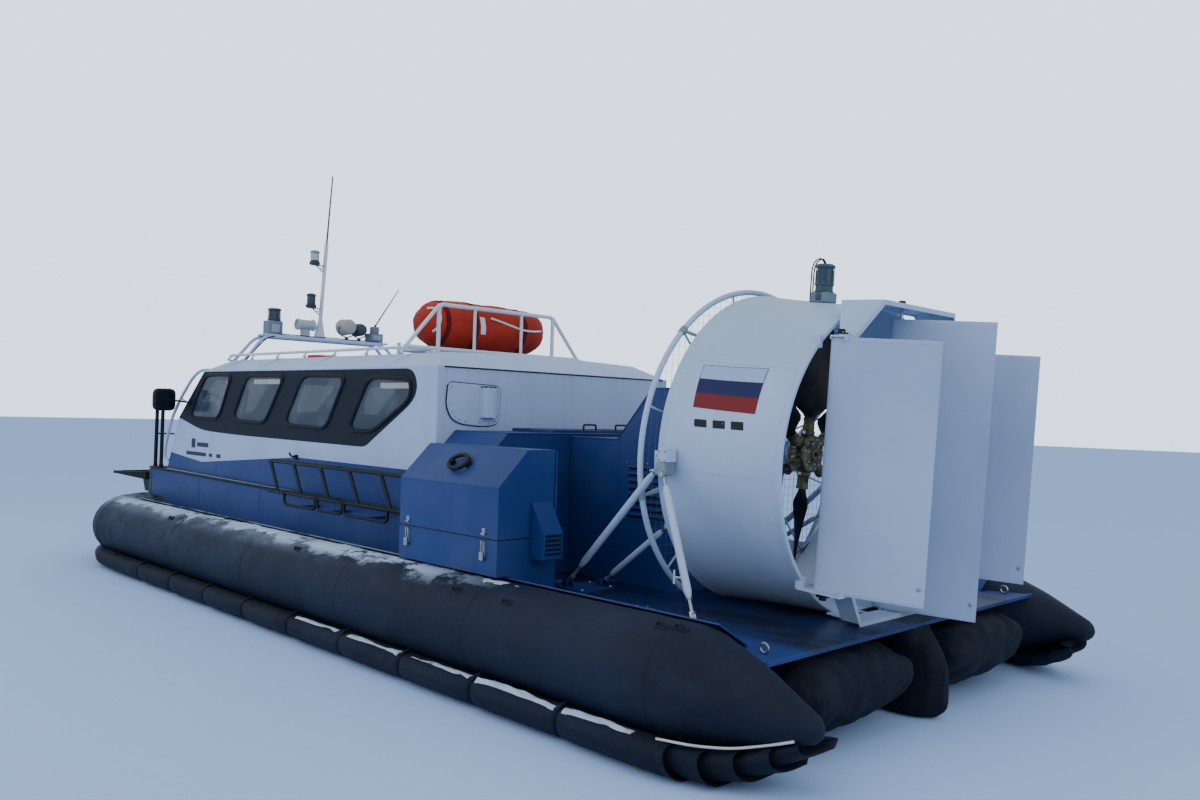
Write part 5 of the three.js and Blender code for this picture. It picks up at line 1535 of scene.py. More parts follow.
add_duct()
add_duct_marks()
for rudder_name, rudder_at, rudder_half in RUDDERS:
    add_rudder(rudder_name, rudder_at, rudder_half)
add_propeller()
add_guard()
add_bearing()
add_lantern()
for turn_side, turn_name in SIDES:
    add_struts(turn_side, turn_name)


# Cabin

FACING_AFT = axes((0, -1, 0), (0, 0, 1), (-1, 0, 0))
CABIN_HALF = 1.150
CABIN_REAR = 3.270
HEAD = (7.000, 1.860)
NOSE = (7.560, 1.410)
FOOT = (7.800, 0.902)
PAINT_LINE = 1.10
# Side windows, from the bow aft: corners as station, height
SIDE_WINDOWS = (
    ((7.290, 1.425), (6.960, 1.815), (6.420, 1.815), (6.660, 1.425)),
    ((6.360, 1.425), (6.100, 1.805), (5.430, 1.800), (5.750, 1.412)),
    ((5.390, 1.412), (5.110, 1.800), (4.460, 1.792), (4.730, 1.397)),
    ((4.390, 1.395), (4.120, 1.782), (3.630, 1.768), (3.590, 1.740), (3.590, 1.640), (4.060, 1.397)),
)

# Plain bars on each side wall: forward and aft station, foot and top
NAME_BARS = (
    (7.238, 7.150, 1.135, 1.222), (7.110, 6.860, 1.150, 1.190), (7.354, 6.904, 1.064, 1.098),
    (6.840, 6.770, 1.066, 1.096), (6.680, 6.590, 1.064, 1.098),
)


def wall_frame(side, y):
    """A frame flat on a side wall, its z outwards."""
    return axes((-side, 0, 0), (0, 0, 1), (0, side, 0)) @ shift(0, 0, y)


def chine(x):
    """Height of the hull box's chine at a station."""
    return 0.850 + 0.050 * (x - CABIN_REAR) / 4.850


def rivet_row(piece, places, normal, material, radius=RIVET):
    piece.bolts(places, normal, material, radius, 0.4)


def on_wall(side, points):
    return [(-side * (s - STERN), z) for s, z in points]


def grown(points, distance):
    loop = points if area(points) > 0 else points[::-1]
    return inset_loop(loop, -distance)


def add_cabin_side(side, name):
    piece = Piece(f"{name}_window_band")
    panes = Piece(f"{name}_window_panes")
    wall = wall_frame(side, CABIN_HALF)
    band = ((7.553, 1.414), (7.020, 1.305), (6.300, 1.288), (4.160, 1.276), (3.545, 1.620), (3.500, 1.730),
            (3.565, 1.846), (7.008, 1.853))
    loop = rounded_loop(on_wall(side, band), [0.01, 0.2, 0.3, 0.05, 0.12, 0.08, 0.09, 0.01])
    holes = []
    for corners in SIDE_WINDOWS:
        opening = grown(on_wall(side, corners), 0.004)
        holes.append(rounded_loop(opening, 0.004))
        outer = rounded_loop(grown(on_wall(side, corners), 0.022), 0.105)
        inner = rounded_loop(grown(on_wall(side, corners), -0.008), 0.090)
        piece.plate([outer, inner], -0.030, 0.013, GASKET, wall, edge=0.005)
        pane = rounded_loop(grown(on_wall(side, corners), -0.005), 0.090)
        panes.plate([pane], -0.006, 0.001, GLASS, wall, edge=0.001)
        # A filler strip sits in the gasket's groove
        middle = rounded_loop(grown(on_wall(side, corners), 0.008), 0.096, 5)
        piece.tube([wall @ Vector((x, y, 0.0125)) for x, y in middle], 0.0035, BLACK, 6, loop=True)
    piece.plate([loop] + holes, SKIN_GAP, 0.0022, NAVY, wall, edge=0.0006)
    panes.done(replaces=[f"side_glass_{name}"])
    # Blue paint on the lower part of the wall
    paint_line = ((7.797, 0.906), (7.722, 1.068), (7.000, 1.010), (5.170, 1.147), (3.272, 1.143),
                  (3.272, 0.852))
    piece.plate([on_wall(side, paint_line)], SKIN_GAP, 0.0014, BLUE, wall)
    # Lap of the side panel over the rear corner, rows of rivets up the side and one along the foot
    for x, z0, z1 in ((3.300, 0.870, 1.845), (4.250, 0.880, 1.262), (5.900, 0.890, 1.272)):
        strip = on_wall(side, rect(x - 0.018, x + 0.018, z0, z1))
        if x < 4:
            piece.plate([strip], SKIN_GAP, 0.0018, WHITE, wall, edge=0.0005)
        for z in steps(z0 + 0.04, z1 - 0.03, 0.06):
            colour = BLUE if z < PAINT_LINE else WHITE
            piece.dome(at(x, side * (CABIN_HALF + 0.0015), z), (0, side, 0), RIVET, colour, 0.4, 6)
    for x in steps(3.32, 7.70, 0.075):
        piece.dome(at(x, side * (CABIN_HALF + 0.001), chine(x) + 0.022), (0, side, 0), RIVET, BLUE, 0.4, 6)
    for x0, x1, z0, z1 in NAME_BARS:
        bar = on_wall(side, rect(x0, x1, z0, z1))
        piece.plate([bar], SKIN_GAP, 0.0012, NAME_GREY, wall)
    # White grab rail round the front corner
    rail = ((6.985, 1.120, 1.872), (7.060, 1.165, 1.868), (7.200, 1.182, 1.790), (7.440, 1.186, 1.600),
            (7.640, 1.186, 1.400), (7.760, 1.184, 1.180), (7.812, 1.180, 1.020), (7.770, 1.150, 0.985))
    piece.tube(sided(side, *rail), 0.014, WHITE, 12, bend=0.08)
    for s, z in ((7.440, 1.600), (7.700, 1.290)):
        piece.tube(sided(side, (s, 1.186, z), (s - 0.060, 1.145, z - 0.040)), 0.008, WHITE, 8)
    return piece.done()


def slope_frame(top, foot):
    """A frame on a sloping front wall: x to port, y up the slope, z outwards."""
    a, b = at(top[0], 0, top[1]), at(foot[0], 0, foot[1])
    up = (a - b).normalized()
    port = Vector((0, 1, 0))
    return Matrix.Translation(a) @ axes(port, up, port.cross(up))


def slope_loop(y0, y1, down0, down1, radius=0.0):
    loop = rect(y0, y1, -down1, -down0)
    return rounded_loop(loop, radius) if radius else loop


def add_cabin_front():
    piece = Piece("front_band_and_seals")
    screen = slope_frame(HEAD, NOSE)
    wall = slope_frame(NOSE, FOOT)
    holes = [slope_loop(0.432, 1.038, 0.072, 0.638), slope_loop(-1.038, -0.432, 0.072, 0.638),
             slope_loop(-0.356, 0.356, 0.030, 0.680)]
    piece.plate([slope_loop(-1.105, 1.105, 0.004, 0.714, 0.004)] + holes, SKIN_GAP, 0.0030, NAVY, screen,
                edge=0.0008)
    for y0, y1 in ((0.432, 1.038), (-1.038, -0.432)):
        outer = slope_loop(y0 - 0.022, y1 + 0.022, 0.050, 0.660, 0.07)
        inner = slope_loop(y0 + 0.010, y1 - 0.010, 0.082, 0.628, 0.05)
        piece.plate([outer, inner], -0.030, 0.012, GASKET, screen, edge=0.004)
        # Wiper: spindle, arm and blade
        foot = (y0 + y1) / 2 + 0.22
        piece.tube([screen @ Vector((foot, -0.690, 0.0)), screen @ Vector((foot, -0.690, 0.035))], 0.016,
                   BLACK, 14)
        piece.tube([screen @ Vector((foot, -0.690, 0.030)), screen @ Vector((foot - 0.10, -0.420, 0.024))],
                   0.006, BLACK, 8)
        piece.tube([screen @ Vector((foot - 0.22, -0.470, 0.018)),
                    screen @ Vector((foot + 0.02, -0.350, 0.018))], 0.006, BLACK, 8)
    # Blue below a white band, as on the sides, split by the door's opening
    for y0, y1 in ((0.362, 1.105), (-1.105, -0.362)):
        piece.plate([slope_loop(y0, y1, 0.380, 0.556)], SKIN_GAP, 0.0015, BLUE, wall)
        row = [wall @ Vector((y, -0.540, 0.0015)) for y in steps(y0 + 0.03, y1 - 0.03, 0.075)]
        rivet_row(piece, row, wall.to_3x3() @ Vector((0, 0, 1)), BLUE)
    # Edge strips at the corners
    for side in (1, -1):
        for top, foot in ((HEAD, NOSE), (NOSE, FOOT)):
            a, b = at(top[0], side * 1.112, top[1]), at(foot[0], side * 1.112, foot[1])
            piece.tube([a, b], 0.009, NAVY if top is HEAD else WHITE, 8)
    return piece.done()


def add_hatch_trim():
    """The bow hatch's seal, hinges and catch, and the bow door's, each riding on what it belongs to."""
    screen = slope_frame(HEAD, NOSE)
    wall = slope_frame(NOSE, FOOT)
    hatch = Piece("bow_hatch_seal")
    outer = slope_loop(-0.290, 0.290, 0.096, 0.612, 0.05)
    inner = slope_loop(-0.268, 0.268, 0.118, 0.590, 0.04)
    hatch.plate([outer, inner], -0.006, 0.006, GASKET, screen, edge=0.002)
    for y in (-0.22, 0.22):
        hatch.box((y - 0.035, -0.100, -0.003), (y + 0.035, -0.048, 0.008), BLACK, 0.003, screen)
        hatch.tube([screen @ Vector((y - 0.035, -0.046, 0.004)), screen @ Vector((y + 0.035, -0.046, 0.004))],
                   0.008, BLACK, 12)
    hatch.box((-0.030, -0.650, -0.003), (0.030, -0.622, 0.014), STEEL, 0.004, screen)
    hatch.done(body="bow_hatch")
    door = Piece("bow_door_trim")
    outer = slope_loop(-0.335, 0.335, 0.040, 0.490, 0.03)
    inner = slope_loop(-0.318, 0.318, 0.057, 0.473, 0.02)
    door.plate([outer, inner], -0.004, 0.002, BLUE, wall, edge=0.001)
    for down in (0.11, 0.42):
        door.box((0.255, -down - 0.022, -0.004), (0.338, -down + 0.022, 0.007), BLACK, 0.002, wall)
    door.box((-0.300, -0.285, -0.004), (-0.262, -0.225, 0.006), STEEL, 0.003, wall)
    door.tube([wall @ Vector((-0.281, -0.240, 0.004)), wall @ Vector((-0.281, -0.240, 0.030)),
               wall @ Vector((-0.190, -0.240, 0.032))], 0.007, STEEL, 10, bend=0.02)
    door.done(body="bow_door")


def add_rear_wall():
    piece = Piece("rear_wall_fittings")
    x = CABIN_REAR
    back = Matrix.Translation(at(x, 0, 0)) @ FACING_AFT

    def loop_at(points):
        turned = [(-y, z) for y, z in points]
        return turned if area(turned) > 0 else turned[::-1]

    cover = loop_at(((0.620, 1.740), (1.070, 1.755), (1.082, 1.600), (1.040, 1.510), (0.960, 1.475),
                     (0.800, 1.460), (0.680, 1.466), (0.630, 1.490)))
    cover = rounded_loop(cover, 0.04, 4)
    piece.plate([cover], 0.0005, 0.0125, WHITE, back, edge=0.002)
    piece.tube([back @ Vector((u, v, 0.004)) for u, v in cover], 0.0065, GASKET, 8, loop=True)
    heads = [back @ Vector((u, v, 0.0125)) for u, v in inset_loop(cover, 0.022)[::3]]
    piece.bolts(heads, (-1, 0, 0), STEEL, 0.0075, 0.8)
    # Rivets round the wall and on its seams
    rivets = [(y, z) for y in (1.085, 0.560, 0.0, -0.560, -1.085) for z in steps(1.46, 1.82, 0.085)]
    rivets += [(y, 1.835) for y in steps(-1.08, 1.08, 0.09)]
    piece.bolts([at(x - 0.0005, y, z) for y, z in rivets], (-1, 0, 0), STEEL, 0.0055, 0.5)
    # Edge strip and the dark joint under the roof
    for side in (1, -1):
        strip = loop_at(rect(side * 1.098, side * 1.110, 1.44, 1.855))
        piece.plate([strip], SKIN_GAP, 0.004, WHITE, back, edge=0.001)
    piece.box(at(x - 0.006, -1.10, 1.853), at(x + 0.002, 1.10, 1.8635), BLACK, 0.002)
    # Rim on the cowl's lip
    rim = [(math.cos(math.pi * k / 12) * 0.060, math.sin(math.pi * k / 12) * 0.060) for k in range(13)]
    piece.tube([at(x - 0.008 - dy, 0.735 + dx, 1.730) for dx, dy in rim], 0.006, GASKET, 8)
    return piece.done()


# Roof


def add_roof_rack():
    piece = Piece("roof_rails_and_rack")
    aft, front, y, low, high, r = 4.080, 4.620, 0.585, 2.035, 2.375, 0.016

    def rod(a, b, radius=r):
        piece.tube([at(*a), at(*b)], radius, RAIL_WHITE, 14)

    for s in (1, -1):
        piece.tube([at(4.045, s * 0.9, 2.022), at(6.96, s * 0.9, 2.022), at(7.020, s * 0.9, 2.010)], 0.012,
                   RAIL_WHITE, 12, bend=0.03)
        post = 4.070
        while post <= 7.020:
            rod((post, s * 0.9, 2.024), (post, s * 0.915, 1.985), 0.009)
            piece.tube([at(post, s * 0.915, 1.987), at(post, s * 0.921, 1.975)], 0.016, RAIL_WHITE, 12)
            post += 0.490
        rod((front, s * y, low), (aft, s * y, low))
        piece.tube([at(aft, s * y, 1.990), at(aft, s * y, high - 0.02), at(aft, s * (y - 0.03), high)], r,
                   RAIL_WHITE, 14, bend=0.02)
        rod((front, s * 0.330, 2.031), (aft, s * 0.330, 2.031), 0.010)
        rod((aft, s * (y - 0.004), high - 0.003), (aft, s * 0.893, low - 0.018), r - 0.001)
        rod((front, s * y, 1.990), (front, s * y, low + 0.060))
        rod((aft, s * 0.240, low - 0.005), (aft, s * 0.240, high), r - 0.003)
    rod((aft, 0.893, low - 0.003), (aft, -0.893, low - 0.003))
    rod((aft, y - 0.02, high), (aft, -y + 0.02, high))
    rod((front, y, low), (front, -y, low))
    return piece.done(replaces=["roof_rack"], sharp=40)


RAFT_X = 4.345
RAFT_Z = 2.2463
RAFT_RINGS = ((-0.640, 0.060), (-0.630, 0.095), (-0.600, 0.140), (-0.560, 0.170), (-0.500, 0.190),
              (-0.330, 0.202), (0.330, 0.202), (0.450, 0.190), (0.510, 0.165), (0.550, 0.135), (0.582, 0.095),
              (0.595, 0.050))


def raft_point(y, turn, lift=0.0):
    """A point on the raft's packed case, at an angle round it from the bow side upwards."""
    r = table(RAFT_RINGS, y, 1, 0.03)
    c, s = math.cos(turn), math.sin(turn)
    wave = 0.010 * noise.noise(Vector((y * 3.1, c * 1.6, s * 1.6))) + 0.004 * noise.noise(
        Vector((y * 12, c * 5, s * 5)))
    # The case is gathered between its straps
    gather = 0.006 * abs(math.sin(y * 9.0))
    grow = wave - 0.010 + gather
    point = Vector((c * (r * 1.06 + grow), 0, s * (r + grow)))
    flat = -0.2025
    point.z = max(point.z, flat)
    out = Vector((c, 0, s))
    return at(RAFT_X, y, RAFT_Z) + point + out * lift


def add_raft():
    piece = Piece("life_raft_case")
    rings = []
    for y in steps(-0.640, 0.595, 0.016):
        rings.append([raft_point(y, math.tau * k / 64) for k in range(64)])
    piece.skin(rings, RAFT_RED)
    # Webbing straps round the case
    for y in (-0.34, 0.17, 0.44):
        ring = []
        for dy, lift in ((-0.019, -0.003), (-0.019, 0.0035), (0.019, 0.0035), (0.019, -0.003)):
            ring.append([raft_point(y + dy, math.tau * k / 64, lift) for k in range(64)])
        around = [[ring[j][k] for j in range(4)] for k in range(64)]
        piece.skin(around, RAFT_STRAP, loop=True)
    # White tape and the grab rope on the aft side
    tape = []
    for k in range(13):
        turn = math.radians(158 + 3.4 * k)
        tape.append([raft_point(0.115 + dy - 0.0009 * k, turn, lift) for dy, lift in (
            (-0.024, -0.003), (-0.024, 0.004), (0.024, 0.004), (0.024, -0.003))])
    piece.skin(tape, ROPE)
    rope = [(0.02, 158), (-0.06, 164), (-0.16, 172), (-0.27, 179), (-0.40, 181), (-0.52, 177)]
    piece.tube([raft_point(y, math.radians(a), 0.007) for y, a in rope], 0.0085, ROPE, 10, bend=0.05)
    loop = [(0.555, 118), (0.520, 132), (0.500, 150), (0.500, 172), (0.515, 194), (0.540, 212)]
    piece.tube([raft_point(y, math.radians(a), 0.008) for y, a in loop], 0.009, ROPE, 10, bend=0.05)
    raft = piece.done(replaces=["life_raft"], sharp=60)
    return raft


def upright(x, y, z):
    """A frame whose x axis points up, for turned shapes that stand on the roof."""
    return posed(at(x, y, z), -math.pi / 2, "Y")


def athwart(x, y, z):
    """A frame whose x axis points to port."""
    return posed(at(x, y, z), math.pi / 2, "Z")


ARCH_X = 7.000
ARCH_BACK = 0.170
PLATE_TOP = 2.246


def add_arch():
    piece = Piece("equipment_arch_and_gear")
    for i in (0, 1):
        x = ARCH_X - ARCH_BACK * i
        line = [(x - i * 0.060, 0.880, 1.962), (x, 0.660, 2.222), (x, -0.660, 2.222),
                (x - i * 0.060, -0.880, 1.962)]
        piece.tube([at(*p) for p in line], 0.015, WHITE, 16, bend=0.09)
        for s in (1, -1):
            piece.tube([at(x - i * 0.060, s * 0.877, 1.966), at(x - i * 0.060, s * 0.886, 1.955)], 0.030,
                       WHITE, 16)
    outline = rect(ARCH_X - ARCH_BACK - 0.010 - STERN, ARCH_X + 0.025 - STERN, -0.720, 0.640)
    slots = []
    for y in (-0.55, -0.18, 0.32):
        x0, x1 = ARCH_X - 0.150 - STERN, ARCH_X - 0.120 - STERN
        slots.append(rounded_loop([(x0, y), (x0, y + 0.10), (x1, y + 0.10), (x1, y)], 0.012))
    piece.plate([rounded_loop(outline, 0.02)] + slots, 2.230, PLATE_TOP, WHITE, edge=0.002)
    # Signal lamp: box, drum with a dark lens, cap
    piece.box(at(6.895, 0.435, PLATE_TOP - 0.002), at(7.018, 0.585, 2.384), GEAR_GREY, 0.008)
    piece.box(at(6.888, 0.470, 2.270), at(6.896, 0.555, 2.350), GEAR_LIGHT, 0.002)
    piece.lathe([(0.000, 0.0), (0.000, 0.060), (0.012, 0.064), (0.024, 0.058), (0.030, 0.054), (0.098, 0.052),
                 (0.100, 0.063), (0.118, 0.063), (0.124, 0.050), (0.126, 0.0)], GEAR_DARK, 32,
                upright(6.955, 0.500, 2.384))
    piece.lathe([(0.034, 0.0), (0.034, 0.0560), (0.094, 0.0545), (0.094, 0.0)], LENS, 32,
                upright(6.955, 0.500, 2.384))
    for k in range(6):
        turn = math.tau * k / 6
        cage = [at(6.955 + 0.0605 * math.cos(turn), 0.500 + 0.0605 * math.sin(turn), z)
                for z in (2.408, 2.490)]
        piece.tube(cage, 0.003, GEAR_DARK, 6)
    # Horn: a white drum on a foot, with end flanges
    piece.lathe([(-0.094, 0.0), (-0.094, 0.048), (-0.090, 0.057), (-0.078, 0.058), (-0.074, 0.051),
                 (-0.060, 0.050), (0.050, 0.050), (0.066, 0.052), (0.070, 0.057), (0.092, 0.057),
                 (0.095, 0.050), (0.095, 0.040), (0.080, 0.036), (0.080, 0.0)], HORN_WHITE, 40,
                athwart(6.960, 0.165, 2.375))
    piece.box(at(6.932, 0.123, PLATE_TOP - 0.002), at(6.988, 0.207, 2.330), HORN_WHITE, 0.006)
    for y in (0.135, 0.195):
        piece.dome(at(6.960, y, PLATE_TOP + 0.002), (0, 0, 1), 0.008, STEEL, 0.8, 6)
    # Two searchlights on yokes: y, height, radius, half length, body
    for y, z, r, half, body in ((-0.300, 2.390, 0.084, 0.085, BEIGE),
                                (-0.445, 2.372, 0.068, 0.074, GEAR_DARK)):
        x = 6.955
        drum = Matrix.Translation(at(x, y, z))
        piece.lathe([(-half, 0.0), (-half, r * 0.55), (-half * 0.85, r * 0.82), (-half * 0.5, r * 0.95),
                     (half * 0.6, r * 0.97), (half * 0.64, r), (half, r), (half, r * 0.90),
                     (half * 0.85, r * 0.86), (half * 0.85, 0.0)], body, 40, drum)
        piece.lathe([(half * 0.86, 0.0), (half * 0.86, r * 0.85), (half * 0.93, r * 0.6), (half * 0.95, 0.0)],
                    LENS, 32, drum)
        yoke = [at(x, y + r + 0.008, z), at(x, y + r + 0.008, z - r * 0.9), at(x, y, z - r - 0.028),
                at(x, y - r - 0.008, z - r * 0.9), at(x, y - r - 0.008, z)]
        piece.tube(yoke, 0.006, GEAR_DARK, 8, bend=0.03)
        for s in (1, -1):
            piece.dome(at(x, y + s * (r + 0.010), z), (0, s, 0), 0.014, STEEL, 0.8, 6)
        piece.tube([at(x, y, PLATE_TOP - 0.002), at(x, y, z - r - 0.020)], 0.018, GEAR_DARK, 16)
    # Radio box with its tuner and whip
    piece.box(at(6.885, -0.695, PLATE_TOP - 0.002), at(7.008, -0.545, 2.344), GEAR_GREY, 0.006)
    piece.box(at(6.903, -0.658, 2.342), at(6.978, -0.582, 2.418), GEAR_GREY, 0.008)
    piece.box(at(6.878, -0.670, 2.275), at(6.886, -0.570, 2.325), GEAR_LIGHT, 0.002)
    piece.tube([at(6.940, -0.620, 2.415), at(6.940, -0.632, 2.436)], 0.012, BLACK, 12)
    piece.tube([at(6.940, -0.632, 2.434), at(6.940, -0.897, 2.832)], 0.0035, BLACK, 8,
               radii=[0.0075, 0.0050])
    piece.dome(at(6.940, -0.897, 2.832), (0, -0.55, 0.83), 0.008, BLACK, 1.2, 8)
    # Cables clipped under the plate
    for y0, y1, sag in ((0.50, 0.16, 0.004), (0.16, -0.30, 0.005), (-0.30, -0.62, 0.004)):
        run = [at(6.855, y0, PLATE_TOP + 0.007), at(6.850, (y0 + y1) / 2, PLATE_TOP + 0.005 + sag),
               at(6.855, y1, PLATE_TOP + 0.007)]
        piece.tube(run, 0.005, BLACK, 8, bend=0.05)
    piece.tube([at(6.760, 0.872, 1.975), at(6.815, 0.640, 2.205), at(6.815, 0.560, 2.226)], 0.006, BLACK, 8,
               bend=0.08)
    return piece.done(replaces=["equipment_arch"])


def add_mast():
    piece = Piece("light_mast")
    z = PLATE_TOP + 0.0004
    # Tapered base: aft and forward edge, half width, height
    base = ((-0.055, 0.030, 0.055, z), (-0.055, 0.030, 0.055, z + 0.008), (-0.050, 0.018, 0.042, z + 0.030),
            (-0.042, -0.010, 0.018, 2.430), (-0.040, -0.012, 0.016, 2.440))
    rings = []
    for x0, x1, half, height in base:
        rings.append([at(6.990 + x0, half, height), at(6.990 + x0, -half, height),
                      at(6.990 + x1, -half, height), at(6.990 + x1, half, height)])
    piece.skin(rings, RAIL_WHITE)
    feet = [at(6.990 + x, y, z + 0.012) for x in (-0.040, 0.018) for y in (0.040, -0.040)]
    piece.bolts(feet, (0, 0, 1), STEEL, 0.007, 0.9)
    piece.tube([at(6.968, 0, 2.390), at(6.890, 0, 3.190)], 0.019, RAIL_WHITE, 20)
    piece.tube([at(6.8935, 0, 3.150), at(6.8885, 0, 3.205)], 0.0205, RAIL_WHITE, 20)
    piece.tube([at(6.895, 0, 3.130), at(6.812, 0, 3.880)], 0.006, MAST_GREY, 10, radii=[0.0105, 0.0070])
    # Two lights to port on brackets: x, height, lens
    for x, height, lens in ((6.915, 2.990, LENS_CLEAR), (6.960, 2.560, LENS)):
        piece.box(at(x - 0.020, -0.004, height - 0.014), at(x + 0.020, 0.138, height - 0.006), GEAR_GREY,
                  0.002)
        piece.tube([at(x, 0.012, height - 0.075), at(x, 0.090, height - 0.014)], 0.006, GEAR_GREY, 8)
        piece.lathe([(-0.006, 0.0), (-0.006, 0.050), (0.006, 0.053), (0.020, 0.053), (0.026, 0.044),
                     (0.036, 0.042), (0.038, 0.0)], GEAR_DARK, 28, upright(x, 0.110, height))
        piece.lathe([(0.036, 0.0), (0.036, 0.041), (0.060, 0.043), (0.106, 0.041), (0.108, 0.0)], lens, 28,
                    upright(x, 0.110, height))
        piece.lathe([(0.106, 0.0), (0.106, 0.045), (0.118, 0.047), (0.130, 0.042), (0.138, 0.018),
                     (0.139, 0.0)], GEAR_DARK if lens is LENS else GEAR_GREY, 28, upright(x, 0.110, height))
        piece.tube([at(x + 0.01, 0.075, height - 0.016), at(x + 0.012, 0.05, height - 0.045),
                    at(x + 0.006, 0.016, height - 0.030)], 0.004, BLACK, 8, bend=0.02)
    return piece.done(body="mast", replaces=["mast"])


def add_roof_details():
    piece = Piece("roof_board_and_seams")
    # Red board that lies on the roof behind the arch
    board = posed(at(6.330, 0.080, 2.0005), math.radians(4), "Z")
    loop = rounded_loop(rect(-0.110, 0.110, -0.360, 0.360), 0.06)
    piece.plate([loop], 0.003, 0.042, RAFT_RED, board, edge=0.008)
    for y in (-0.2, 0.2):
        piece.box((-0.104, y - 0.016, 0.040), (0.104, y + 0.016, 0.046), BLACK, 0.002, board)
    for y in (-0.270, 0.270):
        piece.box((-0.060, y - 0.030, -0.004), (0.060, y + 0.030, 0.006), BLACK, 0.002, board)
    # Raised seams across the roof
    for x in (3.90, 5.05, 5.95, 6.65):
        line = [at(x, 1.120, 1.893), at(x, 0.930, 1.9712), at(x, 0.0, 2.0015), at(x, -0.930, 1.9712),
                at(x, -1.120, 1.893)]
        piece.tube(line, 0.0035, WHITE, 6)
    return piece.done()


for turn_side, turn_name in SIDES:
    add_cabin_side(turn_side, turn_name)
add_cabin_front()
add_hatch_trim()
add_rear_wall()
add_roof_rack()
add_raft()
add_arch()
add_mast()
add_roof_details()


# Hull box, lockers and machinery covers

DECK_TOP = 0.500
BOX_HALF = 1.200
HOUSING_HALF = 0.450


def add_hull_box_details():
    piece = Piece("hull_box_seams")
    for side in (1, -1):
        y = side * BOX_HALF
        out = (0, side, 0)
        # Joint strip below the chine, rivets along it and the vertical laps of the side sheets
        joint = on_wall(side, ((3.275, chine(3.275) - 0.016), (8.050, chine(8.050) - 0.016),
                               (8.050, chine(8.050) + 0.010), (3.275, chine(3.275) + 0.010)))
        piece.plate([joint], SKIN_GAP, 0.004, GASKET, wall_frame(side, BOX_HALF))
        rivet_row(piece, [at(x, y + side * 0.0005, chine(x) - 0.034) for x in steps(3.30, 8.09, 0.06)], out,
                  BLUE)
        for x in (4.480, 5.710, 6.930):
            lap = on_wall(side, rect(x - 0.016, x + 0.016, 0.660, chine(x) - 0.020))
            piece.plate([lap], SKIN_GAP, 0.0016, BLUE, wall_frame(side, BOX_HALF), edge=0.0004)
            rivet_row(piece, [at(x + dx, y + side * 0.0012, z) for dx in (-0.009, 0.009)
                              for z in steps(0.680, chine(x) - 0.050, 0.05)], out, BLUE, 0.0034)
        # Small black cleats on the coaming
        cleat = side * 1.262
        for x in (6.720, 4.050, 7.600):
            piece.block(x - 0.050, x + 0.050, cleat, 0.018, 0.512, 0.548, BLACK, 0.006)
            piece.tube([at(x - 0.075, cleat, 0.570), at(x - 0.030, cleat, 0.578),
                        at(x + 0.030, cleat, 0.578), at(x + 0.075, cleat, 0.570)], 0.010, BLACK, 10,
                       bend=0.02)
            for leg in (x - 0.024, x + 0.024):
                piece.tube([at(leg, cleat, 0.546), at(leg, cleat, 0.576)], 0.009, BLACK, 8)
        # Catch that holds the folded ladder's upper rail
        piece.box(at(5.150, side * 1.149, 1.128), at(5.200, side * 1.149 + side * 0.014, 1.168), BLACK, 0.003)
        piece.tube(sided(side, (5.175, 1.158, 1.150), (5.175, 1.200, 1.156), (5.175, 1.215, 1.185)),
                   0.007, BLACK, 10, bend=0.02)
        # Dark guard round the bow corner
        piece.block(8.060, 8.128, side * 1.194, 0.010, 0.640, 0.892, GEAR_DARK, 0.004)
    return piece.done()


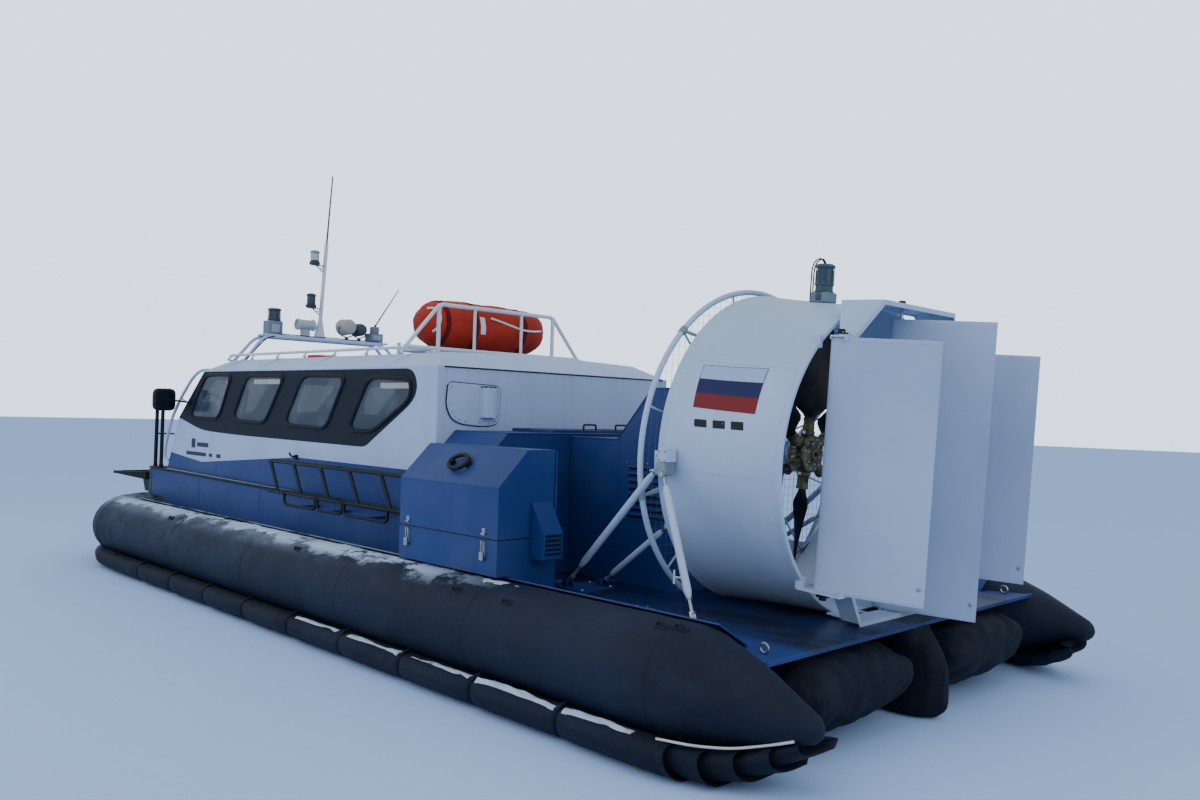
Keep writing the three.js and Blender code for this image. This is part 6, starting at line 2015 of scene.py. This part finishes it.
def add_locker(side, name):
    # The tub keeps the seal, the strikers of the latches and the laps
    tub = Piece(f"locker_{name}_seal")
    outer, x0, x1, seam = side * 1.540, 2.110, 3.080, 0.850
    loop = [at(x0 - 0.001, side * 1.130, seam - 0.003), at(x0 - 0.001, outer, seam - 0.003),
            at(x1 + 0.001, outer, seam - 0.003), at(x1 + 0.001, side * 1.130, seam - 0.003)]
    tub.tube(loop, 0.0035, GASKET, 8)
    for x in (2.230, 2.985):
        tub.slab(at(x - 0.020, outer, 0.745), at(x + 0.020, outer + side * 0.006, 0.828), STEEL, 0.002)
        for bar in (x - 0.010, x + 0.010):
            tub.tube([at(bar, outer + side * 0.009, 0.758), at(bar, outer + side * 0.011, 0.835)], 0.0042,
                     STEEL, 8)
        tub.slab(at(x - 0.017, outer + side * 0.006, 0.722), at(x + 0.017, outer + side * 0.022, 0.772),
                 STEEL, 0.004)
        tub.bolts([at(x, outer + side * 0.006, z) for z in (0.752, 0.820)], (0, side, 0), STEEL, 0.0045, 0.6)
    rivet_row(tub, [at(x, outer + side * 0.0004, 0.668) for x in steps(x0 + 0.03, x1 - 0.03, 0.065)],
              (0, side, 0), BLUE)
    tub.done()
    lid = Piece(f"locker_lid_{name}_fittings")
    for x in (2.230, 2.985):
        lid.slab(at(x - 0.015, outer, 0.862), at(x + 0.015, outer + side * 0.005, 0.905), STEEL, 0.002)
        lid.tube([at(x - 0.016, outer + side * 0.008, 0.872), at(x + 0.016, outer + side * 0.008, 0.872)],
                 0.0055, STEEL, 8)
    # Black ring handle on the slanted face
    slant = posed(at(2.600, side * 1.4375, 1.2425), -side * math.pi / 4, "X")
    ring = [slant @ Vector((x, y, 0.026)) for x, y in circle(0.082, 28, 0.056)]
    lid.tube(ring, 0.0135, BLACK, 12, loop=True)
    for x in (-0.078, 0.078):
        lid.box((x - 0.016, -0.020, -0.002), (x + 0.016, 0.020, 0.030), BLACK, 0.005, slant)
        for y in (-0.012, 0.012):
            lid.dome(slant @ Vector((x, y, 0.030)), slant.to_3x3() @ Vector((0, 0, 1)), 0.004, STEEL, 0.6, 6)
    # Folded edges of the lid's sheet
    for y, z in ((1.5385, 1.1385), (1.3285, 1.3485)):
        lid.tube(sided(side, (x0 + 0.003, y, z), (x1 - 0.003, y, z)), 0.0035, BLUE, 8)
    for x in (x0 + 0.002, x1 - 0.002):
        edge = [at(x, side * y, z) for y, z in ((1.538, 0.856), (1.538, 1.139), (1.3295, 1.348),
                                                (1.126, 1.348))]
        lid.tube(edge, 0.0030, BLUE, 6)
    rivet_row(lid, [at(x, side * y, 1.3503) for x in (x0 + 0.025, x1 - 0.025)
                    for y in steps(1.15, 1.31, 0.05)], (0, 0, 1), BLUE)
    end = ((1.51, 0.90), (1.51, 0.97), (1.51, 1.04), (1.51, 1.11), (1.34, 1.30), (1.40, 1.245), (1.46, 1.185))
    rivet_row(lid, [at(x0 - 0.0005, side * y, z) for y, z in end], (-1, 0, 0), BLUE)
    # Lip round the mouth of the scoop
    mouth = [at(1.9945, side * y, z) for y, z in rect(1.156, 1.294, 0.736, 0.874)]
    lid.tube(mouth, 0.006, BLUE, 8, loop=True)
    for k in range(5):
        z = 0.755 + 0.026 * k
        lid.block(1.9915, 1.9955, side * 1.225, 0.060, z, z + 0.012, BLACK, 0.001)
    lid.done(body=f"locker_lid_{name}")


def add_machinery_covers():
    piece = Piece("housing_and_hood_seams")
    for side in (1, -1):
        # Housing: its roof is level from the aft edge, then slopes down to the hood
        y = side * HOUSING_HALF
        out = (0, side, 0)
        edge = [at(2.694, y, 1.410), at(2.260, y, 1.410), at(1.970, y, 1.740), at(1.700, y, 1.740)]
        piece.tube(edge, 0.005, BLUE, 8)
        for x, top in ((1.715, 1.725), (2.240, 1.395)):
            lap = on_wall(side, rect(x, x + 0.030, 0.510, top))
            piece.plate([lap], SKIN_GAP, 0.0020, BLUE, wall_frame(side, HOUSING_HALF), edge=0.0005)
            rivet_row(piece, [at(x + 0.015, y + side * 0.0018, z) for z in steps(0.54, 1.38, 0.06)], out,
                      BLUE)
        # Louvred panel, with a thin black strip of painted shade under each louvre
        frame_loop = rounded_loop(on_wall(side, rect(1.800, 2.180, 0.900, 1.280)), 0.02)
        piece.plate([frame_loop], SKIN_GAP, 0.0030, BLUE, wall_frame(side, HOUSING_HALF), edge=0.001)
        for z in steps(0.935, 1.235, 0.043):
            piece.slab(at(1.830, y + side * 0.002, z), at(2.150, y + side * 0.016, z + 0.012), BLUE, 0.003)
            piece.slab(at(1.835, y + side * 0.0025, z - 0.014), at(2.145, y + side * 0.004, z - 0.002), BLACK,
                       0.0005)
        screws = [at(x, y + side * 0.003, z) for x in (1.812, 1.990, 2.168) for z in (0.912, 1.268)]
        piece.bolts(screws, out, STEEL, 0.006, 0.7)
        # Hood
        rim = sided(side, *[(2.702, y_, z) for y_, z in ((1.094, 0.510), (1.094, 1.334), (1.000, 1.428),
                                                         (0.010, 1.428))])
        piece.tube(rim, 0.006, BLUE, 8)
        shoulder = sided(side, (2.705, 1.001, 1.4285), (3.258, 1.001, 1.4285))
        piece.tube(shoulder, 0.004, BLUE, 8)
        rivet_row(piece, [at(2.6995, side * y_, 1.405) for y_ in steps(0.52, 0.98, 0.06)], (-1, 0, 0), BLUE)
        rivet_row(piece, [at(2.6995, side * 1.070, z) for z in steps(0.54, 1.32, 0.06)], (-1, 0, 0), BLUE)
        # Recessed grille on the hood's aft face, outboard of the housing: a dark plate of painted shade
        # behind its bars
        piece.block(2.6945, 2.7005, side * 0.780, 0.190, 0.880, 1.220, NAVY, 0.002)
        for z in steps(0.900, 1.190, 0.036):
            piece.block(2.686, 2.698, side * 0.780, 0.180, z, z + 0.010, BLUE, 0.003)
        screws = [at(2.6945, side * y_, z) for y_ in (0.600, 0.960) for z in (0.890, 1.210)]
        piece.bolts(screws, (-1, 0, 0), STEEL, 0.006, 0.7)
    # Aft edge of the housing's roof and the transverse folds
    for x, z in ((1.702, 1.738), (1.970, 1.740), (2.260, 1.411)):
        piece.tube([at(x, -0.449, z), at(x, 0.449, z)], 0.004, BLUE, 8)
    rivet_row(piece, [at(1.6995, y, 1.700) for y in steps(-0.42, 0.42, 0.06)], (-1, 0, 0), BLUE)
    rivet_row(piece, [at(1.6995, y, z) for y in (-0.42, 0.42) for z in steps(0.56, 1.66, 0.08)], (-1, 0, 0),
              BLUE)
    # Lifting eyes on the housing's top
    for y in (-0.300, 0.300):
        eye = [at(1.760, v, w) for v, w in circle(0.020, 16, middle=(y, 1.760))]
        piece.tube(eye, 0.005, STEEL, 8, loop=True)
    # Hinge leaves of the hood hatch that stay on the hood
    for y in (-0.380, 0.380):
        piece.block(3.192, 3.235, y, 0.050, 1.4302, 1.436, STEEL, 0.001)
        for dy in (-0.035, 0.035):
            piece.dome(at(3.215, y + dy, 1.436), (0, 0, 1), 0.006, STEEL, 0.7, 6)
    piece.done()
    hatch = Piece("hood_hatch_fittings")
    for y in (-0.380, 0.380):
        hatch.block(3.145, 3.188, y, 0.050, 1.4515, 1.457, STEEL, 0.001)
        for dy in (-0.035, 0.035):
            hatch.dome(at(3.165, y + dy, 1.457), (0, 0, 1), 0.006, STEEL, 0.7, 6)
    for y in (-0.160, 0.160):
        hatch.tube([at(2.820, y - 0.060, 1.450), at(2.820, y - 0.060, 1.490), at(2.820, y + 0.060, 1.490),
                    at(2.820, y + 0.060, 1.450)], 0.007, BLACK, 10, bend=0.015)
    hatch.plate([rounded_loop(rect(2.790 - STERN, 3.130 - STERN, -0.500, -0.030), 0.03)], 1.4518, 1.4535,
                NAVY, edge=0.0005)
    for x in (2.766, 3.184):
        hatch.tube([at(x, -0.556, 1.4505), at(x, 0.556, 1.4505)], 0.003, BLUE, 6)
    hatch.done(body="hood_hatch")


def add_deck_details():
    piece = Piece("deck_seams_and_plates")
    top = DECK_TOP + SKIN_GAP
    # Sheet laps across the stern deck with rivets, and the folded lip along its aft edge
    for x, start, half in ((1.080, 0.660, 1.190), (2.400, 0.480, 1.080)):
        for side in (1, -1):
            piece.slab(at(x - 0.020, side * start, top), at(x + 0.020, side * half, top + 0.002), DECK,
                       0.0005)
            rivet_row(piece, [at(x + dx, side * y, top + 0.002) for dx in (-0.010, 0.010)
                              for y in steps(start + 0.03, half - 0.03, 0.06)], (0, 0, 1), DECK, 0.004)
    for side in (1, -1):
        piece.tube(sided(side, (0.356, 0.005, 0.4985), (0.356, 1.436, 0.4985)), 0.006, DECK, 8)
        rivet_row(piece, [at(0.385, side * y, top) for y in steps(0.05, 1.38, 0.07)], (0, 0, 1), DECK, 0.0045)
        # Round inspection cover, and an eye bolt at the deck's corner
        cover = (1.520 - STERN, side * 1.010)
        piece.plate([circle(0.095, 32, middle=cover)], DECK_TOP + 0.0002, DECK_TOP + 0.006, DECK, edge=0.002)
        screws = [Vector((x, y, DECK_TOP + 0.006)) for x, y in circle(0.080, 8, middle=cover)]
        piece.bolts(screws, (0, 0, 1), STEEL, 0.006, 0.7)
        eye = [at(x, side * 1.290, z) for x, z in circle(0.022, 16, middle=(0.470, DECK_TOP + 0.026))]
        piece.tube(eye, 0.006, STEEL, 8, loop=True)
        # Anti-slip strips on the walkway beside the housing
        for k in range(7):
            x = 1.780 + 0.085 * k
            piece.block(x, x + 0.040, side * 0.560, 0.060, top, top + 0.0025, DECK, 0.0008)
    return piece.done()


# Ladders, mirrors and the bow


def add_ladder(side, name):
    piece = Piece(f"boarding_ladder_{name}_bars")
    y, r, hinge, low, high, start, end = 1.360, 0.011, 0.800, 0.885, 1.120, 3.290, 5.250
    inner = y - 0.085

    def place(x, across, z):
        return at(x, side * across, z)

    for z in (low, high):
        corner = 0.030
        deep = corner * 0.8
        plan = ((start + corner, y), (end - corner, y), (end, y - deep), (end, inner + deep),
                (end - corner, inner), (start + corner, inner), (start, inner + deep), (start, y - deep))
        piece.tube([place(*spot, z) for spot in plan], r, BLACK, 12, loop=True)
        piece.tube([place((start + end) / 2, y, z), place((start + end) / 2, inner, z)], r - 0.001, BLACK, 10)
    for x in (3.460, 3.870, 4.275, 4.680, 5.055):
        flat = [(x - 0.019, low - 0.004), (x + 0.019, low - 0.004), (x + 0.159, high + 0.004),
                (x + 0.121, high + 0.004)]
        piece.plate([on_wall(side, flat)], -0.006, 0.006, BLACK, wall_frame(side, y), edge=0.001)
        for dx, z in ((0.018, low + 0.030), (0.122, high - 0.030)):
            piece.dome(place(x + dx, y + 0.006, z), (0, side, 0), 0.006, BLACK, 0.7, 6)
    for x0, x1 in ((3.500, 4.060), (4.090, 4.440), (4.470, 4.950)):
        piece.tube([place(x0, y, low), place(x0, y, hinge), place(x1, y, hinge), place(x1, y, low)], r, BLACK,
                   14, bend=0.045)
        for x in (x0, x1):
            piece.tube([place(x, y, low - 0.020), place(x, y, low + 0.012)], r + 0.004, BLACK, 12)
    return piece.done(body=f"boarding_ladder_{name}", replaces=[f"boarding_ladder_{name}"])


def superbox(piece, centre, half, material, power=0.3, rows=12, columns=32, place=None, puff=0.0):
    """A box with generous rounding; the power runs from 0 for square to 1 for an ellipsoid."""

    def bend(value):
        return math.copysign(abs(value) ** power, value)

    rings = []
    for i in range(1, rows):
        lat = math.pi * (i / rows - 0.5)
        ring = []
        for k in range(columns):
            lon = math.tau * k / columns
            x = bend(math.cos(lat)) * bend(math.cos(lon))
            y = bend(math.cos(lat)) * bend(math.sin(lon))
            z = bend(math.sin(lat))
            swell = 1 + puff * noise.noise(Vector((x, y, z)) * 2.1 + Vector(centre) * 3)
            ring.append(Vector(centre) + Vector((x * half[0], y * half[1], z * half[2])) * swell)
        rings.append(ring)
    piece.skin(rings, material, place=place)


def add_mirror(side, name):
    piece = Piece(f"mirror_{name}_housing")
    superbox(piece, at(7.505, side * 1.320, 1.5825), (0.035, 0.105, 0.1075), BLACK_PLASTIC, 0.45, 18, 40)
    face = rounded_loop(rect(-0.086, 0.086, -0.088, 0.088), 0.05, 5)
    back = Matrix.Translation(at(7.4695, side * 1.320, 1.5825)) @ FACING_AFT
    piece.plate([face], -0.010, 0.0012, MIRROR_GLASS, back, edge=0.0005)
    piece.tube(sided(side, (7.300, 1.146, 1.560), (7.330, 1.230, 1.570), (7.500, 1.260, 1.580)), 0.009,
               BLACK, 12, bend=0.04)
    piece.tube(sided(side, (7.2995, 1.1505, 1.560), (7.301, 1.160, 1.561)), 0.024, BLACK, 16)
    return piece.done(replaces=[f"mirror_{name}"])


def add_bow_frame(side, name):
    piece = Piece(f"bow_frame_{name}_bars")
    top = 0.9005

    def place(x, y, z):
        return at(x, side * y, z)

    tie = 1.240
    piece.tube([place(8.040, 1.178, top), place(8.040, 1.178, 1.560), place(8.012, 1.160, 1.592),
                place(7.985, 1.143, 1.560), place(7.985, 1.143, top)], 0.018, BLACK, 14, bend=0.03)
    piece.tube([place(8.040, 1.178, tie), place(7.985, 1.143, tie)], 0.008, BLACK, 10)
    piece.tube([place(8.010, 1.160, tie), place(7.820, 1.090, tie + 0.004), place(7.772, 1.086, tie)], 0.008,
               BLACK, 10, bend=0.02)
    for x, y in ((8.040, 1.178), (7.985, 1.143)):
        piece.tube([place(x, y, top + 0.006), place(x, y, top + 0.030)], 0.021, BLACK, 14)

    def slab(x0, x1, y0, y1, z0, z1, edge=0.002):
        piece.slab(place(x0, y0, z0), place(x1, y1, z1), BLACK, edge)

    slab(7.940, 8.115, 1.060, 1.199, top, top + 0.010)
    slab(8.100, 8.1455, 1.040, 1.195, top, top + 0.008)
    slab(8.1205, 8.1455, 1.040, 1.195, 0.770, top + 0.008)
    feet = [place(x, y, top + 0.010) for x in (7.955, 8.095) for y in (1.075, 1.110)]
    piece.bolts(feet, (0, 0, 1), STEEL, 0.007, 0.8)
    # Mooring step: a wedge that thins towards its tip, with ribs across it and two stays below
    rows = []
    for t in (0.0, 0.3, 0.76, 0.98, 1.0):
        wide = min(t / 0.76, 1.0)
        x, near, far = 8.140 + 0.450 * t, 0.900 + 0.100 * max(0.0, (t - 0.76) / 0.24), 1.235 + 0.150 * wide
        far += 0.010 if t == 0.98 else -0.050 if t == 1.0 else 0.0
        low, high = 0.770 + 0.042 * wide, 0.845 - 0.007 * wide
        rows.append([place(x, near, low), place(x, far, low), place(x, far, high), place(x, near, high)])
    piece.skin(rows, BLACK_PLASTIC)
    for k in range(7):
        t = 0.10 + 0.12 * k
        x = 8.140 + 0.448 * t
        z = 0.845 - 0.007 * t
        piece.tube([place(x, 0.930 + 0.09 * t, z), place(x, 1.215 + 0.15 * t, z)], 0.005, BLACK_PLASTIC, 6)
    for y in (1.130, 1.190):
        stay = posed(place(0, y, 0) + Vector((STERN, 0, 0)), math.pi / 2, "X")
        piece.plate([[(8.140 - STERN, 0.650), (8.250 - STERN, 0.650), (8.330 - STERN, 0.800),
                      (8.140 - STERN, 0.800)]], -0.004, 0.004, BLACK, stay)
    piece.tube([place(8.195, 1.130, 0.672), place(8.195, 1.190, 0.672)], 0.014, BLACK, 10)
    return piece.done(replaces=[f"bow_frame_{name}"])


# Inside the cabin

SEAT_ROWS = (6.500, 5.700, 4.900, 4.100)


def add_seats(side, name):
    cushions = Piece(f"seats_{name}_cushions")
    frames = Piece(f"seats_{name}_frames")

    def mid(y0, y1):
        return side * (y0 + y1) / 2

    for x in SEAT_ROWS:
        for y0, y1 in ((0.322, 0.690), (0.700, 1.068)):
            superbox(cushions, at(x - 0.240, mid(y0, y1), 0.820), (0.180, 0.184, 0.062), SEAT, 0.42, 12, 32,
                     puff=0.04)
            tilt = posed(at(x - 0.455, mid(y0, y1), 1.160), math.radians(-12), "Y")
            superbox(cushions, Vector((0, 0, 0)), (0.045, 0.182, 0.290), SEAT, 0.42, 14, 32, tilt, 0.05)
            for dz in (-0.10, 0.06):
                cushions.box((0.036, -0.150, dz), (0.047, 0.150, dz + 0.006), SEAT_DARK, 0.002, tilt)
            cushions.block(x - 0.400, x - 0.080, mid(y0, y1), 0.172, 0.560, 0.770, SEAT_DARK, 0.02)
            frames.block(x - 0.470, x - 0.415, mid(y0, y1), 0.160, 0.800, 0.880, BLACK, 0.006)
    low, high = sorted((side * 0.300, side * 1.080))
    frames.box(at(SEAT_ROWS[3] - 0.480, low, FLOOR_TOP), at(SEAT_ROWS[0], high, 0.560), SEAT_DARK, 0.006)
    frames.done()
    # Folded red cover over a seat back of the third row
    superbox(cushions, at(4.480, side * 0.985, 1.450), (0.210, 0.085, 0.062), PINK_CLOTH, 0.5, 12, 32,
             puff=0.08)
    padded = cushions.done(replaces=[f"seats_{name}"], sharp=60)


def add_helm():
    piece = Piece("helm_desk_and_wheel")
    flat = Matrix.Rotation(math.pi / 2, 4, "X")
    desk = [(7.120 - STERN, FLOOR_TOP), (7.420 - STERN, FLOOR_TOP), (7.420 - STERN, 1.180),
            (7.340 - STERN, 1.300), (7.120 - STERN, 1.250)]
    piece.plate([rounded_loop(desk, 0.012)], 0.400, 1.040, CONSOLE, flat, edge=0.006)
    piece.tube([at(7.150, -0.720, 1.180), at(6.990, -0.720, 1.290)], 0.014, BLACK, 14)
    wheel = posed(at(6.985, -0.720, 1.293), 0.6, "Y")
    ring = [wheel @ Vector((0, y, z)) for y, z in circle(0.150, 48)]
    piece.tube(ring, 0.0125, BLACK_PLASTIC, 12, loop=True)
    for t in (0.0, math.tau / 3, 2 * math.tau / 3):
        piece.tube([wheel @ Vector((0, 0.02 * math.cos(t), 0.02 * math.sin(t))),
                    wheel @ Vector((0, 0.148 * math.cos(t), 0.148 * math.sin(t)))], 0.009, BLACK_PLASTIC, 10)
    piece.lathe([(-0.020, 0.0), (-0.020, 0.030), (-0.012, 0.038), (0.010, 0.036), (0.020, 0.020),
                 (0.020, 0.0)], BLACK_PLASTIC, 24, wheel)
    # Instrument faces, switches and two levers on the sloping top
    slope = posed(at(7.230, -0.720, 1.2757), -math.atan2(0.050, 0.220), "Y")
    for y, r in ((-0.230, 0.042), (-0.120, 0.042), (0.000, 0.052), (0.120, 0.042), (0.230, 0.042)):
        disc = circle(r, 28, middle=(0, y))
        piece.plate([disc], -0.001, 0.010, BLACK, slope, edge=0.003)
        small = [(p[0] * 0.8, y + (p[1] - y) * 0.8) for p in disc]
        piece.plate([small], 0.009, 0.0108, LENS_CLEAR, slope)
    for y in steps(-0.26, 0.26, 0.065):
        piece.box((-0.092, y - 0.010, -0.001), (-0.072, y + 0.010, 0.010), BLACK, 0.002, slope)
    for y in (-0.560, -0.500):
        piece.tube([at(7.180, y, 1.262), at(7.150, y, 1.370)], 0.006, STEEL, 10)
        piece.dome(at(7.150, y, 1.366), (-0.27, 0, 0.96), 0.016, BLACK_PLASTIC, 1.4, 12)
    return piece.done(replaces=["helm_console"])


def add_cabin_lights():
    """Ceiling lights above the windows, seen through the glass."""
    piece = Piece("cabin_ceiling_lights")
    for side in (1, -1):
        for x0, x1, z in ((5.560, 6.170, 1.762), (3.700, 4.120, 1.730)):
            piece.block(x0, x1, side * 1.050, 0.010, z - 0.020, z + 0.020, LAMP_GLOW, 0.004)
            for x in (x0 + 0.05, x1 - 0.05):
                piece.block(x - 0.010, x + 0.010, side * 1.050, 0.008, z + 0.018, 1.858, GEAR_GREY, 0.002)
        # Pale grab poles behind the two middle windows
        for x0, x1 in ((6.330, 6.210), (5.390, 5.270)):
            piece.tube(sided(side, (x0, 1.085, 1.430), (x1, 1.085, 1.690)), 0.012, GEAR_LIGHT, 10)
    # Rounded head rest beside the first window of the port side
    superbox(piece, at(7.130, 1.050, 1.440), (0.160, 0.050, 0.135), SEAT_DARK, 0.6, 14, 32)
    piece.box(at(7.060, 1.030, FLOOR_TOP), at(7.200, 1.066, 1.330), SEAT_DARK, 0.006)
    return piece.done()


def add_engine():
    piece = Piece("engine_castings")
    piece.box(at(2.030, -0.200, 0.520), at(2.630, 0.200, 0.900), ENGINE, 0.02)
    for side in (1, -1):
        lean = posed(at(2.330, side * 0.130, 0.940), -side * 0.5, "X")
        piece.box((-0.290, -0.090, -0.090), (0.290, 0.090, 0.110), ENGINE, 0.018, lean)
        for k in range(4):
            piece.tube([lean @ Vector((-0.21 + 0.14 * k, side * 0.088, 0.02)),
                        lean @ Vector((-0.21 + 0.14 * k, side * 0.110, 0.00)),
                        at(2.120 + 0.14 * k, side * 0.238, 0.800)], 0.020, BLACK, 12, bend=0.02)
    for y, z, r in ((0.0, 0.640, 0.095), (0.130, 0.840, 0.055), (-0.130, 0.840, 0.055)):
        piece.lathe([(0.0, 0.0), (0.0, r), (0.010, r), (0.014, r * 0.85), (0.022, r * 0.85), (0.026, r),
                     (0.034, r), (0.034, 0.0)], BLACK, 32, Matrix.Translation(at(2.0215, y, z)))
    for side in (1, -1):
        for x in (2.140, 2.440):
            piece.block(x, x + 0.100, side * 0.215, 0.035, FLOOR_TOP, 0.620, BLACK, 0.006)
    return piece.done(replaces=["engine_block"])


add_hull_box_details()
add_locker(1, "port")
for turn_side, turn_name in SIDES:
    add_ladder(turn_side, turn_name)
    add_mirror(turn_side, turn_name)
    add_bow_frame(turn_side, turn_name)
    add_seats(turn_side, turn_name)
add_machinery_covers()
add_deck_details()
add_helm()
add_cabin_lights()
add_engine()


finish_cad(DECK, "hull")
finish_cad(BLUE, "hull_box", "bow_door", "engine_hood", "hood_hatch", "engine_housing",
           "locker_port", "locker_lid_port")
finish_cad(WHITE, "cabin_side_port", "cabin_side_starboard", "cabin_roof", "cabin_front", "bow_hatch",
           "cabin_rear_wall")
finish_cad(GLASS, "windshield_port", "windshield_starboard", "hatch_glass")
